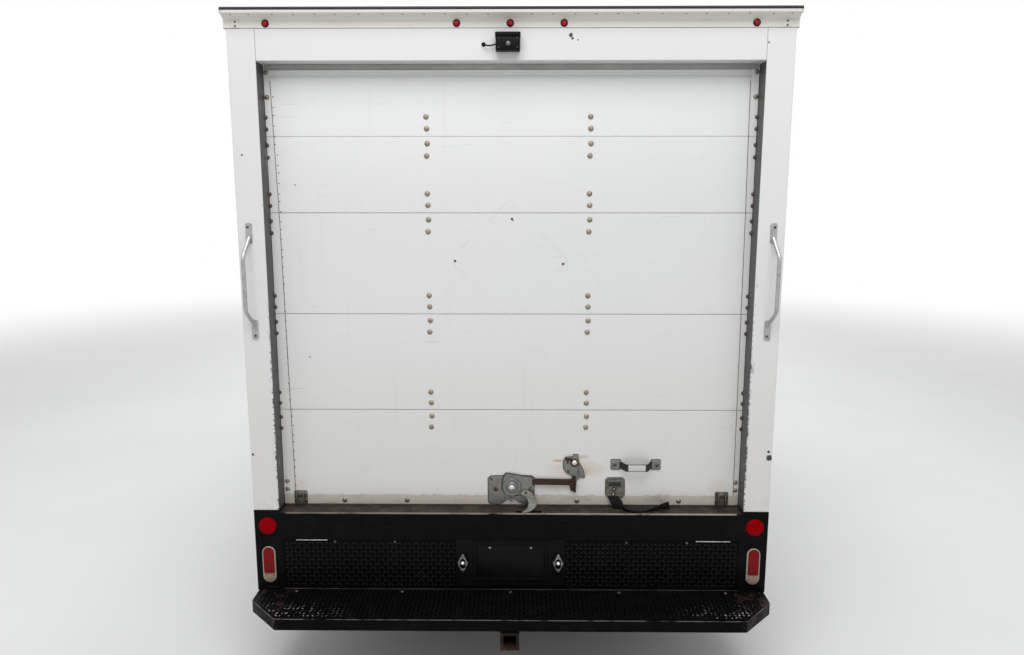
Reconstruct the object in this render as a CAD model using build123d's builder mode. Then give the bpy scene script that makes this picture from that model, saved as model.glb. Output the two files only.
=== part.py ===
from build123d import *
import math
import os

# A box van on a cutaway cab chassis, in millimetres.
# +Y is forward, +X is to the van's right, +Z is up. The origin is on the ground,
# in the middle of the van's length and width.

os.makedirs("parts", exist_ok=True)

# Lengths along the van
WHEELBASE = 3530.0
FRONT_OVERHANG = 870.0
CAB_SETBACK = 1500.0
CAB_BOX_GAP = 50.0
BOX_L = 3050.0
STEP_D = 250.0
LENGTH = FRONT_OVERHANG + CAB_SETBACK + CAB_BOX_GAP + BOX_L + STEP_D
NOSE_Y = LENGTH / 2
FRONT_AXLE_Y = NOSE_Y - FRONT_OVERHANG
REAR_AXLE_Y = FRONT_AXLE_Y - WHEELBASE
CAB_BACK_Y = FRONT_AXLE_Y - CAB_SETBACK
BOX_FRONT_Y = CAB_BACK_Y - CAB_BOX_GAP
REAR_Y = BOX_FRONT_Y - BOX_L
TAIL_Y = REAR_Y - STEP_D

# Running clearances
SHAFT_FIT = 0.05
END_PLAY = 0.5
SEAT_FIT = 0.3
CRACK = 0.5

# Wheels and tyres
TYRE_R = 387.0
TYRE_W = 245.0
RIM_R = 203.0
RIM_W = 190.0
RIM_FLANGE = 17.0
RIM_T = 7.0
FRONT_TRACK = 1740.0
REAR_TRACK = 1710.0
WHEEL_Z = TYRE_R
HUB_R = 60.0
HUB_HOLES = 8
HUB_HOLE_R = 21.0
HUB_HOLE_PCR = 142.0
DISC_R = 150.0
DISC_T = 28.0
DRUM_R = 168.0
DRUM_T = 78.0
FRONT_SPINDLE_R = 24.0
REAR_SPINDLE_R = 30.0

# Steering
KINGPIN_X = 770.0
KINGPIN_R = 16.0
KNUCKLE_HALF_H = 108.0
KNUCKLE_HALF_W = 25.0
ARM_T = 26.0
ARM_PLAY = 1.0
STEER_ARM_L = 150.0

# Chassis frame
RAIL_X = 432.0
RAIL_W = 70.0
RAIL_H = 150.0
RAIL_WALL = 8.0
RAIL_TOP_REAR = 640.0
RAIL_TOP_FRONT = 550.0
RAIL_KICK_Y = (CAB_BACK_Y - 20.0, CAB_BACK_Y - 300.0)
RAIL_NOSE_GAP = 150.0
RAIL_TAIL_GAP = 48.0
CROSS_R = 34.0
MOUNT_PAD_R = 42.0

# Rear axle and springs
AXLE_R = 45.0
AXLE_END_GAP = 12.0
DIFF_R = 125.0
SPRING_X = 500.0
SPRING_W = 62.0
SPRING_HALF_L = 650.0
SPRING_SAG = 85.0
LEAF_T = 12.0
SPRING_SEAT_H = 10.0
EYE_R = 22.0

# Cab
CAB_HALF_W = 1005.0
CAB_FOOT_HALF_W = 975.0
CAB_BELT_HALF_W = 998.0
CAB_ROOF_HALF_W = 905.0
CAB_BOTTOM_Z = 440.0
CAB_WAIST_Z = 720.0
BELT_Z = 1275.0
CAB_ROOF_Z = 2110.0
CAB_WALL = 40.0
CAB_TUNNEL_HALF_W = 820.0
HOOD_T = 30.0
COWL_BACK = 10.0
COWL_Z = 1270.0
HOOD_TIP_Z = 1040.0
SCREEN_TOP_BACK = 490.0
SCREEN_TOP_Z = 2030.0
FACE_BACK = 60.0
ARCH_R = 445.0
LINER_R = 470.0
LINER_T = 10.0
ARCH_INNER_X = 520.0
FLOOR_PAN_Z = 600.0
FLOOR_PAN_T = 40.0
DOOR_GAP = 10.0
PANEL_GAP = 6.0
DOOR_T = 45.0
DOOR_L = 930.0
DOOR_FRONT_BACK = 460.0
DOOR_BOTTOM_Z = 500.0
DOOR_TOP_Z = 1950.0
WINDOW_FRAME = 58.0
WINDOW_SILL_Z = 1315.0
GLASS_IN = 12.0
GLASS_T = 6.0
HOOD_HALF_W = 790.0
HINGE_PIN_R = 5.0
HINGE_R = 9.0
HINGE_L = 26.0
LEAF_L = 34.0
LEAF_D = 20.0
LEAF_X = CAB_HALF_W - 2.0
DOOR_HINGE_Z = (700.0, 1130.0)
HOOD_HINGE_X = 640.0
HOOD_PIN_R = 4.0
HOOD_HINGE_R = 8.0
HOOD_HINGE_L = 40.0

# Box
BODY_W = 2210.0
ROOF_Z = 2840.0
FLOOR_Z = 760.0
WALL_T = 40.0
WALL_BOTTOM_Z = 640.0
WALL_TOP_Z = 2750.0
BOX_CORNER_R = 70.0
ROOF_EDGE_R = 45.0
ROOF_T = 40.0
DECK_T = 25.0
SILL_BEAM_W = 50.0
SILL_BEAM_PITCH = 410.0
HOUSING_T = 6.0
HOUSING_TOP_Z = 880.0
HOUSING_HALF_L = 455.0
HOUSING_IN_X = 690.0

# Rear frame, door and bumper
POST_W = 110.0
POST_D = 130.0
POST_BOTTOM_Z = 771.0
HEADER_Z = 2625.0
FASCIA_Z = 2744.0
LIP_Z = 2795.0
LIP_TOP_Z = 2812.0
LIP_OUT = 38.0
LIP_SIDE = 9.0
DOOR_INSET = 85.0
DOOR_SECTION_T = 25.0
DOOR_BACK_GAP = 1.0
DOOR_SIDE_GAP = 1.0
DOOR_EDGES_Z = (766.0, 1196.0, 1613.0, 2035.0, 2342.0, 2640.0)
SILL_BOTTOM_Z = 640.0
SILL_HALF_W = 987.0
STEP_TOP_Z = 409.0
STEP_T = 6.0
CORNER_BOTTOM_Z = STEP_TOP_Z - STEP_T
CORNER_D = 90.0
KICK_T = 5.0
STEP_LIP_H = 49.0
STEP_HALF_W = 1097.0
STEP_CORNER_X = 137.0
STEP_CORNER_Y = 145.0
STEP_UNDER = 50.0

# Lamps and fittings on the rear
REFLECTOR_R = 38.0
REFLECTOR_Z = 701.0
REFLECTOR_X = 1048.0
OVAL_H = 165.0
OVAL_W = 57.0
OVAL_Z = 525.0
OVAL_D = 14.0
MARKER_R = 15.0
MARKER_Z = 2763.0
MARKER_X = (-950.0, -208.0, 0.0, 208.0, 950.0)
HANDLE_R = 8.0
HANDLE_OUT = 55.0
RECEIVER_OUTER = 63.5
RECEIVER_INNER = 51.0
RECEIVER_Z = 312.0
RECEIVER_L = 340.0
RECEIVER_MOUTH = 4.0
HITCH_PIN_R = 8.0
HITCH_PIN_BACK = 60.0

HALF_W = BODY_W / 2
SIDES = ((-1, "left"), (1, "right"))


def write(builder, label):
    """Label a finished piece and write it."""
    builder.part.label = label
    export_step(builder.part, "parts/" + label + ".step")


def side_plane(x):
    """A sketch plane that looks along X: its x is Y and its y is Z."""
    return Plane(origin=(x, 0, 0), x_dir=(0, 1, 0), z_dir=(1, 0, 0))


def rear_plane(y):
    """A sketch plane that looks along +Y: its x is X and its y is Z, and it extrudes to the rear."""
    return Plane(origin=(0, y, 0), x_dir=(1, 0, 0), z_dir=(0, -1, 0))


# Cab forms
# The cab is the meeting of a side outline, a front outline and a plan outline.
# The last two pass the first by a little where it closes the form.
# Each row: place along or across, height, corner radius.
OUTLINE_SPARE = 8.0
CAB_SIDE = (
    (CAB_BACK_Y, CAB_BOTTOM_Z, 60.0),
    (NOSE_Y - FACE_BACK - 40.0, CAB_BOTTOM_Z, 70.0),
    (NOSE_Y - FACE_BACK, 700.0, 90.0),
    (NOSE_Y - FACE_BACK - 35.0, HOOD_TIP_Z, 95.0),
    (FRONT_AXLE_Y + COWL_BACK, COWL_Z, 60.0),
    (FRONT_AXLE_Y + COWL_BACK - SCREEN_TOP_BACK, SCREEN_TOP_Z, 150.0),
    (FRONT_AXLE_Y + COWL_BACK - SCREEN_TOP_BACK - 290.0, CAB_ROOF_Z - 12.0, 300.0),
    (CAB_BACK_Y, CAB_ROOF_Z, 70.0),
)
CAB_FRONT = (
    (CAB_FOOT_HALF_W, CAB_BOTTOM_Z - OUTLINE_SPARE, 60.0),
    (CAB_HALF_W, CAB_WAIST_Z, 300.0),
    (CAB_BELT_HALF_W, BELT_Z, 300.0),
    (CAB_ROOF_HALF_W, CAB_ROOF_Z + OUTLINE_SPARE, 130.0),
)
CAB_PLAN = (
    (CAB_HALF_W + 20.0, CAB_BACK_Y - OUTLINE_SPARE, 70.0),
    (CAB_HALF_W + 20.0, FRONT_AXLE_Y + 380.0, 250.0),
    (CAB_HALF_W - 75.0, NOSE_Y - FACE_BACK + 20.0, 190.0),
)


def both_sides(rows):
    """Rows of a right-hand outline, then the same rows mirrored and taken back."""
    mirrored = [(-place, height, radius) for place, height, radius in rows]
    return list(rows) + mirrored[::-1]


def drawn_in(rows, inset):
    """The same outline with each of its sides moved in by inset, and its corners rounded to suit."""
    points = [Vector(place, height) for place, height, radius in rows]
    after = points[1:] + points[:1]
    area = sum(here.X * there.Y - there.X * here.Y for here, there in zip(points, after))
    turn = math.copysign(1.0, area)
    runs = [(there - here).normalized() for here, there in zip(points, after)]
    inward = [Vector(-run.Y, run.X) * turn for run in runs]
    moved = []
    for i, (place, height, radius) in enumerate(rows):
        corner = points[i] + (inward[i - 1] + inward[i]) * (inset / (1 + inward[i - 1].dot(inward[i])))
        bends_out = runs[i - 1].cross(runs[i]).Z * turn > 0
        moved.append((corner.X, corner.Y, max(0.0, radius - inset if bends_out else radius + inset)))
    return moved


def outline(rows, inset=0.0):
    """A closed outline from rows of place, height and corner radius."""
    moved = drawn_in(rows, inset)
    FilletPolyline(
        *[(place, height) for place, height, radius in moved],
        radius=[radius for place, height, radius in moved],
        close=True,
    )


def cab_form(inset):
    """The cab's outer form, drawn in by inset on all sides."""
    with BuildPart() as form:
        with BuildSketch(side_plane(0)):
            with BuildLine():
                outline(CAB_SIDE, inset)
            make_face()
        extrude(amount=CAB_HALF_W + 50, both=True)
        with BuildSketch(rear_plane(NOSE_Y + 50)):
            with BuildLine():
                outline(both_sides(CAB_FRONT), inset)
            make_face()
        extrude(amount=LENGTH, mode=Mode.INTERSECT)
        with BuildSketch(Plane.XY):
            with BuildLine():
                outline(both_sides(CAB_PLAN), inset)
            make_face()
        extrude(amount=CAB_ROOF_Z + 100, mode=Mode.INTERSECT)
    return form.part


DOOR_FRONT_Y = FRONT_AXLE_Y - DOOR_FRONT_BACK
DOOR_REAR_Y = DOOR_FRONT_Y - DOOR_L
DOOR_OUTLINE = (
    (DOOR_REAR_Y, DOOR_BOTTOM_Z, 40.0),
    (DOOR_FRONT_Y, DOOR_BOTTOM_Z, 60.0),
    (DOOR_FRONT_Y, DOOR_TOP_Z - 90.0, 60.0),
    (DOOR_FRONT_Y - 70.0, DOOR_TOP_Z, 60.0),
    (DOOR_REAR_Y, DOOR_TOP_Z, 60.0),
)
WINDOW_OUTLINE = (
    (DOOR_REAR_Y + WINDOW_FRAME, WINDOW_SILL_Z, 40.0),
    (DOOR_FRONT_Y - WINDOW_FRAME, WINDOW_SILL_Z, 30.0),
    (DOOR_FRONT_Y - WINDOW_FRAME, DOOR_TOP_Z - 120.0, 50.0),
    (DOOR_FRONT_Y - WINDOW_FRAME - 60.0, DOOR_TOP_Z - WINDOW_FRAME, 50.0),
    (DOOR_REAR_Y + WINDOW_FRAME, DOOR_TOP_Z - WINDOW_FRAME, 50.0),
)
DOOR_AXIS_X = CAB_HALF_W + HINGE_R + 1.0
DOOR_AXIS_Y = DOOR_FRONT_Y + DOOR_GAP / 2
COWL_Y = FRONT_AXLE_Y + COWL_BACK
QUARTER_OUTLINE = (
    (DOOR_FRONT_Y + 45.0, WINDOW_SILL_Z + 5.0, 25.0),
    (COWL_Y - 115.0, WINDOW_SILL_Z + 5.0, 25.0),
    (DOOR_FRONT_Y + 45.0, SCREEN_TOP_Z - 225.0, 25.0),
)
SCREEN_OUTLINE = both_sides(
    (
        (CAB_BELT_HALF_W - 110.0, COWL_Z + 50.0, 70.0),
        (CAB_ROOF_HALF_W - 105.0, SCREEN_TOP_Z - 50.0, 90.0),
    )
)


def side_prism(rows, grow=0.0):
    """A side outline drawn out to grow, run across the whole width."""
    with BuildPart() as prism:
        with BuildSketch(side_plane(0)):
            with BuildLine():
                outline(rows, -grow)
            make_face()
        extrude(amount=CAB_HALF_W + 100, both=True)
    return prism.part


def screen_prism(grow=0.0):
    """The windscreen opening, run along the van through the windscreen alone."""
    with BuildPart() as prism:
        with BuildSketch(rear_plane(COWL_Y + 60)):
            with BuildLine():
                outline(SCREEN_OUTLINE, -grow)
            make_face()
        extrude(amount=SCREEN_TOP_BACK + 160)
    return prism.part


def block(x0, x1, y0, y1, z0, z1):
    """A plain block between two corners, kept out of any open builder."""
    with BuildPart(mode=Mode.PRIVATE) as solid:
        with Locations(((x0 + x1) / 2, (y0 + y1) / 2, (z0 + z1) / 2)):
            Box(abs(x1 - x0), abs(y1 - y0), abs(z1 - z0))
    return solid.part


def hood_prism(gap):
    """The space of the hood and the gap round it."""
    return block(
        -HOOD_HALF_W - gap,
        HOOD_HALF_W + gap,
        COWL_Y + PANEL_GAP - gap,
        NOSE_Y + 20,
        HOOD_TIP_Z - 45.0 - gap,
        COWL_Z + 40,
    )


OUTER = cab_form(0.0)
INNER = cab_form(CAB_WALL)
FACE_SEAM_Y = NOSE_Y - 220.0
WING_TOP_Z = COWL_Z - 18.0
HOOD_AXIS_Y = COWL_Y + PANEL_GAP / 2
HOOD_AXIS_Z = COWL_Z - 4.0

with BuildPart() as cab_skin:
    add(OUTER)
    add(INNER, mode=Mode.SUBTRACT)
    add(
        block(
            -CAB_FOOT_HALF_W + CAB_WALL,
            CAB_FOOT_HALF_W - CAB_WALL,
            CAB_BACK_Y + CAB_WALL,
            NOSE_Y - FACE_BACK - 2 * CAB_WALL,
            CAB_BOTTOM_Z - 20,
            CAB_BOTTOM_Z + CAB_WALL + 30,
        ),
        mode=Mode.SUBTRACT,
    )
    add(
        block(
            -CAB_TUNNEL_HALF_W,
            CAB_TUNNEL_HALF_W,
            CAB_BACK_Y - 10,
            CAB_BACK_Y + 2 * CAB_WALL,
            CAB_BOTTOM_Z - 20,
            FLOOR_PAN_Z - FLOOR_PAN_T,
        ),
        mode=Mode.SUBTRACT,
    )
    with BuildSketch(side_plane(0)):
        with Locations((FRONT_AXLE_Y, WHEEL_Z)):
            Circle(ARCH_R)
    extrude(amount=CAB_HALF_W + 100, both=True, mode=Mode.SUBTRACT)

FRONT_REGION = (
    (DOOR_FRONT_Y + DOOR_GAP, CAB_BOTTOM_Z - 40.0, 0.0),
    (NOSE_Y + 40.0, CAB_BOTTOM_Z - 40.0, 0.0),
    (NOSE_Y + 40.0, COWL_Z + 60.0, 0.0),
    (COWL_Y, COWL_Z + 60.0, 0.0),
    (COWL_Y, WING_TOP_Z, 0.0),
    (DOOR_FRONT_Y + DOOR_GAP, WING_TOP_Z, 0.0),
)

with BuildPart() as cab_shell:
    add(cab_skin.part)
    add(side_prism(FRONT_REGION), mode=Mode.SUBTRACT)
    add(side_prism(DOOR_OUTLINE, DOOR_GAP), mode=Mode.SUBTRACT)
    add(side_prism(QUARTER_OUTLINE), mode=Mode.SUBTRACT)
    add(screen_prism(), mode=Mode.SUBTRACT)
    for side, name in SIDES:
        add(
            block(
                side * HOOD_HINGE_X - HOOD_HINGE_L,
                side * HOOD_HINGE_X + HOOD_HINGE_L,
                COWL_Y - 16.0,
                COWL_Y + 20.0,
                COWL_Z - 60.0,
                COWL_Z + 30.0,
            ),
            mode=Mode.SUBTRACT,
        )
        with BuildSketch(side_plane(side * HOOD_HINGE_X - HOOD_HINGE_L)):
            with Locations((HOOD_AXIS_Y, HOOD_AXIS_Z)):
                Circle(HOOD_PIN_R)
        extrude(amount=2 * HOOD_HINGE_L)
        for end in (-1, 1):
            place = side * HOOD_HINGE_X + end * (HOOD_HINGE_L / 2 + END_PLAY + 5.0)
            with BuildSketch(side_plane(place)):
                with BuildLine():
                    Polyline(
                        (COWL_Y - 20.0, HOOD_AXIS_Z + 4.0),
                        (HOOD_AXIS_Y + 5.0, HOOD_AXIS_Z + 4.0),
                        (HOOD_AXIS_Y + 5.0, HOOD_AXIS_Z - 10.0),
                        (COWL_Y - 20.0, HOOD_AXIS_Z - 14.0),
                        close=True,
                    )
                make_face()
            extrude(amount=5.0, both=True)
write(cab_shell, "cab_shell")

FLARE_W = 32.0
FLARE_OUT = 12.0
with BuildPart() as arch_flares:
    add(cab_form(-FLARE_OUT))
    add(cab_form(CAB_WALL / 2), mode=Mode.SUBTRACT)
    with BuildSketch(side_plane(0)):
        with Locations((FRONT_AXLE_Y, WHEEL_Z)):
            Circle(ARCH_R + FLARE_W)
            Circle(ARCH_R, mode=Mode.SUBTRACT)
    extrude(amount=CAB_HALF_W + 100, both=True, mode=Mode.INTERSECT)
    add(
        block(
            -CAB_FOOT_HALF_W + CAB_WALL,
            CAB_FOOT_HALF_W - CAB_WALL,
            CAB_BACK_Y,
            NOSE_Y + 50,
            0,
            COWL_Z,
        ),
        mode=Mode.SUBTRACT,
    )

with BuildPart() as front_wings:
    add(cab_skin.part)
    add(arch_flares.part)
    add(side_prism(FRONT_REGION), mode=Mode.INTERSECT)
    add(hood_prism(PANEL_GAP), mode=Mode.SUBTRACT)
    add(
        block(-CAB_HALF_W - 50, CAB_HALF_W + 50, FACE_SEAM_Y, NOSE_Y + 50, 0, COWL_Z + 100),
        mode=Mode.SUBTRACT,
    )
    for side, name in SIDES:
        for hinge_z in DOOR_HINGE_Z:
            for end in (-1, 1):
                height = hinge_z + end * (HINGE_L + END_PLAY)
                with BuildSketch(Plane.XY.offset(height - HINGE_L / 2)):
                    with Locations((side * DOOR_AXIS_X, DOOR_AXIS_Y)):
                        Circle(HINGE_R)
                    with Locations((side * LEAF_X, DOOR_AXIS_Y + LEAF_L / 2)):
                        Rectangle(LEAF_D, LEAF_L)
                extrude(amount=HINGE_L)
            with BuildSketch(Plane.XY.offset(hinge_z - HINGE_L)):
                with Locations((side * DOOR_AXIS_X, DOOR_AXIS_Y)):
                    Circle(HINGE_PIN_R)
            extrude(amount=2 * HINGE_L)
write(front_wings, "front_wings")

GRILLE_HALF_W = 520.0
GRILLE_Z = (700.0, 965.0)
LAMP_X = (575.0, 885.0)
LAMP_Z = (735.0, 945.0)
LOWER_MOUTH_HALF_W = 480.0
LOWER_MOUTH_Z = 600.0

with BuildPart() as front_panel:
    add(cab_skin.part)
    add(
        block(-CAB_HALF_W - 50, CAB_HALF_W + 50, FACE_SEAM_Y, NOSE_Y + 50, 0, COWL_Z + 100),
        mode=Mode.INTERSECT,
    )
    add(hood_prism(PANEL_GAP), mode=Mode.SUBTRACT)
    with BuildSketch(rear_plane(NOSE_Y + 20)):
        with Locations((0, sum(GRILLE_Z) / 2)):
            RectangleRounded(2 * GRILLE_HALF_W, GRILLE_Z[1] - GRILLE_Z[0], 30)
        for side, name in SIDES:
            with Locations((side * sum(LAMP_X) / 2, sum(LAMP_Z) / 2)):
                RectangleRounded(LAMP_X[1] - LAMP_X[0], LAMP_Z[1] - LAMP_Z[0], 35)
    extrude(amount=NOSE_Y - FACE_SEAM_Y, mode=Mode.SUBTRACT)
    add(
        block(
            -LOWER_MOUTH_HALF_W,
            LOWER_MOUTH_HALF_W,
            FACE_SEAM_Y - 1,
            NOSE_Y + 10,
            CAB_BOTTOM_Z - 10,
            LOWER_MOUTH_Z,
        ),
        mode=Mode.SUBTRACT,
    )
write(front_panel, "front_panel")

SLAT_H = 14.0
SLAT_PITCH = 44.0
SLAT_D = 30.0

with BuildPart() as grille:
    with BuildSketch(rear_plane(NOSE_Y)):
        with Locations((0, sum(GRILLE_Z) / 2)):
            RectangleRounded(2 * (GRILLE_HALF_W - SEAT_FIT), GRILLE_Z[1] - GRILLE_Z[0] - 2 * SEAT_FIT, 30)
            RectangleRounded(2 * (GRILLE_HALF_W - 18), GRILLE_Z[1] - GRILLE_Z[0] - 36, 14, mode=Mode.SUBTRACT)
            slats = int((GRILLE_Z[1] - GRILLE_Z[0] - 36) / SLAT_PITCH)
            with GridLocations(0, SLAT_PITCH, 1, slats):
                Rectangle(2 * (GRILLE_HALF_W - 16), SLAT_H)
            with GridLocations(GRILLE_HALF_W * 2 / 3, 0, 2, 1):
                Rectangle(12, GRILLE_Z[1] - GRILLE_Z[0] - 30)
    extrude(amount=200)
    add(cab_form(6.0), mode=Mode.INTERSECT)
    add(cab_form(6.0 + SLAT_D), mode=Mode.SUBTRACT)
write(grille, "grille")

with BuildPart() as headlamps:
    with BuildSketch(rear_plane(NOSE_Y)):
        for side, name in SIDES:
            with Locations((side * sum(LAMP_X) / 2, sum(LAMP_Z) / 2)):
                RectangleRounded(
                    LAMP_X[1] - LAMP_X[0] - 2 * SEAT_FIT, LAMP_Z[1] - LAMP_Z[0] - 2 * SEAT_FIT, 35
                )
    extrude(amount=NOSE_Y - FACE_SEAM_Y)
    add(cab_form(3.0), mode=Mode.INTERSECT)
    add(cab_form(CAB_WALL + 20), mode=Mode.SUBTRACT)
write(headlamps, "headlamps")

# Each row: place across at the cowl and at the nose of each crease
HOOD_CREASES = ((520.0, 430.0), (-520.0, -430.0))
CREASE_W = 14.0
CREASE_D = 5.0
with BuildPart() as hood_grooves:
    with BuildSketch(Plane.XY.offset(HOOD_TIP_Z - 40.0)):
        for at_cowl, at_nose in HOOD_CREASES:
            with BuildLine():
                Line((at_cowl, COWL_Y + 70.0), (at_nose, NOSE_Y + 20.0))
            trace(line_width=CREASE_W)
    extrude(amount=COWL_Z - HOOD_TIP_Z + 100.0)
    add(cab_form(CREASE_D), mode=Mode.SUBTRACT)

with BuildPart() as hood:
    add(OUTER)
    add(cab_form(HOOD_T), mode=Mode.SUBTRACT)
    add(hood_prism(0.0), mode=Mode.INTERSECT)
    add(hood_grooves.part, mode=Mode.SUBTRACT)
    for side, name in SIDES:
        add(
            block(
                side * HOOD_HINGE_X - HOOD_HINGE_L,
                side * HOOD_HINGE_X + HOOD_HINGE_L,
                COWL_Y,
                HOOD_AXIS_Y + HOOD_HINGE_R + PANEL_GAP,
                COWL_Z - 60.0,
                COWL_Z + 30.0,
            ),
            mode=Mode.SUBTRACT,
        )
        with BuildSketch(side_plane(side * HOOD_HINGE_X)):
            with BuildLine():
                Polyline(
                    (HOOD_AXIS_Y - 3.0, HOOD_AXIS_Z + 4.0),
                    (HOOD_AXIS_Y + 30.0, HOOD_AXIS_Z - 12.0),
                    (HOOD_AXIS_Y + 30.0, HOOD_AXIS_Z - 28.0),
                    (HOOD_AXIS_Y - 3.0, HOOD_AXIS_Z - 12.0),
                    close=True,
                )
            make_face()
            with Locations((HOOD_AXIS_Y, HOOD_AXIS_Z)):
                Circle(HOOD_HINGE_R)
                Circle(HOOD_PIN_R + SHAFT_FIT, mode=Mode.SUBTRACT)
        extrude(amount=HOOD_HINGE_L / 2, both=True)
write(hood, "hood")

with BuildPart() as cab_glass:
    add(cab_form(GLASS_IN))
    add(cab_form(GLASS_IN + GLASS_T), mode=Mode.SUBTRACT)
    cab_band = cab_glass.part
with BuildPart() as screen_glass:
    add(cab_band)
    add(screen_prism(-SEAT_FIT), mode=Mode.INTERSECT)
with BuildPart() as quarter_glass:
    add(cab_band)
    add(side_prism(QUARTER_OUTLINE, -SEAT_FIT), mode=Mode.INTERSECT)
with BuildPart() as fixed_glass:
    add(screen_glass.part)
    add(quarter_glass.part)
write(fixed_glass, "cab_glass")

# Doors
with BuildPart() as door_pair:
    add(OUTER)
    add(cab_form(DOOR_T), mode=Mode.SUBTRACT)
    add(side_prism(DOOR_OUTLINE), mode=Mode.INTERSECT)
    add(side_prism(WINDOW_OUTLINE), mode=Mode.SUBTRACT)
with BuildPart() as door_glass_pair:
    add(cab_band)
    add(side_prism(WINDOW_OUTLINE, -SEAT_FIT), mode=Mode.INTERSECT)

MIRROR_Z = 1400.0
MIRROR_ARM_R = 9.0
MIRROR_SPAN = 1330.0
MIRROR_W = 185.0
MIRROR_H = 300.0
MIRROR_D = 55.0
MIRROR_DROP = 150.0
MIRROR_SEAT = cab_form(-SEAT_FIT)
MIRROR_BACK = 33.0

DOOR_HANDLE_Y = (DOOR_REAR_Y + 55.0, DOOR_REAR_Y + 215.0)
DOOR_HANDLE_Z = 1120.0
DOOR_HANDLE_H = 26.0
DOOR_HANDLE_T = 12.0
DOOR_HANDLE_OUT = 34.0

for side, name in SIDES:
    half = block(0, side * (CAB_HALF_W + 200), CAB_BACK_Y, NOSE_Y, 0, CAB_ROOF_Z + 50)
    handle_x = (CAB_BELT_HALF_W - DOOR_T / 2, CAB_BELT_HALF_W + DOOR_HANDLE_OUT)
    with BuildPart() as door:
        add(door_pair.part)
        add(half, mode=Mode.INTERSECT)
        for hinge_z in DOOR_HINGE_Z:
            with BuildSketch(Plane.XY.offset(hinge_z - HINGE_L / 2)):
                with Locations((side * DOOR_AXIS_X, DOOR_AXIS_Y)):
                    Circle(HINGE_R)
                with Locations((side * LEAF_X, DOOR_AXIS_Y - LEAF_L / 2)):
                    Rectangle(LEAF_D, LEAF_L)
                with Locations((side * DOOR_AXIS_X, DOOR_AXIS_Y)):
                    Circle(HINGE_PIN_R + SHAFT_FIT, mode=Mode.SUBTRACT)
            extrude(amount=HINGE_L)
        with BuildSketch(Plane.XY.offset(DOOR_HANDLE_Z - DOOR_HANDLE_H / 2)):
            with BuildLine():
                FilletPolyline(
                    (side * handle_x[0], DOOR_HANDLE_Y[0]),
                    (side * handle_x[1], DOOR_HANDLE_Y[0] + 18),
                    (side * handle_x[1], DOOR_HANDLE_Y[1] - 18),
                    (side * handle_x[0], DOOR_HANDLE_Y[1]),
                    radius=12,
                )
            trace(line_width=DOOR_HANDLE_T)
        extrude(amount=DOOR_HANDLE_H)
    write(door, "door_" + name)
    with BuildPart() as glass:
        add(door_glass_pair.part)
        add(half, mode=Mode.INTERSECT)
    write(glass, "door_glass_" + name)
    with BuildPart() as mirror_unit:
        mirror_y = DOOR_FRONT_Y - MIRROR_BACK
        head_x = MIRROR_SPAN - MIRROR_W / 2
        with BuildSketch(rear_plane(mirror_y + MIRROR_D / 2)):
            with Locations((side * head_x, MIRROR_Z)):
                RectangleRounded(MIRROR_W, MIRROR_H, 38)
        extrude(amount=MIRROR_D)
        fillet(mirror_unit.edges().group_by(Axis.Y)[-1], 18)
        with BuildSketch(rear_plane(mirror_y - MIRROR_D / 2 + 8)):
            with Locations((side * head_x, MIRROR_Z)):
                RectangleRounded(MIRROR_W - 24, MIRROR_H - 24, 28)
        extrude(amount=12, mode=Mode.SUBTRACT)
        for level in (-1, 1):
            with BuildSketch(side_plane(side * (CAB_BELT_HALF_W - 40.0))):
                with Locations((mirror_y, MIRROR_Z - MIRROR_DROP + level * 55.0)):
                    Circle(MIRROR_ARM_R)
            extrude(amount=side * (head_x - CAB_BELT_HALF_W + 10.0))
        with BuildSketch(Plane.XY.offset(MIRROR_Z - MIRROR_DROP - 65.0)):
            with Locations((side * (head_x - 40.0), mirror_y)):
                Circle(MIRROR_ARM_R + 2)
        extrude(amount=MIRROR_DROP - 50.0)
        add(MIRROR_SEAT, mode=Mode.SUBTRACT)
    write(mirror_unit, "mirror_" + name)

# Cab floor, seats, dashboard
TUNNEL_HALF_W = 300.0
TUNNEL_TOP_Z = 985.0
TUNNEL_BACK = 540.0
TUNNEL_T = 20.0
BULKHEAD_T = 25.0
BULKHEAD_Y = COWL_Y + 2.0
SEAT_X = 480.0
SEAT_BASE_HALF_W = 190.0
SEAT_BASE_BACK = (210.0, 620.0)
SEAT_BASE_H = 210.0

with BuildPart() as door_space:
    add(side_prism(DOOR_OUTLINE, DOOR_GAP))
    add(cab_form(DOOR_T + PANEL_GAP), mode=Mode.SUBTRACT)

with BuildPart() as liners:
    for side, name in SIDES:
        with BuildSketch(side_plane(side * (ARCH_INNER_X - LINER_T))):
            with Locations((FRONT_AXLE_Y, WHEEL_Z)):
                Circle(LINER_R + LINER_T)
        extrude(amount=side * (CAB_HALF_W - ARCH_INNER_X))
        with BuildSketch(side_plane(side * ARCH_INNER_X)):
            with Locations((FRONT_AXLE_Y, WHEEL_Z)):
                Circle(LINER_R)
        extrude(amount=side * CAB_HALF_W, mode=Mode.SUBTRACT)
    add(block(-CAB_HALF_W, CAB_HALF_W, 0, NOSE_Y, 0, FLOOR_PAN_Z - FLOOR_PAN_T), mode=Mode.SUBTRACT)
    add(cab_form(CAB_WALL + SEAT_FIT), mode=Mode.INTERSECT)

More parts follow.
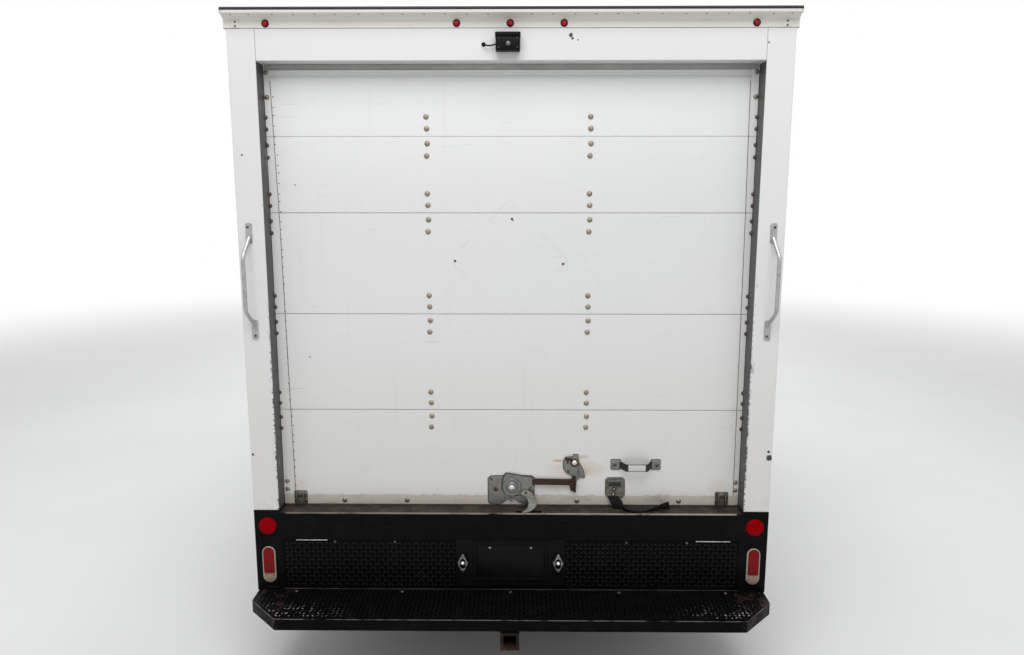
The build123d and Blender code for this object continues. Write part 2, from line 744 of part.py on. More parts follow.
with BuildPart() as cab_floor:
    add(cab_form(CAB_WALL + SEAT_FIT))
    with BuildSketch(side_plane(0)):
        with BuildLine():
            Polyline(
                (CAB_BACK_Y, FLOOR_PAN_Z - FLOOR_PAN_T),
                (BULKHEAD_Y, FLOOR_PAN_Z - FLOOR_PAN_T),
                (BULKHEAD_Y, COWL_Z - 52.0),
                (BULKHEAD_Y - BULKHEAD_T, COWL_Z - 52.0),
                (BULKHEAD_Y - BULKHEAD_T, FLOOR_PAN_Z),
                (CAB_BACK_Y, FLOOR_PAN_Z),
                close=True,
            )
        make_face()
    extrude(amount=CAB_HALF_W, both=True, mode=Mode.INTERSECT)
    add(door_space.part, mode=Mode.SUBTRACT)
    for side, name in SIDES:
        with BuildSketch(side_plane(side * ARCH_INNER_X)):
            with Locations((FRONT_AXLE_Y, WHEEL_Z)):
                Circle(LINER_R)
        extrude(amount=side * CAB_HALF_W, mode=Mode.SUBTRACT)
        add(liners.part)
    add(
        block(
            -TUNNEL_HALF_W,
            TUNNEL_HALF_W,
            BULKHEAD_Y - TUNNEL_BACK,
            BULKHEAD_Y,
            FLOOR_PAN_Z - FLOOR_PAN_T,
            TUNNEL_TOP_Z,
        )
    )
    add(
        block(
            -TUNNEL_HALF_W + TUNNEL_T,
            TUNNEL_HALF_W - TUNNEL_T,
            BULKHEAD_Y - TUNNEL_BACK + TUNNEL_T,
            BULKHEAD_Y + 5,
            FLOOR_PAN_Z - FLOOR_PAN_T - 5,
            TUNNEL_TOP_Z - TUNNEL_T,
        ),
        mode=Mode.SUBTRACT,
    )
    for side, name in SIDES:
        add(
            block(
                side * SEAT_X - SEAT_BASE_HALF_W,
                side * SEAT_X + SEAT_BASE_HALF_W,
                CAB_BACK_Y + SEAT_BASE_BACK[0],
                CAB_BACK_Y + SEAT_BASE_BACK[1],
                FLOOR_PAN_Z,
                FLOOR_PAN_Z + SEAT_BASE_H,
            )
        )
write(cab_floor, "cab_floor")

SEAT_W = 500.0
SEAT_CUSHION = (CAB_BACK_Y + 185.0, CAB_BACK_Y + 690.0, FLOOR_PAN_Z + SEAT_BASE_H + SEAT_FIT, 130.0)
SEAT_BACK_H = 620.0
SEAT_BACK_T = 120.0
HEAD_REST_W = 240.0
HEAD_REST_H = 190.0
with BuildPart() as seats:
    for side, name in SIDES:
        with BuildSketch(side_plane(side * SEAT_X - SEAT_W / 2)):
            with BuildLine():
                outline(
                    (
                        (SEAT_CUSHION[0], SEAT_CUSHION[2], 30.0),
                        (SEAT_CUSHION[1], SEAT_CUSHION[2], 30.0),
                        (SEAT_CUSHION[1], SEAT_CUSHION[2] + SEAT_CUSHION[3], 50.0),
                        (SEAT_CUSHION[0] + SEAT_BACK_T, SEAT_CUSHION[2] + SEAT_CUSHION[3] - 20.0, 20.0),
                        (SEAT_CUSHION[0] + 20.0, SEAT_CUSHION[2] + SEAT_BACK_H, 40.0),
                        (SEAT_CUSHION[0] - 90.0, SEAT_CUSHION[2] + SEAT_BACK_H - 10.0, 40.0),
                    )
                )
            make_face()
        extrude(amount=SEAT_W)
        with BuildSketch(side_plane(side * SEAT_X - HEAD_REST_W / 2)):
            with BuildLine():
                outline(
                    (
                        (SEAT_CUSHION[0] - 50.0, SEAT_CUSHION[2] + SEAT_BACK_H - 30.0, 10.0),
                        (SEAT_CUSHION[0] + 15.0, SEAT_CUSHION[2] + SEAT_BACK_H - 30.0, 10.0),
                        (SEAT_CUSHION[0] - 5.0, SEAT_CUSHION[2] + SEAT_BACK_H + HEAD_REST_H, 30.0),
                        (SEAT_CUSHION[0] - 95.0, SEAT_CUSHION[2] + SEAT_BACK_H + HEAD_REST_H, 30.0),
                    )
                )
            make_face()
        extrude(amount=HEAD_REST_W)
write(seats, "seats")

DASH_HALF_W = 900.0
DIAL_HOOD_W = 380.0
DIAL_HOOD_H = 26.0
COLUMN_X = -SEAT_X
COLUMN_TILT = 28.0
WHEEL_CENTRE = (COLUMN_X, BULKHEAD_Y - 480.0, 1175.0)
COLUMN_DIR = (
    0.0,
    -math.cos(math.radians(COLUMN_TILT)),
    math.sin(math.radians(COLUMN_TILT)),
)
STEER_WHEEL_R = 190.0
STEER_RIM_R = 14.0
STEER_BOSS_R = 62.0
STEER_SPOKE_W = 34.0
STEER_SPOKE_T = 20.0
SPOKE_ENDS = (STEER_BOSS_R - 10.0, STEER_WHEEL_R - STEER_RIM_R)
COLUMN_R = 32.0
STEER_SHAFT_R = 10.0
STEER_HUB_BACK = 24.0
STEER_BORE_L = 14.0
column_plane = Plane(origin=WHEEL_CENTRE, x_dir=(1, 0, 0), z_dir=COLUMN_DIR)

with BuildPart() as dashboard:
    with BuildSketch(side_plane(-DASH_HALF_W)):
        with BuildLine():
            outline(
                (
                    (BULKHEAD_Y - BULKHEAD_T, 880.0, 10.0),
                    (BULKHEAD_Y - BULKHEAD_T, COWL_Z - 62.0, 20.0),
                    (BULKHEAD_Y - 240.0, COWL_Z - 20.0, 60.0),
                    (BULKHEAD_Y - 330.0, COWL_Z - 90.0, 40.0),
                    (BULKHEAD_Y - 300.0, 900.0, 40.0),
                )
            )
        make_face()
    extrude(amount=2 * DASH_HALF_W)
    with BuildSketch(side_plane(COLUMN_X - DIAL_HOOD_W / 2)):
        with BuildLine():
            outline(
                (
                    (BULKHEAD_Y - 225.0, COWL_Z - 70.0, 5.0),
                    (BULKHEAD_Y - 200.0, COWL_Z + DIAL_HOOD_H - 8.0, 40.0),
                    (BULKHEAD_Y - 345.0, COWL_Z + DIAL_HOOD_H, 6.0),
                    (BULKHEAD_Y - 330.0, COWL_Z - 90.0, 10.0),
                )
            )
        make_face()
    extrude(amount=DIAL_HOOD_W)
    with BuildSketch(column_plane.offset(-30.0)):
        Circle(COLUMN_R)
    extrude(amount=-170.0)
    with BuildSketch(column_plane.offset(-60.0)):
        Circle(STEER_SHAFT_R)
    extrude(amount=60.0 - STEER_HUB_BACK + STEER_BORE_L - END_PLAY)
    add(
        block(
            -TUNNEL_HALF_W - 20,
            TUNNEL_HALF_W + 20,
            BULKHEAD_Y - TUNNEL_BACK,
            BULKHEAD_Y,
            860,
            TUNNEL_TOP_Z + SEAT_FIT,
        ),
        mode=Mode.SUBTRACT,
    )
write(dashboard, "dashboard")

with BuildPart() as steering_wheel:
    with BuildSketch(Plane(origin=WHEEL_CENTRE, x_dir=(1, 0, 0), z_dir=column_plane.y_dir)):
        with Locations((STEER_WHEEL_R - STEER_RIM_R, 0)):
            Circle(STEER_RIM_R)
    revolve(axis=Axis(WHEEL_CENTRE, COLUMN_DIR))
    with BuildSketch(column_plane.offset(-STEER_HUB_BACK)):
        Circle(STEER_BOSS_R)
        for turn in (90, 210, 330):
            with PolarLocations(sum(SPOKE_ENDS) / 2, 1, turn):
                Rectangle(SPOKE_ENDS[1] - SPOKE_ENDS[0], STEER_SPOKE_W)
    extrude(amount=STEER_SPOKE_T)
    with BuildSketch(column_plane.offset(-STEER_HUB_BACK)):
        Circle(STEER_SHAFT_R + SHAFT_FIT)
    extrude(amount=STEER_BORE_L, mode=Mode.SUBTRACT)
    with BuildSketch(column_plane.offset(-4.0)):
        Circle(50.0)
    extrude(amount=26.0, taper=12)
write(steering_wheel, "steering_wheel")

# Front bumper
FRONT_BUMPER_Z = (430.0, 610.0)
FRONT_BUMPER_T = 6.0
FRONT_BUMPER_HALF_W = 985.0
FRONT_BUMPER_PLAN = both_sides(
    (
        (FRONT_BUMPER_HALF_W, NOSE_Y - 300.0, 0.0),
        (FRONT_BUMPER_HALF_W, NOSE_Y - 130.0, 120.0),
        (FRONT_BUMPER_HALF_W - 190.0, NOSE_Y, 160.0),
    )
)
with BuildPart() as front_bumper:
    with BuildSketch(Plane.XY.offset(FRONT_BUMPER_Z[0])):
        with BuildLine():
            outline(FRONT_BUMPER_PLAN)
        make_face()
    extrude(amount=FRONT_BUMPER_Z[1] - FRONT_BUMPER_Z[0])
    fillet(front_bumper.edges().filter_by(Plane.XY).sort_by(Axis.Y)[-6:], 18)
    with BuildSketch(Plane.XY.offset(FRONT_BUMPER_Z[0] + 14)):
        with BuildLine():
            outline(FRONT_BUMPER_PLAN, FRONT_BUMPER_T)
        make_face()
    extrude(amount=FRONT_BUMPER_Z[1] - FRONT_BUMPER_Z[0] - 28, mode=Mode.SUBTRACT)
    add(
        block(
            -FRONT_BUMPER_HALF_W - 10,
            FRONT_BUMPER_HALF_W + 10,
            NOSE_Y - 310.0,
            NOSE_Y - 300.0 + FRONT_BUMPER_T + 1,
            FRONT_BUMPER_Z[0],
            FRONT_BUMPER_Z[1],
        ),
        mode=Mode.SUBTRACT,
    )
    add(
        block(
            -FRONT_BUMPER_HALF_W + 210.0,
            FRONT_BUMPER_HALF_W - 210.0,
            NOSE_Y - 310.0,
            NOSE_Y - 110.0,
            FRONT_BUMPER_Z[0],
            FRONT_BUMPER_Z[1],
        ),
        mode=Mode.SUBTRACT,
    )
    add(cab_form(-PANEL_GAP), mode=Mode.SUBTRACT)
write(front_bumper, "front_bumper")

# Ladder frame
RAIL_TAIL_Y = REAR_Y + RAIL_TAIL_GAP
RAIL_NOSE_Y = NOSE_Y - RAIL_NOSE_GAP
RAIL_SIDE = (
    (RAIL_TAIL_Y, RAIL_TOP_REAR - RAIL_H, 0.0),
    (RAIL_KICK_Y[1], RAIL_TOP_REAR - RAIL_H, 200.0),
    (RAIL_KICK_Y[0], RAIL_TOP_FRONT - RAIL_H, 200.0),
    (RAIL_NOSE_Y, RAIL_TOP_FRONT - RAIL_H, 0.0),
    (RAIL_NOSE_Y, RAIL_TOP_FRONT, 0.0),
    (RAIL_KICK_Y[0], RAIL_TOP_FRONT, 200.0),
    (RAIL_KICK_Y[1], RAIL_TOP_REAR, 200.0),
    (RAIL_TAIL_Y, RAIL_TOP_REAR, 0.0),
)
RAIL_INNER_X = RAIL_X - RAIL_W
GEARBOX_CROSS_R = 20.0
GEARBOX_CROSS_Z = RAIL_TOP_FRONT - RAIL_H + GEARBOX_CROSS_R + 2.0
# Each row: place along the van, height, radius
CROSS_TUBES = (
    (RAIL_NOSE_Y - 60.0, RAIL_TOP_FRONT - RAIL_H / 2, CROSS_R),
    (CAB_BACK_Y + 620.0, GEARBOX_CROSS_Z, GEARBOX_CROSS_R),
    (CAB_BACK_Y - 420.0, RAIL_TOP_REAR - RAIL_H / 2, CROSS_R),
    (REAR_AXLE_Y + 820.0, RAIL_TOP_REAR - RAIL_H / 2, CROSS_R),
    (REAR_AXLE_Y - 330.0, RAIL_TOP_REAR - RAIL_H / 2 + 30.0, CROSS_R),
    (RAIL_TAIL_Y + 60.0, RAIL_TOP_REAR - RAIL_H / 2, CROSS_R),
)
CAB_MOUNT_Y = (CAB_BACK_Y + 130.0, FRONT_AXLE_Y - 560.0)
EYE_Z = WHEEL_Z + AXLE_R + SPRING_SEAT_H + 2 * LEAF_T + SPRING_SAG + LEAF_T / 2
HANGER_T = 8.0
BRACKET_T = 10.0

with BuildPart() as chassis_frame:
    for side, name in SIDES:
        with BuildSketch(side_plane(side * RAIL_INNER_X)):
            with BuildLine():
                outline(RAIL_SIDE)
            make_face()
        extrude(amount=side * RAIL_W)
        with BuildSketch(side_plane(side * RAIL_INNER_X)):
            with BuildLine():
                outline(RAIL_SIDE, RAIL_WALL)
            make_face()
        extrude(amount=side * (RAIL_W - RAIL_WALL), mode=Mode.SUBTRACT)
    for place, height, radius in CROSS_TUBES:
        with BuildSketch(side_plane(-RAIL_X + RAIL_WALL / 2)):
            with Locations((place, height)):
                Circle(radius)
                Circle(radius - 5, mode=Mode.SUBTRACT)
        extrude(amount=2 * RAIL_X - RAIL_WALL)
    for side, name in SIDES:
        for place in CAB_MOUNT_Y:
            with BuildSketch(Plane.XY.offset(RAIL_TOP_FRONT)):
                with Locations((side * (RAIL_X - RAIL_W / 2), place)):
                    Circle(MOUNT_PAD_R)
            extrude(amount=FLOOR_PAN_Z - FLOOR_PAN_T - RAIL_TOP_FRONT)
        for end in (-1, 1):
            eye_y = REAR_AXLE_Y + end * SPRING_HALF_L
            with BuildSketch(side_plane(side * RAIL_X)):
                with BuildLine():
                    Polyline(
                        (eye_y - 70, RAIL_TOP_REAR),
                        (eye_y + 70, RAIL_TOP_REAR),
                        (eye_y + 30, EYE_Z - 24),
                        (eye_y - 30, EYE_Z - 24),
                        close=True,
                    )
                make_face()
            extrude(amount=side * (SPRING_X - SPRING_W / 2 - SEAT_FIT - RAIL_X))
            with BuildSketch(side_plane(side * (SPRING_X + SPRING_W / 2 + SEAT_FIT))):
                with BuildLine():
                    Polyline(
                        (eye_y - 70, RAIL_TOP_REAR),
                        (eye_y + 70, RAIL_TOP_REAR),
                        (eye_y + 30, EYE_Z - 24),
                        (eye_y - 30, EYE_Z - 24),
                        close=True,
                    )
                make_face()
            extrude(amount=side * HANGER_T)
            add(
                block(
                    side * (RAIL_X - 4.0),
                    side * (SPRING_X + SPRING_W / 2 + SEAT_FIT + HANGER_T),
                    eye_y - 70,
                    eye_y + 70,
                    RAIL_TOP_REAR - HANGER_T,
                    RAIL_TOP_REAR,
                )
            )
        add(
            block(
                side * (RAIL_X - BRACKET_T),
                side * RAIL_X,
                REAR_Y + STEP_UNDER + SEAT_FIT,
                RAIL_TAIL_Y + 150.0,
                RECEIVER_Z - RECEIVER_OUTER / 2,
                RAIL_TOP_REAR - RAIL_H / 2,
            )
        )
        add(
            block(
                side * (RAIL_X - 60.0),
                side * RAIL_X,
                REAR_Y + 8.0,
                RAIL_TAIL_Y,
                CORNER_BOTTOM_Z,
                RAIL_TOP_REAR - RAIL_H / 2,
            )
        )
    for side, name in SIDES:
        add(
            block(
                side * (RAIL_X - 50.0),
                side * RAIL_X,
                RAIL_NOSE_Y - 40.0,
                NOSE_Y - FRONT_BUMPER_T - SEAT_FIT,
                RAIL_TOP_FRONT - RAIL_H + 50,
                RAIL_TOP_FRONT - 20,
            )
        )
write(chassis_frame, "chassis_frame")

# Front suspension: a crossmember, two arms a side, kingpins and spring towers
LOWER_ARM_Z = WHEEL_Z - KNUCKLE_HALF_H - ARM_PLAY - ARM_T
UPPER_ARM_Z = WHEEL_Z + KNUCKLE_HALF_H + ARM_PLAY
COIL_X = 590.0
COIL_R = 55.0
with BuildPart() as front_suspension:
    add(
        block(
            -RAIL_X - 20.0,
            RAIL_X + 20.0,
            FRONT_AXLE_Y - 75.0,
            FRONT_AXLE_Y + 75.0,
            LOWER_ARM_Z - 10.0,
            LOWER_ARM_Z + 62.0,
        )
    )
    for side, name in SIDES:
        add(
            block(
                side * (RAIL_X + SEAT_FIT),
                side * (RAIL_X + 24.0),
                FRONT_AXLE_Y - 75.0,
                FRONT_AXLE_Y + 75.0,
                LOWER_ARM_Z,
                UPPER_ARM_Z + 60.0,
            )
        )
        for level, spread in ((LOWER_ARM_Z, 130.0), (UPPER_ARM_Z, 95.0)):
            with BuildSketch(Plane.XY.offset(level)):
                with BuildLine():
                    Polyline(
                        (side * (RAIL_X + 10.0), FRONT_AXLE_Y - spread),
                        (side * (KINGPIN_X - 20.0), FRONT_AXLE_Y - 30.0),
                        (side * (KINGPIN_X - 20.0), FRONT_AXLE_Y + 30.0),
                        (side * (RAIL_X + 10.0), FRONT_AXLE_Y + spread),
                        close=True,
                    )
                make_face()
                with Locations((side * KINGPIN_X, FRONT_AXLE_Y)):
                    Circle(36.0)
                with BuildLine():
                    Polyline(
                        (side * (RAIL_X + 50.0), FRONT_AXLE_Y - spread + 50.0),
                        (side * (COIL_X - COIL_R - 14.0), FRONT_AXLE_Y - 42.0),
                        (side * (COIL_X - COIL_R - 14.0), FRONT_AXLE_Y + 42.0),
                        (side * (RAIL_X + 50.0), FRONT_AXLE_Y + spread - 50.0),
                        close=True,
                    )
                make_face(mode=Mode.SUBTRACT)
            extrude(amount=ARM_T)
        with BuildSketch(Plane.XY.offset(LOWER_ARM_Z)):
            with Locations((side * KINGPIN_X, FRONT_AXLE_Y)):
                Circle(KINGPIN_R)
        extrude(amount=UPPER_ARM_Z - LOWER_ARM_Z + ARM_T)
        with BuildSketch(Plane.XY.offset(LOWER_ARM_Z + ARM_T / 2)):
            with Locations((side * COIL_X, FRONT_AXLE_Y)):
                Circle(COIL_R)
                Circle(COIL_R - 15.0, mode=Mode.SUBTRACT)
        extrude(amount=UPPER_ARM_Z + ARM_T / 2 - LOWER_ARM_Z)
        with BuildSketch(Plane.XY.offset(UPPER_ARM_Z + ARM_T / 2)):
            with Locations((side * COIL_X, FRONT_AXLE_Y)):
                Circle(COIL_R + 10.0)
        extrude(amount=ARM_T / 2 + 8.0)
write(front_suspension, "front_suspension")

# Knuckles, wheels and tyres
FRONT_WHEEL_X = FRONT_TRACK / 2
REAR_WHEEL_X = REAR_TRACK / 2
HUB_BACK = 68.0
HUB_FRONT = 52.0
BORE_BACK = 10.0
SPINDLE_SHORT = 3.0
WHEEL_DISH = 20.0
WHEEL_DISC_T = 10.0
BRAKE_BACK = 62.0


def wheel_plane(side, x, y):
    """A half section through a wheel: its x runs outwards along the axle, its y is the radius."""
    return Plane(origin=(side * x, y, WHEEL_Z), x_dir=(side, 0, 0), z_dir=(0, -side, 0))


def rim(side, x, y, spindle_r, brake_r, brake_t):
    """A pressed steel wheel with its hub and the brake part that turns with it."""
    with BuildPart() as wheel:
        with BuildSketch(wheel_plane(side, x, y)):
            with BuildLine():
                Polyline(
                    (-RIM_W / 2, RIM_R - RIM_T),
                    (-RIM_W / 2, RIM_R + RIM_FLANGE),
                    (-RIM_W / 2 + RIM_T, RIM_R + RIM_FLANGE),
                    (-RIM_W / 2 + RIM_T + 4, RIM_R),
                    (-RIM_W / 2 + 40, RIM_R),
                    (-RIM_W / 2 + 60, RIM_R - 16),
                    (RIM_W / 2 - 60, RIM_R - 16),
                    (RIM_W / 2 - 40, RIM_R),
                    (RIM_W / 2 - RIM_T - 4, RIM_R),
                    (RIM_W / 2 - RIM_T, RIM_R + RIM_FLANGE),
                    (RIM_W / 2, RIM_R + RIM_FLANGE),
                    (RIM_W / 2, RIM_R - RIM_T),
                    (RIM_W / 2 - 38, RIM_R - RIM_T),
                    (RIM_W / 2 - 58, RIM_R - 16 - RIM_T),
                    (WHEEL_DISH + WHEEL_DISC_T + 12, RIM_R - 16 - RIM_T),
                    (WHEEL_DISH + WHEEL_DISC_T + 6, 120),
                    (WHEEL_DISH + WHEEL_DISC_T - 8, 90),
                    (WHEEL_DISH + WHEEL_DISC_T - 8, HUB_R - 10),
                    (WHEEL_DISH - 8, HUB_R - 10),
                    (WHEEL_DISH - 8, 94),
                    (WHEEL_DISH + 6, 124),
                    (WHEEL_DISH + 10, RIM_R - 16 - RIM_T),
                    (-RIM_W / 2 + 58, RIM_R - 16 - RIM_T),
                    (-RIM_W / 2 + 38, RIM_R - RIM_T),
                    close=True,
                )
            make_face()
            with BuildLine():
                Polyline(
                    (-HUB_BACK, spindle_r + SHAFT_FIT),
                    (-HUB_BACK, HUB_R),
                    (WHEEL_DISH, HUB_R),
                    (WHEEL_DISH, HUB_R - 4),
                    (HUB_FRONT - 6, HUB_R - 16),
                    (HUB_FRONT, HUB_R - 24),
                    (HUB_FRONT, 0),
                    (BORE_BACK + SPINDLE_SHORT, 0),
                    (BORE_BACK + SPINDLE_SHORT, spindle_r + SHAFT_FIT),
                    close=True,
                )
            make_face()
            with BuildLine():
                Polyline(
                    (-BRAKE_BACK, HUB_R - 5),
                    (-BRAKE_BACK, brake_r),
                    (-BRAKE_BACK + brake_t, brake_r),
                    (-BRAKE_BACK + brake_t, HUB_R - 5),
                    close=True,
                )
            make_face()
        revolve(axis=Axis((side * x, y, WHEEL_Z), (side, 0, 0)))
        with BuildSketch(Plane(origin=(side * x, y, WHEEL_Z), x_dir=(0, side, 0), z_dir=(side, 0, 0))):
            with PolarLocations(HUB_HOLE_PCR, HUB_HOLES):
                Circle(HUB_HOLE_R)
        extrude(amount=WHEEL_DISH + 60, mode=Mode.SUBTRACT)
    return wheel


def tyre(side, x, y):
    """A tyre with rounded shoulders, seated on its rim."""
    with BuildPart() as ring:
        with BuildSketch(wheel_plane(side, x, y)):
            with BuildLine():
                bead = Polyline(
                    (-RIM_W / 2 + RIM_T + 4.5, RIM_R + SEAT_FIT),
                    (RIM_W / 2 - RIM_T - 4.5, RIM_R + SEAT_FIT),
                    (RIM_W / 2 - RIM_T - 0.5, RIM_R + RIM_FLANGE + 0.5),
                    (RIM_W / 2 + 2, RIM_R + RIM_FLANGE + 4),
                )
                wall = ThreePointArc(
                    bead @ 1,
                    (TYRE_W / 2, (RIM_R + TYRE_R) / 2 + 4),
                    (TYRE_W / 2 - 17, TYRE_R - 18),
                )
                shoulder = ThreePointArc(
                    wall @ 1,
                    (TYRE_W / 2 - 26, TYRE_R - 7),
                    (TYRE_W / 2 - 42, TYRE_R - 3),
                )
                ThreePointArc(shoulder @ 1, (0, TYRE_R), (-TYRE_W / 2 + 42, TYRE_R - 3))
                shoulder_in = ThreePointArc(
                    (-TYRE_W / 2 + 42, TYRE_R - 3),
                    (-TYRE_W / 2 + 26, TYRE_R - 7),
                    (-TYRE_W / 2 + 17, TYRE_R - 18),
                )
                wall_in = ThreePointArc(
                    shoulder_in @ 1,
                    (-TYRE_W / 2, (RIM_R + TYRE_R) / 2 + 4),
                    (-RIM_W / 2 - 2, RIM_R + RIM_FLANGE + 4),
                )
                Polyline(wall_in @ 1, (-RIM_W / 2 + RIM_T + 0.5, RIM_R + RIM_FLANGE + 0.5), bead @ 0)
            make_face()
        revolve(axis=Axis((side * x, y, WHEEL_Z), (side, 0, 0)))
    return ring


for side, name in SIDES:
    with BuildPart() as knuckle:
        with BuildSketch(Plane.XY.offset(WHEEL_Z - KNUCKLE_HALF_H)):
            with Locations((side * (KINGPIN_X - 2), FRONT_AXLE_Y)):
                RectangleRounded(2 * KNUCKLE_HALF_W, 70.0, 16)
        extrude(amount=2 * KNUCKLE_HALF_H)
        with BuildSketch(wheel_plane(side, KINGPIN_X, FRONT_AXLE_Y)):
            with BuildLine():
                Polyline(
                    (0, 0),
                    (FRONT_WHEEL_X - KINGPIN_X + BORE_BACK, 0),
                    (FRONT_WHEEL_X - KINGPIN_X + BORE_BACK, FRONT_SPINDLE_R),
                    (FRONT_WHEEL_X - KINGPIN_X - HUB_BACK - END_PLAY, FRONT_SPINDLE_R),
                    (FRONT_WHEEL_X - KINGPIN_X - HUB_BACK - END_PLAY, FRONT_SPINDLE_R + 20),
                    (0, FRONT_SPINDLE_R + 20),
                    close=True,
                )
            make_face()
        revolve(axis=Axis((side * KINGPIN_X, FRONT_AXLE_Y, WHEEL_Z), (side, 0, 0)))
        with BuildSketch(Plane.XY.offset(WHEEL_Z - KNUCKLE_HALF_H + 6)):
            with BuildLine():
                Polyline(
                    (side * (KINGPIN_X - 22), FRONT_AXLE_Y - 25),
                    (side * (KINGPIN_X + 8), FRONT_AXLE_Y - 25),
                    (side * (KINGPIN_X - 25), FRONT_AXLE_Y - STEER_ARM_L),
                    (side * (KINGPIN_X - 60), FRONT_AXLE_Y - STEER_ARM_L),
                    close=True,
                )
            make_face()
        extrude(amount=20)
        with BuildSketch(Plane.XY.offset(WHEEL_Z - KNUCKLE_HALF_H - 1)):
            with Locations((side * KINGPIN_X, FRONT_AXLE_Y)):
                Circle(KINGPIN_R + SHAFT_FIT)
        extrude(amount=2 * KNUCKLE_HALF_H + 2, mode=Mode.SUBTRACT)
    write(knuckle, "knuckle_" + name)
    write(
        rim(side, FRONT_WHEEL_X, FRONT_AXLE_Y, FRONT_SPINDLE_R, DISC_R, DISC_T),
        "front_wheel_" + name,
    )
    write(tyre(side, FRONT_WHEEL_X, FRONT_AXLE_Y), "front_tyre_" + name)
    write(
        rim(side, REAR_WHEEL_X, REAR_AXLE_Y, REAR_SPINDLE_R, DRUM_R, DRUM_T),
        "rear_wheel_" + name,
    )
    write(tyre(side, REAR_WHEEL_X, REAR_AXLE_Y), "rear_tyre_" + name)

# Rear axle, springs and drive
with BuildPart() as rear_axle:
    with BuildSketch(Plane(origin=(0, REAR_AXLE_Y, WHEEL_Z), x_dir=(1, 0, 0), z_dir=(0, -1, 0))):
        with BuildLine():
            Polyline(
                (0, 0),
                (REAR_WHEEL_X + BORE_BACK, 0),
                (REAR_WHEEL_X + BORE_BACK, REAR_SPINDLE_R),
                (REAR_WHEEL_X - HUB_BACK - END_PLAY, REAR_SPINDLE_R),
                (REAR_WHEEL_X - HUB_BACK - END_PLAY, AXLE_R),
                (REAR_WHEEL_X - HUB_BACK - AXLE_END_GAP, AXLE_R),
                (REAR_WHEEL_X - HUB_BACK - AXLE_END_GAP, DRUM_R - 6),
                (REAR_WHEEL_X - HUB_BACK - AXLE_END_GAP - 8, DRUM_R - 6),
                (REAR_WHEEL_X - HUB_BACK - AXLE_END_GAP - 8, AXLE_R),
                (DIFF_R, AXLE_R),
                (0, AXLE_R),
                close=True,
            )
        make_face()
    revolve(axis=Axis((0, REAR_AXLE_Y, WHEEL_Z), (1, 0, 0)))
    mirror(about=Plane.YZ)
    with BuildSketch(Plane(origin=(0, REAR_AXLE_Y, WHEEL_Z), x_dir=(1, 0, 0), z_dir=(0, -1, 0))):
        with BuildLine():
            ThreePointArc((-DIFF_R, 30), (0, DIFF_R), (DIFF_R, 30))
            Polyline((DIFF_R, 30), (DIFF_R, 0), (-DIFF_R, 0), (-DIFF_R, 30))
        make_face()
    revolve(axis=Axis((0, REAR_AXLE_Y, WHEEL_Z), (1, 0, 0)))
    with BuildSketch(Plane.XZ.offset(-REAR_AXLE_Y)):
        with Locations((0, WHEEL_Z)):
            Circle(62)
    extrude(amount=-190, taper=6)
    for side, name in SIDES:
        add(
            block(
                side * (SPRING_X - SPRING_W / 2),
                side * (SPRING_X + SPRING_W / 2),
                REAR_AXLE_Y - 60,
                REAR_AXLE_Y + 60,
                WHEEL_Z,
                WHEEL_Z + AXLE_R + SPRING_SEAT_H,
            )
        )
write(rear_axle, "rear_axle")

SPRING_R = (SPRING_HALF_L**2 + SPRING_SAG**2) / (2 * SPRING_SAG)
LEAF_HALF_L = (SPRING_HALF_L, 0.8 * SPRING_HALF_L, 0.55 * SPRING_HALF_L)
with BuildPart() as leaf_springs:
    for side, name in SIDES:
        centre_z = WHEEL_Z + AXLE_R + SPRING_SEAT_H + len(LEAF_HALF_L) * LEAF_T + SPRING_R
        for level, half_l in enumerate(LEAF_HALF_L):
            with BuildSketch(side_plane(side * SPRING_X - SPRING_W / 2)):
                with Locations((REAR_AXLE_Y, centre_z)):
                    Circle(SPRING_R + (level + 1) * LEAF_T)
                    Circle(SPRING_R + level * LEAF_T, mode=Mode.SUBTRACT)
                with Locations((REAR_AXLE_Y, EYE_Z)):
                    Rectangle(2 * half_l, 4 * SPRING_SAG, mode=Mode.INTERSECT)
            extrude(amount=SPRING_W)
        for end in (-1, 1):
            with BuildSketch(side_plane(side * SPRING_X - SPRING_W / 2)):
                with Locations((REAR_AXLE_Y + end * SPRING_HALF_L, EYE_Z)):
                    Circle(EYE_R)
                    Circle(EYE_R - 12, mode=Mode.SUBTRACT)
            extrude(amount=SPRING_W)
    add(
        block(
            -SPRING_X - SPRING_W,
            SPRING_X + SPRING_W,
            REAR_AXLE_Y - 80,
            REAR_AXLE_Y + 80,
            WHEEL_Z + AXLE_R + SPRING_SEAT_H - 5,
            WHEEL_Z + AXLE_R + SPRING_SEAT_H,
        ),
        mode=Mode.SUBTRACT,
    )
write(leaf_springs, "leaf_springs")

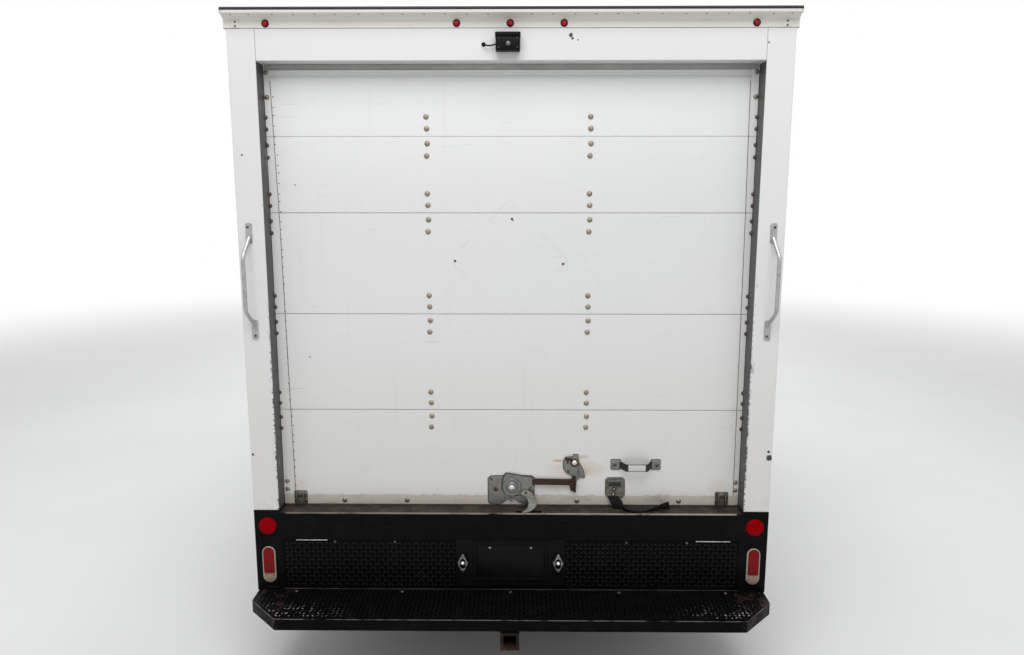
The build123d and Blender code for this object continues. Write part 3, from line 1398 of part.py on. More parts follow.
ENGINE_Y = (BULKHEAD_Y - TUNNEL_BACK + TUNNEL_T + 25.0, FRONT_AXLE_Y + 430.0)
ENGINE_Z = (LOWER_ARM_Z + 62.0, TUNNEL_TOP_Z - TUNNEL_T - 15.0)
ENGINE_HALF_W = 245.0
GEARBOX_L = 620.0
GEARBOX_Z = (GEARBOX_CROSS_Z + GEARBOX_CROSS_R + SEAT_FIT, FLOOR_PAN_Z - FLOOR_PAN_T - 15.0)
SHAFT_R = 38.0
with BuildPart() as engine:
    add(block(-ENGINE_HALF_W, ENGINE_HALF_W, ENGINE_Y[0], ENGINE_Y[1], ENGINE_Z[0], ENGINE_Z[1]))
    fillet(engine.edges().filter_by(Axis.Y), 30)
    add(block(-120, 120, ENGINE_Y[0] - GEARBOX_L, ENGINE_Y[0], GEARBOX_Z[0], GEARBOX_Z[1]))
    for side, name in SIDES:
        add(
            block(
                side * (ENGINE_HALF_W - 10),
                side * (RAIL_INNER_X + RAIL_W - RAIL_WALL - SEAT_FIT),
                FRONT_AXLE_Y - 60,
                FRONT_AXLE_Y + 20,
                RAIL_TOP_FRONT - RAIL_H + RAIL_WALL + 40,
                RAIL_TOP_FRONT - RAIL_WALL - 50,
            )
        )
write(engine, "engine")

SHAFT_Y = (REAR_AXLE_Y + 190.0 + SEAT_FIT, ENGINE_Y[0] - GEARBOX_L - SEAT_FIT)
SHAFT_Z = (WHEEL_Z, GEARBOX_Z[0] + 52.0)
with BuildPart() as drive_shaft:
    shaft_line = Vector(0, SHAFT_Y[1] - SHAFT_Y[0], SHAFT_Z[1] - SHAFT_Z[0])
    shaft_base = Plane(origin=(0, SHAFT_Y[0], SHAFT_Z[0]), x_dir=(1, 0, 0), z_dir=shaft_line)
    with BuildSketch(shaft_base.offset(6)):
        Circle(SHAFT_R)
    extrude(amount=shaft_line.length - 12)
    for end in (SHAFT_Y[0], SHAFT_Y[1]):
        height = SHAFT_Z[0] if end == SHAFT_Y[0] else SHAFT_Z[1]
        inwards = 1 if end == SHAFT_Y[0] else -1
        with BuildSketch(Plane(origin=(0, end, height), x_dir=(1, 0, 0), z_dir=(0, inwards, 0))):
            Circle(48)
        extrude(amount=40)
write(drive_shaft, "drive_shaft")

with BuildPart() as radiator:
    add(block(-340, 340, FACE_SEAM_Y - 60, FACE_SEAM_Y, RAIL_TOP_FRONT + SEAT_FIT, 960))
    add(
        block(
            -RAIL_X,
            RAIL_X,
            FACE_SEAM_Y - 60,
            FACE_SEAM_Y,
            RAIL_TOP_FRONT + SEAT_FIT,
            RAIL_TOP_FRONT + 45,
        )
    )
write(radiator, "radiator")

TANK_Y = (REAR_AXLE_Y + 880.0, REAR_AXLE_Y + 1620.0)
with BuildPart() as fuel_tank:
    with BuildSketch(rear_plane(TANK_Y[1])):
        with Locations((-RAIL_X - 190, 470)):
            RectangleRounded(340, 290, 50)
    extrude(amount=TANK_Y[1] - TANK_Y[0])
    fillet(fuel_tank.edges().group_by(Axis.Y)[0] + fuel_tank.edges().group_by(Axis.Y)[-1], 18)
    for place in (0.25, 0.75):
        y = TANK_Y[0] + place * (TANK_Y[1] - TANK_Y[0])
        add(block(-RAIL_X - SEAT_FIT, -RAIL_X - 60, y - 20, y + 20, 520, 600))
write(fuel_tank, "fuel_tank")

EXHAUST_X = 235.0
PIPE_R = 30.0
SILENCER_W = 230.0
SILENCER_H = 150.0
SILENCER_L = 520.0
with BuildPart() as exhaust:
    with BuildLine() as pipe_line:
        FilletPolyline(
            (EXHAUST_X, ENGINE_Y[0] - SEAT_FIT, 362),
            (EXHAUST_X, CAB_BACK_Y + 500, 362),
            (EXHAUST_X, CAB_BACK_Y, 425),
            (EXHAUST_X, CAB_BACK_Y - 800, 440),
            (EXHAUST_X, REAR_AXLE_Y + 330, 470),
            (EXHAUST_X, REAR_AXLE_Y + 150, 560),
            (EXHAUST_X, REAR_AXLE_Y - 170, 560),
            (EXHAUST_X + 60, REAR_AXLE_Y - 420, 440),
            (760, REAR_AXLE_Y - 640, 440),
            (900, REAR_AXLE_Y - 700, 440),
            radius=60,
        )
    with BuildSketch(Plane(origin=pipe_line.line @ 0, z_dir=pipe_line.line % 0)):
        Circle(PIPE_R)
    sweep()
    with BuildSketch(rear_plane(CAB_BACK_Y - 350)):
        with Locations((EXHAUST_X - 15, 430)):
            SlotOverall(SILENCER_W, SILENCER_H)
    extrude(amount=SILENCER_L)
write(exhaust, "exhaust")

# Box floor: the deck, notched for the wheel housings
FRAME_FRONT_Y = REAR_Y + POST_D
DECK_FRONT_Y = BOX_FRONT_Y - WALL_T
DECK_HALF_W = HALF_W - WALL_T
DECK_BOTTOM_Z = FLOOR_Z - DECK_T
HOUSING_Y = (REAR_AXLE_Y - HOUSING_HALF_L, REAR_AXLE_Y + HOUSING_HALF_L)
with BuildPart() as box_floor:
    with BuildSketch(Plane.XY.offset(DECK_BOTTOM_Z)):
        with BuildLine():
            outline(
                both_sides(
                    (
                        (DECK_HALF_W, FRAME_FRONT_Y, 0.0),
                        (DECK_HALF_W, DECK_FRONT_Y, BOX_CORNER_R - WALL_T),
                    )
                )
            )
        make_face()
        for side, name in SIDES:
            with Locations((side * (HOUSING_IN_X + DECK_HALF_W) / 2, REAR_AXLE_Y)):
                Rectangle(DECK_HALF_W - HOUSING_IN_X, 2 * HOUSING_HALF_L, mode=Mode.SUBTRACT)
    extrude(amount=DECK_T)
write(box_floor, "box_floor")

# Cross sills: channels that lie on the frame, shorter between the wheel housings
SILL_COUNT = int((DECK_FRONT_Y - FRAME_FRONT_Y) / SILL_BEAM_PITCH)
SILL_END_GAP = 70.0
SILL_BEAM_WALL = 8.0
SILL_BEAM_H = DECK_BOTTOM_Z - RAIL_TOP_REAR
with BuildPart() as floor_sills:
    for number in range(SILL_COUNT):
        spread = DECK_FRONT_Y - FRAME_FRONT_Y - 2 * SILL_END_GAP
        place = FRAME_FRONT_Y + SILL_END_GAP + number * spread / (SILL_COUNT - 1)
        beside_housing = abs(place - REAR_AXLE_Y) < HOUSING_HALF_L + SILL_BEAM_W / 2
        half_length = HOUSING_IN_X if beside_housing else DECK_HALF_W
        with BuildSketch(side_plane(-half_length)):
            with Locations((place, RAIL_TOP_REAR + SILL_BEAM_H / 2)):
                Rectangle(SILL_BEAM_W, SILL_BEAM_H)
                with Locations((SILL_BEAM_WALL, 0)):
                    Rectangle(SILL_BEAM_W, SILL_BEAM_H - 2 * SILL_BEAM_WALL, mode=Mode.SUBTRACT)
        extrude(amount=2 * half_length)
write(floor_sills, "floor_sills")

# Wheel housings: sheet boxes, open below and against the side walls
with BuildPart() as wheel_housings:
    for side, name in SIDES:
        add(
            block(
                side * HOUSING_IN_X,
                side * DECK_HALF_W,
                HOUSING_Y[0],
                HOUSING_Y[1],
                WALL_BOTTOM_Z,
                HOUSING_TOP_Z,
            )
        )
        add(
            block(
                side * (HOUSING_IN_X + HOUSING_T),
                side * (DECK_HALF_W + 1),
                HOUSING_Y[0] + HOUSING_T,
                HOUSING_Y[1] - HOUSING_T,
                WALL_BOTTOM_Z - 1,
                HOUSING_TOP_Z - HOUSING_T,
            ),
            mode=Mode.SUBTRACT,
        )
write(wheel_housings, "wheel_housings")

CORNER_RETURN = 110.0
ARCH_TRIM_W = 30.0
ARCH_TRIM_OUT = 8.0
# Each row: foot, top, how far it stands out
SIDE_RAILS = (
    (WALL_BOTTOM_Z, WALL_BOTTOM_Z + 55.0, 10.0),
    (WALL_TOP_Z - 60.0, WALL_TOP_Z, 4.0),
)
with BuildPart() as box_sides:
    for side, name in SIDES:
        add(
            block(
                side * DECK_HALF_W,
                side * HALF_W,
                FRAME_FRONT_Y,
                BOX_FRONT_Y - CORNER_RETURN,
                WALL_BOTTOM_Z,
                WALL_TOP_Z,
            )
        )
        for foot, top, out in SIDE_RAILS:
            add(
                block(
                    side * (HALF_W - 1),
                    side * (HALF_W + out),
                    FRAME_FRONT_Y,
                    BOX_FRONT_Y - CORNER_RETURN,
                    foot,
                    top,
                )
            )
        with BuildSketch(side_plane(side * DECK_HALF_W)):
            with Locations((REAR_AXLE_Y, WHEEL_Z)):
                Circle(ARCH_R + ARCH_TRIM_W)
            with Locations((REAR_AXLE_Y, WALL_BOTTOM_Z - ARCH_R)):
                Rectangle(3 * ARCH_R, 2 * ARCH_R, mode=Mode.SUBTRACT)
        extrude(amount=side * (WALL_T + ARCH_TRIM_OUT))
    with BuildSketch(side_plane(0)):
        with Locations((REAR_AXLE_Y, WHEEL_Z)):
            Circle(ARCH_R)
    extrude(amount=HALF_W + 50, both=True, mode=Mode.SUBTRACT)
write(box_sides, "box_sides")

with BuildPart() as box_front_wall:
    with BuildSketch(Plane.XY.offset(WALL_BOTTOM_Z)):
        with BuildLine():
            outline(
                both_sides(
                    (
                        (HALF_W, BOX_FRONT_Y - CORNER_RETURN, 0.0),
                        (HALF_W, BOX_FRONT_Y, BOX_CORNER_R),
                    )
                )
            )
        make_face()
        with BuildLine():
            outline(
                both_sides(
                    (
                        (DECK_HALF_W, BOX_FRONT_Y - CORNER_RETURN - 10, 0.0),
                        (DECK_HALF_W, BOX_FRONT_Y - WALL_T, BOX_CORNER_R - WALL_T),
                    )
                )
            )
        make_face(mode=Mode.SUBTRACT)
    extrude(amount=WALL_TOP_Z - WALL_BOTTOM_Z)
write(box_front_wall, "box_front_wall")

ROOF_CROWN = 12.0
ROOF_REAR_Y = REAR_Y + 80.0
with BuildPart() as box_roof:
    with BuildSketch(rear_plane(BOX_FRONT_Y)):
        with BuildLine():
            foot = Polyline((-HALF_W, WALL_TOP_Z), (HALF_W, WALL_TOP_Z))
            right = Line((HALF_W, WALL_TOP_Z), (HALF_W, ROOF_Z - ROOF_CROWN - ROOF_EDGE_R))
            right_bend = ThreePointArc(
                right @ 1,
                (
                    HALF_W - ROOF_EDGE_R * (1 - math.sqrt(0.5)),
                    ROOF_Z - ROOF_CROWN - ROOF_EDGE_R * (1 - math.sqrt(0.5)),
                ),
                (HALF_W - ROOF_EDGE_R, ROOF_Z - ROOF_CROWN),
            )
            crown = ThreePointArc(right_bend @ 1, (0, ROOF_Z), (-HALF_W + ROOF_EDGE_R, ROOF_Z - ROOF_CROWN))
            left_bend = ThreePointArc(
                crown @ 1,
                (
                    -HALF_W + ROOF_EDGE_R * (1 - math.sqrt(0.5)),
                    ROOF_Z - ROOF_CROWN - ROOF_EDGE_R * (1 - math.sqrt(0.5)),
                ),
                (-HALF_W, ROOF_Z - ROOF_CROWN - ROOF_EDGE_R),
            )
            Line(left_bend @ 1, (-HALF_W, WALL_TOP_Z))
        make_face()
    extrude(amount=BOX_FRONT_Y - ROOF_REAR_Y)
    fillet(box_roof.edges().filter_by(Axis.Z).group_by(Axis.Y)[-1], BOX_CORNER_R)
    add(
        block(
            -DECK_HALF_W,
            DECK_HALF_W,
            ROOF_REAR_Y - 10,
            BOX_FRONT_Y - WALL_T,
            WALL_TOP_Z - 10,
            ROOF_Z - ROOF_CROWN - ROOF_T,
        ),
        mode=Mode.SUBTRACT,
    )
    add(
        block(
            -HALF_W - 1,
            HALF_W + 1,
            ROOF_REAR_Y - 10,
            FRAME_FRONT_Y,
            WALL_TOP_Z - 10,
            LIP_TOP_Z - 30,
        ),
        mode=Mode.SUBTRACT,
    )
write(box_roof, "box_roof")

# Aluminium rail along the rear edge of the roof, with a lip that stands out over the door
with BuildPart() as roof_rail:
    with BuildSketch(side_plane(-HALF_W - LIP_SIDE)):
        with BuildLine():
            Polyline(
                (REAR_Y, FASCIA_Z),
                (REAR_Y, LIP_Z - 16),
                (REAR_Y - LIP_OUT * 0.4, LIP_Z - 6),
                (REAR_Y - LIP_OUT, LIP_Z),
                (REAR_Y - LIP_OUT, LIP_TOP_Z),
                (REAR_Y - LIP_OUT + 20, ROOF_Z - 6),
                (ROOF_REAR_Y, ROOF_Z - 4),
                (ROOF_REAR_Y, LIP_TOP_Z - 30 - CRACK),
                (FRAME_FRONT_Y, LIP_TOP_Z - 30 - CRACK),
                (FRAME_FRONT_Y, FASCIA_Z),
                close=True,
            )
        make_face()
    extrude(amount=2 * (HALF_W + LIP_SIDE))
    with BuildSketch(side_plane(-HALF_W)):
        with BuildLine():
            Polyline(
                (REAR_Y + 8, FASCIA_Z - 5),
                (REAR_Y + 8, LIP_TOP_Z - 44),
                (FRAME_FRONT_Y - 8, LIP_TOP_Z - 44),
                (FRAME_FRONT_Y - 8, FASCIA_Z - 5),
                close=True,
            )
        make_face()
    extrude(amount=2 * HALF_W, mode=Mode.SUBTRACT)
write(roof_rail, "roof_rail")

# Rear frame: two posts and a header in one welded hoop
HEADER_D = DOOR_INSET - DOOR_BACK_GAP
POST_IN_X = HALF_W - POST_W
with BuildPart() as rear_frame:
    for side, name in SIDES:
        add(block(side * POST_IN_X, side * HALF_W, REAR_Y, FRAME_FRONT_Y, POST_BOTTOM_Z, FASCIA_Z))
    add(block(-POST_IN_X, POST_IN_X, REAR_Y, REAR_Y + HEADER_D, HEADER_Z, FASCIA_Z))
    fillet(
        rear_frame.edges().filter_by(Axis.Z).group_by(Axis.Y)[0]
        + rear_frame.edges().filter_by(Axis.X).group_by(Axis.Y)[0].group_by(Axis.Z)[0],
        4,
    )
write(rear_frame, "rear_frame")

# Black sill beam and corner panels under the posts, with a slot for the latch's hook
HOOK_SLOT_X = (23.0, 134.0)
HOOK_SLOT_BACK = (8.0, 30.0)
with BuildPart() as rear_sill:
    add(block(-SILL_HALF_W, SILL_HALF_W, REAR_Y, FRAME_FRONT_Y, SILL_BOTTOM_Z, FLOOR_Z))
    for side, name in SIDES:
        add(block(side * SILL_HALF_W, side * HALF_W, REAR_Y, FRAME_FRONT_Y, SILL_BOTTOM_Z, FLOOR_Z))
        add(block(side * POST_IN_X, side * HALF_W, REAR_Y, FRAME_FRONT_Y, FLOOR_Z, POST_BOTTOM_Z))
        add(
            block(
                side * SILL_HALF_W,
                side * HALF_W,
                REAR_Y,
                REAR_Y + CORNER_D,
                CORNER_BOTTOM_Z,
                SILL_BOTTOM_Z,
            )
        )
    add(
        block(
            -SILL_HALF_W + 60,
            SILL_HALF_W - 60,
            REAR_Y + 8,
            FRAME_FRONT_Y - 8,
            SILL_BOTTOM_Z - 5,
            FLOOR_Z - 8,
        ),
        mode=Mode.SUBTRACT,
    )
    add(
        block(
            HOOK_SLOT_X[0],
            HOOK_SLOT_X[1],
            REAR_Y + HOOK_SLOT_BACK[0],
            REAR_Y + HOOK_SLOT_BACK[1],
            FLOOR_Z - 20,
            FLOOR_Z + 1,
        ),
        mode=Mode.SUBTRACT,
    )
write(rear_sill, "rear_sill")

# Roll-up door: sections that stand on each other, on a rubber foot
DOOR_FACE_Y = REAR_Y + DOOR_INSET
DOOR_HALF_W = POST_IN_X - DOOR_SIDE_GAP
with BuildPart() as roll_door:
    for low, high in zip(DOOR_EDGES_Z, DOOR_EDGES_Z[1:]):
        with BuildSketch(side_plane(-DOOR_HALF_W)):
            with BuildLine():
                outline(
                    (
                        (DOOR_FACE_Y, low, 3.0),
                        (DOOR_FACE_Y + DOOR_SECTION_T, low, 0.0),
                        (DOOR_FACE_Y + DOOR_SECTION_T, high - CRACK, 0.0),
                        (DOOR_FACE_Y, high - CRACK, 3.0),
                    )
                )
            make_face()
        extrude(amount=2 * DOOR_HALF_W)
    add(
        block(
            -DOOR_HALF_W,
            DOOR_HALF_W,
            DOOR_FACE_Y + 4,
            DOOR_FACE_Y + DOOR_SECTION_T - 4,
            FLOOR_Z,
            DOOR_EDGES_Z[0],
        )
    )
write(roll_door, "roll_door")

# Latch, catch, pull handle, strap bracket and roller brackets on the door.
# Each row of an outline: place across, height, corner radius.
LATCH_T = 4.0
LATCH_PLATE = (
    (-99.0, 770.0, 14.0),
    (-44.0, 770.0, 14.0),
    (-10.0, 799.0, 22.0),
    (24.0, 788.0, 20.0),
    (66.0, 767.0, 10.0),
    (102.0, 806.0, 14.0),
    (102.0, 900.0, 10.0),
    (-99.0, 900.0, 16.0),
)
CAM_T = 5.0
CAM_PLATE = (
    (-38.0, 811.0, 30.0),
    (44.0, 811.0, 16.0),
    (104.0, 864.0, 10.0),
    (104.0, 891.0, 4.0),
    (31.0, 905.0, 12.0),
    (-26.0, 917.0, 14.0),
)
PIVOT = (5.0, 851.0)
# Each row: radius, height over the cam plate
CAM_BOSS = (
    (41.0, 0.0),
    (41.0, 3.0),
    (38.0, 7.0),
    (30.0, 7.0),
    (28.0, 5.0),
    (23.0, 5.0),
    (21.0, 9.0),
    (17.0, 12.0),
)
HOOK_TOP = (14.0, 829.0)
HOOK_LEAN = 33.0
HOOK_T = 8.0
HOOK_BACK = ((56.0, 10.0), (116.0, -44.0), (50.0, -93.0))
HOOK_THROAT = ((52.0, -82.0), (83.0, -46.0), (47.0, -14.0))
THROW_BAR = (94.0, 278.0, 875.0, 28.0, 10.0)
BAR_BRACKET = (
    (257.0, 838.0, 8.0),
    (286.0, 829.0, 6.0),
    (286.0, 899.0, 8.0),
    (261.0, 899.0, 8.0),
)
BAR_TAB = (276.0, 284.0, 831.0, 899.0, 22.0)
CATCH_T = 6.0
CATCH_PLATE = (
    (228.0, 982.0, 12.0),
    (228.0, 932.0, 22.0),
    (246.0, 903.0, 8.0),
    (274.0, 899.0, 5.0),
    (285.0, 868.0, 2.0),
    (304.0, 898.0, 6.0),
    (327.0, 892.0, 4.0),
    (301.0, 948.0, 14.0),
    (294.0, 994.0, 8.0),
    (252.0, 992.0, 12.0),
)
CATCH_STUD = (277.0, 960.0, 13.0, 9.0)
PULL_FEET = (434.0, 652.0)
PULL_TOP = (497.0, 594.0)
PULL_PAD = 43.0
PULL_Z = (936.0, 966.0)
PULL_BAND_T = 3.5
PULL_OUT = 44.0
BRACKET = (406.0, 494.0, 801.0, 898.0)
BRACKET_BAR = (70.0, 8.0, 16.0)
ROLLER_X = (893.0, 951.0)
ROLLER_Z = (767.0, 829.0)
ROLLER_EAR = (12.0, 4.0, 16.0)
ROLLER_PIN_R = 5.5
hook_plane = Plane(
    origin=(0, DOOR_FACE_Y - HOOK_TOP[0], HOOK_TOP[1]),
    x_dir=(1, 0, 0),
    z_dir=(0, -math.cos(math.radians(HOOK_LEAN)), math.sin(math.radians(HOOK_LEAN))),
)
with BuildPart() as door_fittings:
    face = rear_plane(DOOR_FACE_Y)
    for rows, level, thickness in (
        (LATCH_PLATE, 0.0, LATCH_T),
        (CAM_PLATE, LATCH_T, CAM_T),
        (BAR_BRACKET, 0.0, LATCH_T),
        (CATCH_PLATE, 0.0, CATCH_T),
    ):
        with BuildSketch(face.offset(level)):
            with BuildLine():
                outline(rows)
            make_face()
        extrude(amount=thickness)
    # Cam boss, turned about its pivot
    cam_face_y = DOOR_FACE_Y - LATCH_T - CAM_T
    with BuildSketch(Plane(origin=(PIVOT[0], cam_face_y, PIVOT[1]), x_dir=(1, 0, 0), z_dir=(0, 0, 1))):
        with BuildLine():
            Polyline(
                (0, 0),
                *[(radius, -height) for radius, height in CAM_BOSS],
                (0, -CAM_BOSS[-1][1]),
                close=True,
            )
        make_face()
    revolve(axis=Axis((PIVOT[0], cam_face_y, PIVOT[1]), (0, -1, 0)))
    # Hook, leaning out over the sill and down into its slot
    with BuildSketch(hook_plane):
        with BuildLine():
            back = ThreePointArc(*HOOK_BACK)
            throat = ThreePointArc(*HOOK_THROAT)
            Line(back @ 1, throat @ 0)
            Line(throat @ 1, back @ 0)
        make_face()
    extrude(amount=HOOK_T)
    with BuildSketch(face.offset(LATCH_T)):
        with Locations((HOOK_BACK[0][0] + 8, HOOK_TOP[1])):
            Circle(11)
    extrude(amount=HOOK_TOP[0] + 1)
    # Throw bar between the cam and the tab beside the catch
    with BuildSketch(side_plane(THROW_BAR[0])):
        with Locations((DOOR_FACE_Y - LATCH_T - THROW_BAR[4] / 2 - 1, THROW_BAR[2])):
            SlotOverall(THROW_BAR[3], THROW_BAR[4], rotation=90)
    extrude(amount=THROW_BAR[1] - THROW_BAR[0])
    add(block(BAR_TAB[0], BAR_TAB[1], DOOR_FACE_Y - BAR_TAB[4], DOOR_FACE_Y, BAR_TAB[2], BAR_TAB[3]))
    with BuildSketch(face.offset(CATCH_T)):
        with Locations(CATCH_STUD[:2]):
            RegularPolygon(CATCH_STUD[2], 6)
    extrude(amount=CATCH_STUD[3])
    # Band pull handle: one bent strip on two pads
    with BuildSketch(Plane.XY.offset(PULL_Z[0])):
        with BuildLine():
            FilletPolyline(
                (PULL_FEET[0], DOOR_FACE_Y - LATCH_T - PULL_BAND_T / 2),
                (PULL_FEET[0] + PULL_PAD, DOOR_FACE_Y - LATCH_T - PULL_BAND_T / 2),
                (PULL_TOP[0], DOOR_FACE_Y - PULL_OUT),
                (PULL_TOP[1], DOOR_FACE_Y - PULL_OUT),
                (PULL_FEET[1] - PULL_PAD, DOOR_FACE_Y - LATCH_T - PULL_BAND_T / 2),
                (PULL_FEET[1], DOOR_FACE_Y - LATCH_T - PULL_BAND_T / 2),
                radius=7,
            )
        trace(line_width=PULL_BAND_T)
    extrude(amount=PULL_Z[1] - PULL_Z[0])
    with BuildSketch(face):
        for pad_x in (PULL_FEET[0] + PULL_PAD / 2, PULL_FEET[1] - PULL_PAD / 2):
            with Locations((pad_x, sum(PULL_Z) / 2)):
                RectangleRounded(PULL_PAD, PULL_Z[1] - PULL_Z[0] + 16, 6)
        with Locations(((BRACKET[0] + BRACKET[1]) / 2, (BRACKET[2] + BRACKET[3]) / 2)):
            RectangleRounded(BRACKET[1] - BRACKET[0], BRACKET[3] - BRACKET[2], 6)
    extrude(amount=LATCH_T + 0.2)
    with BuildSketch(face.offset(LATCH_T)):
        with Locations(((BRACKET[0] + BRACKET[1]) / 2, BRACKET[2] + 26)):
            Rectangle(BRACKET_BAR[0], BRACKET_BAR[1])
    extrude(amount=BRACKET_BAR[2])
    with BuildSketch(face.offset(LATCH_T)):
        with Locations(((BRACKET[0] + BRACKET[1]) / 2, BRACKET[3] - 33)):
            RectangleRounded(62, 28, 5)
    extrude(amount=5)
    for side, name in SIDES:
        middle_x = side * sum(ROLLER_X) / 2
        with BuildSketch(face):
            with Locations((middle_x, sum(ROLLER_Z) / 2)):
                RectangleRounded(ROLLER_X[1] - ROLLER_X[0], ROLLER_Z[1] - ROLLER_Z[0], 6)
        extrude(amount=LATCH_T)
        ear_x = (ROLLER_X[1] - ROLLER_X[0]) / 2 - ROLLER_EAR[0]
        with BuildSketch(face):
            with Locations((middle_x, sum(ROLLER_Z) / 2)):
                with GridLocations(2 * ear_x, 0, 2, 1):
                    Rectangle(ROLLER_EAR[1], ROLLER_Z[1] - ROLLER_Z[0] - 10)
        extrude(amount=ROLLER_EAR[2])
        with BuildSketch(side_plane(middle_x - ear_x - 8)):
            with Locations((DOOR_FACE_Y - LATCH_T - ROLLER_PIN_R - 0.5, sum(ROLLER_Z) / 2 + 8)):
                Circle(ROLLER_PIN_R)
        extrude(amount=2 * ear_x + 16)
    add(
        block(-DOOR_HALF_W, DOOR_HALF_W, DOOR_FACE_Y, DOOR_FACE_Y + 60, FLOOR_Z, HEADER_Z),
        mode=Mode.SUBTRACT,
    )
write(door_fittings, "door_fittings")

STRAP_T = 3.0
with BuildPart() as door_strap:
    strap_y = DOOR_FACE_Y - 14.0
    with BuildSketch(rear_plane(strap_y)):
        with BuildLine():
            Polyline(
                (418, BRACKET[2] + 22 - SEAT_FIT),
                (470, BRACKET[2] + 22 - SEAT_FIT),
                (560, 790),
                (685, FLOOR_Z + 32),
                (685, FLOOR_Z + SEAT_FIT),
                (560, FLOOR_Z + SEAT_FIT),
                (450, 790),
                close=True,
            )
        make_face()
    extrude(amount=STRAP_T)
write(door_strap, "door_strap")

# Grab handles on the posts
HANDLE_FEET = ((1058.0, 1956.0), (1054.0, 1560.0))
HANDLE_GRIP = (1070.0, 1864.0, 1640.0)
HANDLE_FOOT = (26.0, 82.0, 4.0)
with BuildPart() as grab_handles:
    for side, name in SIDES:
        with BuildLine() as bar_line:
            FilletPolyline(
                (side * HANDLE_FEET[0][0], REAR_Y - 2, HANDLE_FEET[0][1] - 18),
                (side * HANDLE_GRIP[0], REAR_Y - HANDLE_OUT, HANDLE_GRIP[1]),
                (side * HANDLE_GRIP[0], REAR_Y - HANDLE_OUT, HANDLE_GRIP[2]),
                (side * HANDLE_FEET[1][0], REAR_Y - 2, HANDLE_FEET[1][1] + 18),
                radius=38,
            )
        with BuildSketch(Plane(origin=bar_line.line @ 0, z_dir=bar_line.line % 0)):
            Circle(HANDLE_R)
        sweep(path=bar_line.line)
        for foot_x, foot_z in HANDLE_FEET:
            with BuildSketch(rear_plane(REAR_Y)):
                with Locations((side * foot_x, foot_z)):
                    RectangleRounded(HANDLE_FOOT[0], HANDLE_FOOT[1], 8)
            extrude(amount=HANDLE_FOOT[2])
    add(block(-HALF_W, HALF_W, REAR_Y, REAR_Y + 60, 1400, 2100), mode=Mode.SUBTRACT)
write(grab_handles, "grab_handles")

with BuildPart() as kick_panel:
    add(block(-SILL_HALF_W, SILL_HALF_W, REAR_Y, REAR_Y + KICK_T, CORNER_BOTTOM_Z, SILL_BOTTOM_Z))
write(kick_panel, "kick_panel")

PLATE_PANEL = (236.0, 430.0, 640.0, 3.0)
PLATE_FRAME = (160.0, 458.0, 635.0, 8.0)
PLATE_HOLE = (89.0, 3.5)
LICENCE_LAMP = (206.0, 539.0, 48.0, 84.0, 18.0)
with BuildPart() as plate_panel:
    with BuildSketch(rear_plane(REAR_Y)):
        with Locations((0, (PLATE_PANEL[1] + PLATE_PANEL[2]) / 2)):
            RectangleRounded(2 * PLATE_PANEL[0], PLATE_PANEL[2] - PLATE_PANEL[1], 4)
    extrude(amount=PLATE_PANEL[3])
    with BuildSketch(rear_plane(REAR_Y - PLATE_PANEL[3])):
        with Locations((0, (PLATE_FRAME[1] + PLATE_FRAME[2]) / 2)):
            RectangleRounded(2 * PLATE_FRAME[0], PLATE_FRAME[2] - PLATE_FRAME[1], 10)
            RectangleRounded(
                2 * PLATE_FRAME[0] - 24, PLATE_FRAME[2] - PLATE_FRAME[1] - 24, 6, mode=Mode.SUBTRACT
            )
    extrude(amount=PLATE_FRAME[3])
    with BuildSketch(rear_plane(REAR_Y - PLATE_PANEL[3] - 1)):
        with Locations((0, PLATE_FRAME[2] - 30)):
            with GridLocations(2 * PLATE_HOLE[0], 0, 2, 1):
                Circle(PLATE_HOLE[1])
    extrude(amount=-PLATE_PANEL[3] - 2, mode=Mode.SUBTRACT)
    with BuildSketch(rear_plane(REAR_Y - PLATE_PANEL[3])):
        for side, name in SIDES:
            with Locations((side * LICENCE_LAMP[0], LICENCE_LAMP[1])):
                SlotOverall(LICENCE_LAMP[3], LICENCE_LAMP[2], rotation=90)
    extrude(amount=LICENCE_LAMP[4], taper=14)
write(plate_panel, "plate_panel")

with BuildPart() as rear_lamps:
    for side, name in SIDES:
        with BuildSketch(rear_plane(REAR_Y)):
            with Locations((side * REFLECTOR_X, REFLECTOR_Z)):
                Circle(REFLECTOR_R)
        extrude(amount=7)
        with BuildSketch(rear_plane(REAR_Y)):
            with Locations((side * REFLECTOR_X, OVAL_Z)):
                SlotOverall(OVAL_H, OVAL_W, rotation=90)
        extrude(amount=OVAL_D, taper=12)
    for place in MARKER_X:
        with BuildSketch(rear_plane(REAR_Y)):
            with Locations((place, MARKER_Z)):
                Circle(MARKER_R)
        extrude(amount=10, taper=15)
write(rear_lamps, "rear_lamps")

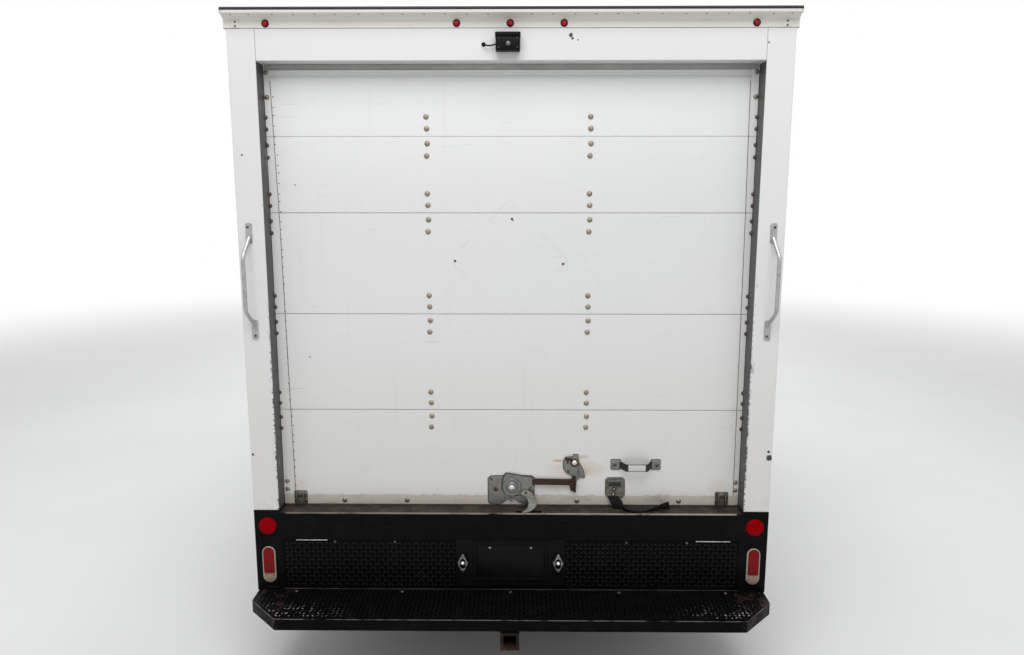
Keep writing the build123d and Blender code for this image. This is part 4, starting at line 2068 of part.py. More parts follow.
CAMERA_X = (-56.0, 38.0)
CAMERA_Z = (2655.0, 2722.0)
CAMERA_D = 46.0
CAMERA_LENS = (-8.0, 2681.0, 13.0)
CAMERA_LEAD = (-104.0, 2684.0)
with BuildPart() as rear_camera:
    with BuildSketch(rear_plane(REAR_Y)):
        with Locations((sum(CAMERA_X) / 2, sum(CAMERA_Z) / 2)):
            RectangleRounded(CAMERA_X[1] - CAMERA_X[0], CAMERA_Z[1] - CAMERA_Z[0], 6)
    extrude(amount=CAMERA_D)
    with BuildSketch(rear_plane(REAR_Y - CAMERA_D)):
        with Locations((CAMERA_LENS[0], CAMERA_LENS[1])):
            Circle(CAMERA_LENS[2])
    extrude(amount=6)
    with BuildLine() as lead_line:
        FilletPolyline(
            (CAMERA_X[0] + 4, REAR_Y - 14, CAMERA_LEAD[1]),
            (CAMERA_X[0] - 22, REAR_Y - 14, CAMERA_LEAD[1] - 8),
            (CAMERA_LEAD[0], REAR_Y - 14, CAMERA_LEAD[1]),
            (CAMERA_LEAD[0], REAR_Y, CAMERA_LEAD[1]),
            radius=8,
        )
    with BuildSketch(Plane(origin=lead_line.line @ 0, z_dir=lead_line.line % 0)):
        Circle(3)
    sweep(path=lead_line.line)
write(rear_camera, "rear_camera")

# Step bumper: a folded tray, open below, with its rear corners cut off
STEP_PLAN = (
    (STEP_HALF_W, REAR_Y + STEP_UNDER, 0.0),
    (STEP_HALF_W, TAIL_Y + STEP_CORNER_Y, 12.0),
    (STEP_HALF_W - STEP_CORNER_X, TAIL_Y, 12.0),
)
with BuildPart() as step_bumper:
    with BuildSketch(Plane.XY.offset(STEP_TOP_Z)):
        with BuildLine():
            outline(both_sides(STEP_PLAN))
        make_face()
    extrude(amount=-STEP_LIP_H)
    with BuildSketch(Plane.XY.offset(STEP_TOP_Z - STEP_T)):
        with BuildLine():
            outline(both_sides(STEP_PLAN), STEP_T)
        make_face()
    extrude(amount=-STEP_LIP_H, mode=Mode.SUBTRACT)
    add(
        block(
            -STEP_HALF_W + STEP_T,
            STEP_HALF_W - STEP_T,
            REAR_Y - STEP_T,
            REAR_Y + STEP_UNDER - STEP_T,
            CORNER_BOTTOM_Z - STEP_T,
            STEP_TOP_Z - STEP_T,
        )
    )
    add(
        block(
            -STEP_HALF_W - 1,
            STEP_HALF_W + 1,
            REAR_Y,
            REAR_Y + STEP_UNDER + 1,
            CORNER_BOTTOM_Z,
            STEP_TOP_Z + 1,
        ),
        mode=Mode.SUBTRACT,
    )
write(step_bumper, "step_bumper")

# Hitch: a cross tube between the frame brackets and a square receiver
HITCH_TUBE_Y = REAR_Y + 150.0
with BuildPart() as hitch_receiver:
    add(
        block(
            -RAIL_X + BRACKET_T,
            RAIL_X - BRACKET_T,
            HITCH_TUBE_Y - RECEIVER_OUTER / 2,
            HITCH_TUBE_Y + RECEIVER_OUTER / 2,
            RECEIVER_Z - RECEIVER_OUTER / 2,
            RECEIVER_Z + RECEIVER_OUTER / 2,
        )
    )
    with BuildSketch(rear_plane(HITCH_TUBE_Y)):
        with Locations((0, RECEIVER_Z)):
            Rectangle(RECEIVER_OUTER, RECEIVER_OUTER)
    extrude(amount=HITCH_TUBE_Y - TAIL_Y - RECEIVER_MOUTH)
    with BuildSketch(rear_plane(TAIL_Y + RECEIVER_MOUTH + 16)):
        with Locations((0, RECEIVER_Z)):
            Rectangle(RECEIVER_OUTER + 14, RECEIVER_OUTER + 14)
    extrude(amount=16)
    with BuildSketch(rear_plane(TAIL_Y - 10)):
        with Locations((0, RECEIVER_Z)):
            Rectangle(RECEIVER_INNER, RECEIVER_INNER)
    extrude(amount=-RECEIVER_L, mode=Mode.SUBTRACT)
    with BuildSketch(side_plane(-60)):
        with Locations((TAIL_Y + RECEIVER_MOUTH + HITCH_PIN_BACK, RECEIVER_Z)):
            Circle(HITCH_PIN_R)
    extrude(amount=120, mode=Mode.SUBTRACT)
write(hitch_receiver, "hitch_receiver")
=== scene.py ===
import bpy
import bmesh
from math import cos, exp, hypot, pi, radians, sin
from mathutils import Matrix, Vector


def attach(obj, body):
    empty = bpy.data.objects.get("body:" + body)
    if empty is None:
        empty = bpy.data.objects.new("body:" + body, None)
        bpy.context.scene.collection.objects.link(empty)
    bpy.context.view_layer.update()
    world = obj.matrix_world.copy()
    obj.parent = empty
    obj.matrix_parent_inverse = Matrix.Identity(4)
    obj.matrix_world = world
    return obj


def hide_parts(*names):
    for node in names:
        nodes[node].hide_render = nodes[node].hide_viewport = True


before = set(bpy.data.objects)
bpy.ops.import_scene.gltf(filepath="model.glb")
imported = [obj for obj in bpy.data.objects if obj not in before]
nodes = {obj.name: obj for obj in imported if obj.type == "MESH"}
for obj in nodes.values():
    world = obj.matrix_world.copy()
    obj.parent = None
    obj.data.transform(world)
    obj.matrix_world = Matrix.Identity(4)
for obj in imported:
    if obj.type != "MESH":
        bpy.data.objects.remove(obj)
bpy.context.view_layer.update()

# Places on the van in metres: X to the right, Y to the front, Z up
REAR = -2.610  # back of the posts, the header and the sill
DOOR_FACE = -2.525  # outside of the roll-up door
TAIL = -2.860  # back of the step
HALF_W = 1.105  # side walls of the box
BOX_FRONT = 0.440
POST_IN = 0.995  # inner edges of the posts
SILL_TOP = 0.760
STEP_TOP = 0.409
SEAMS = (1.196, 1.613, 2.035, 2.342)  # between the sections of the door
FOOT_RAIL_TOP = 0.807
MARKER_Z = 2.763  # marker lamps on the roof rail
LAMP_X, REFLECTOR_Z, OVAL_Z = 1.048, 0.701, 0.525  # lamps on the corner panels
PLATE_LAMP_X, PLATE_LAMP_Z = 0.206, 0.539
SCREEN_FOOT_Y, SCREEN_FOOT_Z = 2.000, 1.270  # lower edge of the windscreen
SCREEN_BACK, SCREEN_UP = 0.542, 0.841  # how far back and up the windscreen goes in a metre of its slope
SCREEN_SLOPE = 0.6447  # how far back it goes in a metre of height
DASH_Y = 1.668  # face of the controls
FRONT_AXLE_Y, REAR_AXLE_Y, AXLE_Z = 1.990, -1.540, 0.387
WHEELS = (  # name, X and Y of the middle of the wheel
    ("front_left", -0.870, FRONT_AXLE_Y),
    ("front_right", 0.870, FRONT_AXLE_Y),
    ("rear_left", -0.855, REAR_AXLE_Y),
    ("rear_right", 0.855, REAR_AXLE_Y),
)
BACKWARDS, FORWARDS, UPWARDS = (0, -1, 0), (0, 1, 0), (0, 0, 1)


def add_node(tree, kind, values=None, **settings):
    """Adds a shader node. Where a value is a socket of another node, it is linked."""
    node = tree.nodes.new(kind)
    for key, value in settings.items():
        setattr(node, key, value)
    for key, value in (values or {}).items():
        if isinstance(value, bpy.types.NodeSocket):
            tree.links.new(value, node.inputs[key])
        else:
            node.inputs[key].default_value = value
    return node


def shade(colour, share):
    return tuple(share * part for part in colour)


class Finish:
    """A finish as it is mixed: one material, its shader and the nodes that feed it."""

    def __init__(self, name, colour, roughness, metallic=0.0, soften=0.0):
        self.material = bpy.data.materials.new(name)
        self.material.use_nodes = True
        self.tree = self.material.node_tree
        self.shader = self.tree.nodes["Principled BSDF"]
        self.object_place = self.add("ShaderNodeTexCoord").outputs["Object"]
        self.colour = (*colour, 1.0)
        self.roughness = roughness
        self.normal = None
        self.set(Metallic=metallic)
        if soften:
            self.normal = self.add("ShaderNodeBevel", {"Radius": soften}, samples=3).outputs["Normal"]

    def add(self, kind, values=None, **settings):
        return add_node(self.tree, kind, values, **settings)

    def set(self, **values):
        """Sets inputs of the shader to a value or to a socket."""
        for key, value in values.items():
            port = self.shader.inputs[key.replace("_", " ")]
            if isinstance(value, bpy.types.NodeSocket):
                self.tree.links.new(value, port)
            else:
                port.default_value = value

    def place(self, scale=(1, 1, 1), turn=(0, 0, 0), shift=(0, 0, 0)):
        values = {"Vector": self.object_place, "Scale": scale, "Rotation": turn, "Location": shift}
        return self.add("ShaderNodeMapping", values).outputs["Vector"]

    def axis(self, name):
        return self.add("ShaderNodeSeparateXYZ", {"Vector": self.object_place}).outputs[name]

    def aside(self):
        """Distance from the middle plane of the van."""
        return self.calc("ABSOLUTE", self.axis("X"))

    def calc(self, work, a, b=0.0):
        return self.add("ShaderNodeMath", {0: a, 1: b}, operation=work).outputs["Value"]

    def plus(self, a, b):
        return self.calc("ADD", a, b)

    def minus(self, a, b):
        return self.calc("SUBTRACT", a, b)

    def times(self, first, *others):
        for other in others:
            first = self.calc("MULTIPLY", first, other)
        return first

    def spread(self, across, x, z, half_w=1.0, half_h=1.0):
        """Squared distance from a spot at X and Z, as a share of an ellipse's half width and height."""
        off_x = self.calc("DIVIDE", self.minus(across, x), half_w)
        off_z = self.calc("DIVIDE", self.minus(self.axis("Z"), z), half_h)
        return self.plus(self.times(off_x, off_x), self.times(off_z, off_z))

    def grain(self, size, detail=4.0, rough=0.55, stretch=(1, 1, 1), shift=(0, 0, 0), bend=0.0):
        """Cloudy pattern from 0 to 1 whose patches are about size metres across."""
        values = {
            "Vector": self.place(stretch, shift=shift),
            "Scale": 1.0 / size,
            "Detail": detail,
            "Roughness": rough,
            "Distortion": bend,
        }
        return self.add("ShaderNodeTexNoise", values).outputs["Fac"]

    def specks(self, size):
        """Distance from scattered points about size metres apart."""
        values = {"Vector": self.place(), "Scale": 1.0 / size}
        return self.add("ShaderNodeTexVoronoi", values).outputs["Distance"]

    def bands(self, place, scale, direction, bend=0.0):
        """Even bands across a direction, about 3.2 * scale of them for each unit of place."""
        values = {"Vector": place, "Scale": scale, "Distortion": bend}
        return self.add("ShaderNodeTexWave", values, bands_direction=direction).outputs["Fac"]

    def rise(self, value, low, high):
        """0 below low, 1 above high, smooth between; the other way round where low is larger."""
        values = {"Value": value, "From Min": low, "From Max": high}
        return self.add("ShaderNodeMapRange", values, interpolation_type="SMOOTHSTEP").outputs["Result"]

    def within(self, value, low, high, soft):
        """1 between low and high, with edges that fade over soft."""
        return self.times(self.rise(value, low - soft, low), self.rise(value, high + soft, high))

    def patches(self, size, low, high, detail=4.0, rough=0.55, **how):
        """Patches of a grain: 0 where it is below low, 1 where it is above high."""
        return self.rise(self.grain(size, detail, rough, **how), low, high)

    def facing(self, name):
        """How far the surface faces along an axis of the object, from -1 to 1."""
        normal = self.add("ShaderNodeNewGeometry").outputs["Normal"]
        return self.add("ShaderNodeSeparateXYZ", {"Vector": normal}).outputs[name]

    def tint(self, part, colour, strength=1.0):
        """Lays a colour over the finish where part is 1."""
        if strength != 1.0:
            part = self.times(part, strength)
        paint = colour if isinstance(colour, bpy.types.NodeSocket) else (*colour, 1.0)
        values = {0: part, 6: self.colour, 7: paint}
        self.colour = self.add("ShaderNodeMix", values, data_type="RGBA").outputs[2]

    def mottle(self, colour, strength, *patches, **how):
        """Lays a colour over patches of a grain."""
        self.tint(self.patches(*patches, **how), colour, strength)

    def polish(self, part, roughness):
        """Gives the finish another roughness where part is 1."""
        values = {0: part, 2: self.roughness, 3: roughness}
        self.roughness = self.add("ShaderNodeMix", values, data_type="FLOAT").outputs[0]

    def relief(self, height, depth, strength=1.0):
        values = {"Height": height, "Distance": depth, "Strength": strength}
        if self.normal is not None:
            values["Normal"] = self.normal
        self.normal = self.add("ShaderNodeBump", values).outputs["Normal"]

    def done(self):
        self.set(Base_Color=self.colour, Roughness=self.roughness)
        if self.normal is not None:
            self.set(Normal=self.normal)
        return self.material


# Finishes

def painted_sheet(name, colour, soften=0.004):
    """White coach paint on sheet metal: faint drips and dust."""
    paint = Finish(name, colour, 0.34, soften=soften)
    paint.set(Coat_Weight=0.25, Coat_Roughness=0.12)
    paint.mottle(shade(colour, 0.965), 1.0, 0.9, 0.35, 0.75, 3)
    paint.mottle((0.62, 0.61, 0.58), 0.10, 0.05, 0.56, 0.78, 5, 0.6, stretch=(1, 1, 0.06))
    paint.mottle((0.50, 0.48, 0.44), 0.12, 0.012, 0.62, 0.75, 6, 0.7)
    paint.polish(paint.patches(0.2, 0.4, 0.7, 5), 0.44)
    return paint


POST_SCARS = (  # X, Z and radius of a hole or a deep chip
    (-1.0688, 2.2652, 0.0045), (1.0925, 1.0131, 0.015), (1.089, 1.040, 0.007), (0.2348, 2.7184, 0.009),
    (0.241, 2.706, 0.006), (0.262, 2.7005, 0.0035), (-1.094, 1.021, 0.006), (1.0, 2.69, 0.004),
)


def frame_paint():
    """Door posts and header: a dark rubber reveal, chipped and scuffed edges, holes and chips, and painted shade low
    down.
    """
    paint = painted_sheet("frame paint", (0.80, 0.80, 0.80))
    across, ahead, up = paint.aside(), paint.axis("Y"), paint.axis("Z")
    edge = paint.within(across, POST_IN - 0.001, POST_IN + 0.010, 0.006)
    lower = paint.rise(up, 2.5, 0.9)
    chips = paint.patches(0.028, 0.60, 0.66, 6, 0.65, stretch=(1.6, 1.6, 0.55))
    paint.tint(paint.times(edge, chips, lower), (0.055, 0.05, 0.048))
    rusted_spots = paint.patches(0.04, 0.64, 0.72, 5, 0.7, shift=(3, 1, 7))
    paint.tint(paint.times(edge, rusted_spots, lower), (0.20, 0.08, 0.035), 0.8)
    # Painted shade: the posts darken towards the bottom.
    paint.tint(paint.rise(up, 1.9, 0.8), (0.70, 0.685, 0.665), 0.8)
    scuffs = paint.patches(0.02, 0.66, 0.70, 6, 0.75, stretch=(3.5, 1, 0.25))
    paint.tint(paint.times(scuffs, paint.within(up, 0.78, 1.15, 0.15)), (0.16, 0.155, 0.15), 0.55)
    dirty_foot = paint.times(paint.rise(up, 0.86, 0.775), paint.patches(0.03, 0.42, 0.62, 6, 0.7))
    paint.tint(dirty_foot, (0.26, 0.22, 0.17), 0.14)
    corner = paint.times(paint.rise(across, POST_IN + 0.0075, POST_IN + 0.0025), paint.rise(up, 1.80, 1.30))
    chips = paint.patches(0.016, 0.50, 0.54, 6, 0.75, shift=(3, 1, 7))
    paint.tint(paint.times(corner, chips), (0.028, 0.026, 0.025), 0.95)
    outside = paint.rise(ahead, REAR + 0.004, REAR + 0.002)
    for x, z, size in POST_SCARS:
        ragged = paint.times(paint.minus(paint.grain(0.006), 0.5), size)
        far = paint.plus(paint.calc("SQRT", paint.spread(paint.axis("X"), x, z)), ragged)
        paint.tint(paint.times(paint.rise(far, size, size * 0.7), outside), (0.03, 0.03, 0.034))
    join_line = paint.within(across, POST_IN - 0.0018, POST_IN - 0.0004, 0.0005)
    paint.tint(paint.times(join_line, paint.rise(up, 2.6255, 2.628)), (0.10, 0.10, 0.10), 0.8)
    reveal = paint.times(paint.rise(across, POST_IN + 0.0035, POST_IN + 0.0015),
                         paint.rise(ahead, REAR + 0.001, REAR + 0.004), paint.rise(up, 2.6245, 2.622))
    grey = paint.plus(paint.times(paint.grain(0.02, 6), 0.06), 0.02)
    rubber_grey = paint.add("ShaderNodeCombineColor", {"Red": grey, "Green": grey, "Blue": grey})
    paint.tint(reveal, rubber_grey.outputs["Color"])
    worn = paint.patches(0.05, 0.60, 0.68, 5, 0.7, stretch=(1, 1, 0.3))
    paint.tint(paint.times(reveal, worn), (0.33, 0.32, 0.31), 0.45)
    paint.polish(reveal, 0.62)
    paint.relief(paint.grain(0.003, 2), 0.0002)
    return paint.done()


DOOR_SMEARS = (  # middle X and Z, half width, half height and strength of a rust smear
    (0.290, 0.930, 0.150, 0.050, 0.34), (-0.060, 0.820, 0.060, 0.040, 0.22),
    (0.270, 0.985, 0.050, 0.020, 0.42), (0.205, 0.968, 0.035, 0.008, 0.75),
    (0.318, 0.985, 0.030, 0.014, 0.45), (0.300, 0.915, 0.05, 0.03, 0.5),
    (0.200, 0.845, 0.120, 0.030, 0.28), (0.905, 0.850, 0.060, 0.050, 0.20),
    (-0.925, 0.850, 0.05, 0.04, 0.18),
)
DOOR_HOLES = (  # X, Z and radius of a screw hole or a chip
    (0.0056, 2.0103, 0.0060), (-0.2321, 1.8367, 0.0060), (0.2182, 1.8246, 0.0060),
    (0.010, 2.0040, 0.003), (-0.887, 2.1486, 0.0035), (-0.8562, 1.4266, 0.0035),
)


def door_paint():
    """Off-white door skin, painted lighter at the top and darker lower down as light and shade: dark seams, rust
    smears, a beige foot rail and old screw holes.
    """
    paint = Finish("door skin", (0.86, 0.865, 0.865), 0.40, soften=0.002)
    paint.set(Coat_Weight=0.15, Coat_Roughness=0.2)
    across, up = paint.axis("X"), paint.axis("Z")
    # Painted light and shade: the skin is lightest at the top and greys down the door as the light falls off.
    paint.tint(paint.rise(up, 2.55, 1.95), (0.785, 0.79, 0.785))
    paint.mottle((0.755, 0.76, 0.765), 0.6, 1.1, 0.3, 0.8, 3)
    # Painted shade: darker and warmer again towards the foot of the door.
    paint.tint(paint.rise(up, 1.75, 0.85), (0.725, 0.715, 0.69), 0.9)
    paint.mottle((0.48, 0.46, 0.42), 0.14, 0.035, 0.57, 0.80, 6, 0.62, stretch=(1, 1, 0.045))
    dirt = paint.patches(0.018, 0.40, 0.68, 6, 0.75, stretch=(0.5, 1, 1))
    for seam in SEAMS + (FOOT_RAIL_TOP,):
        near = paint.within(up, seam - 0.004, seam + 0.003, 0.008)
        paint.tint(paint.times(near, dirt), (0.20, 0.18, 0.155), 0.07 if seam in SEAMS else 0.55)
        line = paint.within(up, seam - 0.0014, seam + 0.0006, 0.0008)
        paint.tint(line, (0.17, 0.115, 0.095), 0.05 if seam == max(SEAMS) else 0.55)
    paint.mottle((0.56, 0.53, 0.47), 0.16, 0.10, 0.60, 0.74, 7, 0.72)
    paint.mottle((0.40, 0.39, 0.38), 0.30, 0.010, 0.70, 0.735, 3, 0.5, stretch=(0.08, 1, 2.2), bend=0.4)
    foot = paint.rise(up, FOOT_RAIL_TOP + 0.0015, FOOT_RAIL_TOP - 0.0005)
    paint.tint(foot, (0.56, 0.51, 0.445))
    paint.tint(paint.rise(up, 0.7672, 0.7660), (0.045, 0.030, 0.024), 0.85)
    dirty_foot = paint.times(foot, paint.patches(0.05, 0.50, 0.80, 5, 0.65, stretch=(0.5, 1, 1)))
    paint.tint(dirty_foot, (0.20, 0.165, 0.125), 0.55)
    for x, z, half_w, half_h, strength in DOOR_SMEARS:
        ragged = paint.times(paint.grain(0.03, 6, 0.7, shift=(x, 0, z)), 1.2)
        far = paint.plus(paint.spread(across, x, z, half_w, half_h), ragged)
        paint.tint(paint.rise(far, 1.6, 0.4), (0.50, 0.27, 0.10), strength)
    for x, z, size in DOOR_HOLES:
        far = paint.calc("SQRT", paint.spread(across, x, z))
        paint.tint(paint.rise(far, size, size * 0.75), (0.03, 0.028, 0.028))
    lozenge = paint.plus(paint.calc("ABSOLUTE", paint.plus(across, 0.006)),
                         paint.calc("ABSOLUTE", paint.minus(up, 1.840)))
    ghost = paint.times(paint.within(lozenge, 0.2455, 0.2475, 0.0015), paint.patches(0.08, 0.42, 0.60, 4, 0.6))
    paint.tint(ghost, (0.40, 0.39, 0.38), 0.35)
    inside = paint.rise(paint.axis("Y"), DOOR_FACE + 0.012, DOOR_FACE + 0.016)
    paint.tint(inside, (0.70, 0.69, 0.66))
    paint.polish(paint.patches(0.15, 0.4, 0.7, 5), 0.52)
    paint.relief(paint.grain(0.25, 2, 0.4), 0.0016, 0.5)
    return paint.done()


def black_coat(name, roughness, colour=(0.013, 0.0135, 0.015), soften=0.003, shine=0.4, dust=1.0):
    """Black paint with dust and flecks; dust says how pale they are, from 0 to 1."""
    paint = Finish(name, colour, roughness, soften=soften)
    paint.set(Specular_IOR_Level=shine)
    dirt = tuple(dust * pale + (1 - dust) * base for pale, base in zip((0.05, 0.048, 0.046), colour))
    paint.mottle(dirt, 0.6, 0.08, 0.48, 0.72, 6, 0.7)
    paint.mottle(shade((0.20, 0.19, 0.18), dust), 0.5, 0.009, 0.70, 0.74, 5, 0.7)
    paint.polish(paint.patches(0.05, 0.45, 0.7, 5, 0.65), min(1.0, roughness + 0.2))
    paint.relief(paint.grain(0.004, 3), 0.0003)
    return paint


def sill_coat():
    """Black sill and corner panels, with a worn edge along the floor line and a grimy top."""
    paint = black_coat("sill coat", 0.34, (0.0030, 0.0030, 0.0034), shine=0.06, dust=0.10)
    top = paint.rise(paint.facing("Z"), 0.6, 0.9)
    paint.tint(top, (0.040, 0.032, 0.026), 0.9)
    paint.tint(paint.times(top, paint.patches(0.06, 0.45, 0.7, 6, 0.7)), (0.10, 0.08, 0.062), 0.7)
    edge = paint.times(paint.within(paint.axis("Z"), SILL_TOP - 0.0035, SILL_TOP + 0.001, 0.0015),
                       paint.rise(paint.axis("Y"), REAR + 0.010, REAR + 0.005))
    worn = paint.patches(0.05, 0.28, 0.52, 6, 0.72, stretch=(0.35, 1, 1))
    more_on_the_right = paint.add("ShaderNodeMapRange", {
        "Value": paint.axis("X"), "From Min": -1.0, "From Max": 0.7, "To Min": 0.45, "To Max": 1.0,
    }).outputs["Result"]
    worn = paint.times(worn, more_on_the_right, paint.rise(paint.aside(), 0.975, 0.960))
    paint.tint(paint.times(edge, worn), (0.42, 0.37, 0.31), 0.85)
    paint.mottle((0.10, 0.095, 0.09), 0.35, 0.02, 0.71, 0.74, 4, 0.6, stretch=(0.1, 1, 2.5), bend=0.3)
    return paint.done()


def tread_plate_black(name):
    return black_coat(name, 0.36, (0.0016, 0.0016, 0.0019), soften=0.0, shine=0.050, dust=0.08)


def kick_coat():
    """Black tread plate, scuffed to a grey line along its foot."""
    paint = tread_plate_black("kick plate black")
    foot = paint.within(paint.axis("Z"), STEP_TOP, STEP_TOP + 0.0022, 0.0012)
    worn = paint.patches(0.09, 0.36, 0.56, 6, 0.75, stretch=(0.3, 1, 1))
    paint.tint(paint.times(foot, worn), (0.16, 0.15, 0.14), 0.7)
    paint.mottle((0.05, 0.048, 0.046), 0.4, 0.012, 0.70, 0.76, 5, 0.7)
    return paint.done()


def step_coat():
    """Black tread plate of the step: a worn rim, pale lugs near its corners that are painted highlights as well as
    bare metal, and rust at its ends.
    """
    paint = tread_plate_black("step plate black")
    across, back, up = paint.aside(), paint.axis("Y"), paint.axis("Z")
    # Distance past the cut corner, whose face leans by these two shares
    corner_cut = paint.minus(paint.times(paint.minus(across, 0.960), 0.7268),
                             paint.times(paint.minus(back, TAIL), 0.6867))
    rim = paint.calc("MAXIMUM", paint.rise(back, TAIL + 0.0035, TAIL + 0.0015),
                     paint.rise(corner_cut, -0.0035, -0.0015))
    rim = paint.times(rim, paint.rise(up, STEP_TOP - 0.0030, STEP_TOP - 0.0015))
    paint.tint(paint.times(rim, paint.patches(0.10, 0.36, 0.56, 6, 0.75)), (0.24, 0.23, 0.22), 0.6)
    lug = paint.rise(up, STEP_TOP + 0.0011, STEP_TOP + 0.0016)
    paint.polish(lug, 0.26)
    paint.set(Specular_IOR_Level=paint.plus(paint.times(lug, 0.25), 0.05))
    # Painted highlights: pale specks on the lug tops near the step's corners, which also stand for bare worn metal.
    bare = paint.times(paint.patches(0.030, 0.50, 0.56, 5, 0.75), lug, paint.rise(across, 0.62, 0.98),
                       paint.rise(back, TAIL + 0.15, TAIL + 0.03))
    paint.tint(bare, (0.62, 0.61, 0.60), 0.9)
    rusty_end = paint.times(paint.patches(0.05, 0.52, 0.62, 6, 0.7, shift=(2, 5, 1)),
                            paint.rise(across, 0.90, 0.98))
    paint.tint(rusty_end, (0.045, 0.022, 0.020), 0.7)
    return paint.done()


def hitch_coat():
    paint = black_coat("rusty hitch", 0.6, (0.012, 0.008, 0.007), shine=0.1, dust=0.2)
    paint.mottle((0.075, 0.032, 0.018), 0.8, 0.04, 0.42, 0.66, 6, 0.7)
    return paint.done()


def bare_metal(name, colour, roughness, stain=(0.25, 0.22, 0.18), stain_level=0.62, brushed=(1, 1, 1)):
    """Bare or plated metal with a fine grain; stains lie where a grain is above stain_level."""
    metal = Finish(name, colour, roughness, metallic=1.0, soften=0.0015)
    metal.mottle(shade(colour, 0.72), 1.0, 0.03, 0.40, 0.75, 6, 0.7)
    metal.mottle(stain, 0.8, 0.02, stain_level, stain_level + 0.08, 7, 0.75, shift=(5, 2, 1))
    metal.polish(metal.patches(0.012, 0.35, 0.7, 5, stretch=brushed), min(1.0, roughness + 0.22))
    metal.relief(metal.grain(0.0025, 3, 0.5, stretch=brushed), 0.00015)
    return metal.done()


def rusted(name, colour=(0.16, 0.065, 0.03), orange=1.0):
    """Steel rusted all over, from orange to dark brown."""
    metal = Finish(name, colour, 0.85, metallic=0.15)
    metal.set(Specular_IOR_Level=0.25)
    metal.mottle(shade(colour, 0.42), 1.0, 0.012, 0.42, 0.62, 7, 0.75)
    metal.mottle((0.33, 0.14, 0.05), orange, 0.006, 0.60, 0.72, 6, 0.7, shift=(2, 9, 4))
    metal.relief(metal.grain(0.003, 6, 0.7), 0.0008)
    return metal.done()


def moulded(name, colour, roughness):
    """Moulded plastic or rubber with a fine leather-like grain."""
    skin = Finish(name, colour, roughness, soften=0.002)
    skin.mottle(tuple(1.25 * part + 0.004 for part in colour), 1.0, 0.12, 0.4, 0.75, 5, 0.6)
    skin.mottle((0.16, 0.15, 0.14), 0.25, 0.02, 0.62, 0.78, 6, 0.7)
    skin.polish(skin.patches(0.05, 0.4, 0.7, 4), roughness + 0.12)
    skin.relief(skin.specks(0.0012), 0.00025, 0.6)
    return skin.done()


def lens(name, colour, shine=0.5):
    """Lamp lens with fine prisms moulded behind its surface."""
    glass = Finish(name, colour, 0.16)
    glass.set(Specular_IOR_Level=shine, Coat_Weight=0.4 * shine, Coat_Roughness=0.04)
    cells = glass.specks(0.005)
    glass.tint(glass.rise(cells, 0.15, 0.55), shade(colour, 0.45), 0.8)
    glass.mottle((0.30, 0.24, 0.22), 0.10, 0.02, 0.6, 0.75, 6, 0.7)
    glass.relief(cells, 0.0006)
    return glass.done()


def window_pane():
    """Tinted safety glass, a little dusty."""
    glass = Finish("window pane", (0.55, 0.60, 0.60), 0.03)
    glass.set(Transmission_Weight=0.92, IOR=1.45, Coat_Weight=0.4, Coat_Roughness=0.03)
    glass.polish(glass.patches(0.25, 0.5, 0.8, 5, 0.6), 0.10)
    glass.mottle((0.48, 0.53, 0.54), 1.0, 0.4, 0.5, 0.8, 4)
    return glass.done()


def tyre_compound():
    """Black tyre rubber, greyed by road dust."""
    skin = Finish("tyre compound", (0.016, 0.016, 0.0165), 0.74)
    skin.mottle((0.045, 0.043, 0.040), 0.8, 0.06, 0.42, 0.7, 6, 0.65)
    skin.mottle((0.10, 0.095, 0.085), 0.4, 0.008, 0.60, 0.70, 6, 0.7)
    skin.relief(skin.grain(0.002, 4, 0.6), 0.0003)
    return skin.done()


def painted_wheel():
    """Silver wheel enamel with brown brake dust."""
    steel = Finish("wheel enamel", (0.55, 0.555, 0.56), 0.36, metallic=0.35, soften=0.003)
    steel.mottle((0.40, 0.39, 0.375), 1.0, 0.05, 0.45, 0.75, 6, 0.7)
    steel.mottle((0.13, 0.075, 0.045), 0.7, 0.018, 0.62, 0.70, 7, 0.75)
    steel.polish(steel.patches(0.04, 0.4, 0.7), 0.55)
    steel.relief(steel.grain(0.004, 4), 0.0003)
    return steel.done()


def seat_cloth():
    """Grey woven seat cloth: a fine over-and-under weave with a soft sheen."""
    fabric = Finish("seat cloth", (0.17, 0.175, 0.185), 0.88)
    fabric.set(Sheen_Weight=0.35, Sheen_Roughness=0.5)
    warp = fabric.bands(fabric.place(), 130.0, "X")
    weft = fabric.bands(fabric.place(turn=(0.5, 0, 0)), 130.0, "Z")
    weave = fabric.calc("MAXIMUM", warp, weft)
    fabric.tint(fabric.rise(weave, 0.2, 0.9), (0.235, 0.24, 0.25))
    fabric.mottle((0.13, 0.133, 0.14), 0.6, 0.15, 0.45, 0.75, 5)
    fabric.relief(weave, 0.0006)
    return fabric.done()


def webbing():
    """Black lifting-strap webbing, ribbed across, greyed by wear."""
    band = Finish("strap webbing", (0.006, 0.006, 0.0068), 0.85)
    band.set(Sheen_Weight=0.05, Specular_IOR_Level=0.12)
    flat = band.add("ShaderNodeUVMap").outputs["UV"]
    weave = band.times(band.bands(flat, 60.0, "Y", 0.3), band.bands(flat, 4.0, "X"))
    band.tint(band.rise(weave, 0.3, 0.95), (0.016, 0.016, 0.017))
    band.mottle((0.05, 0.048, 0.044), 0.5, 0.02, 0.58, 0.72, 6, 0.7)
    band.relief(weave, 0.0008)
    return band.done()


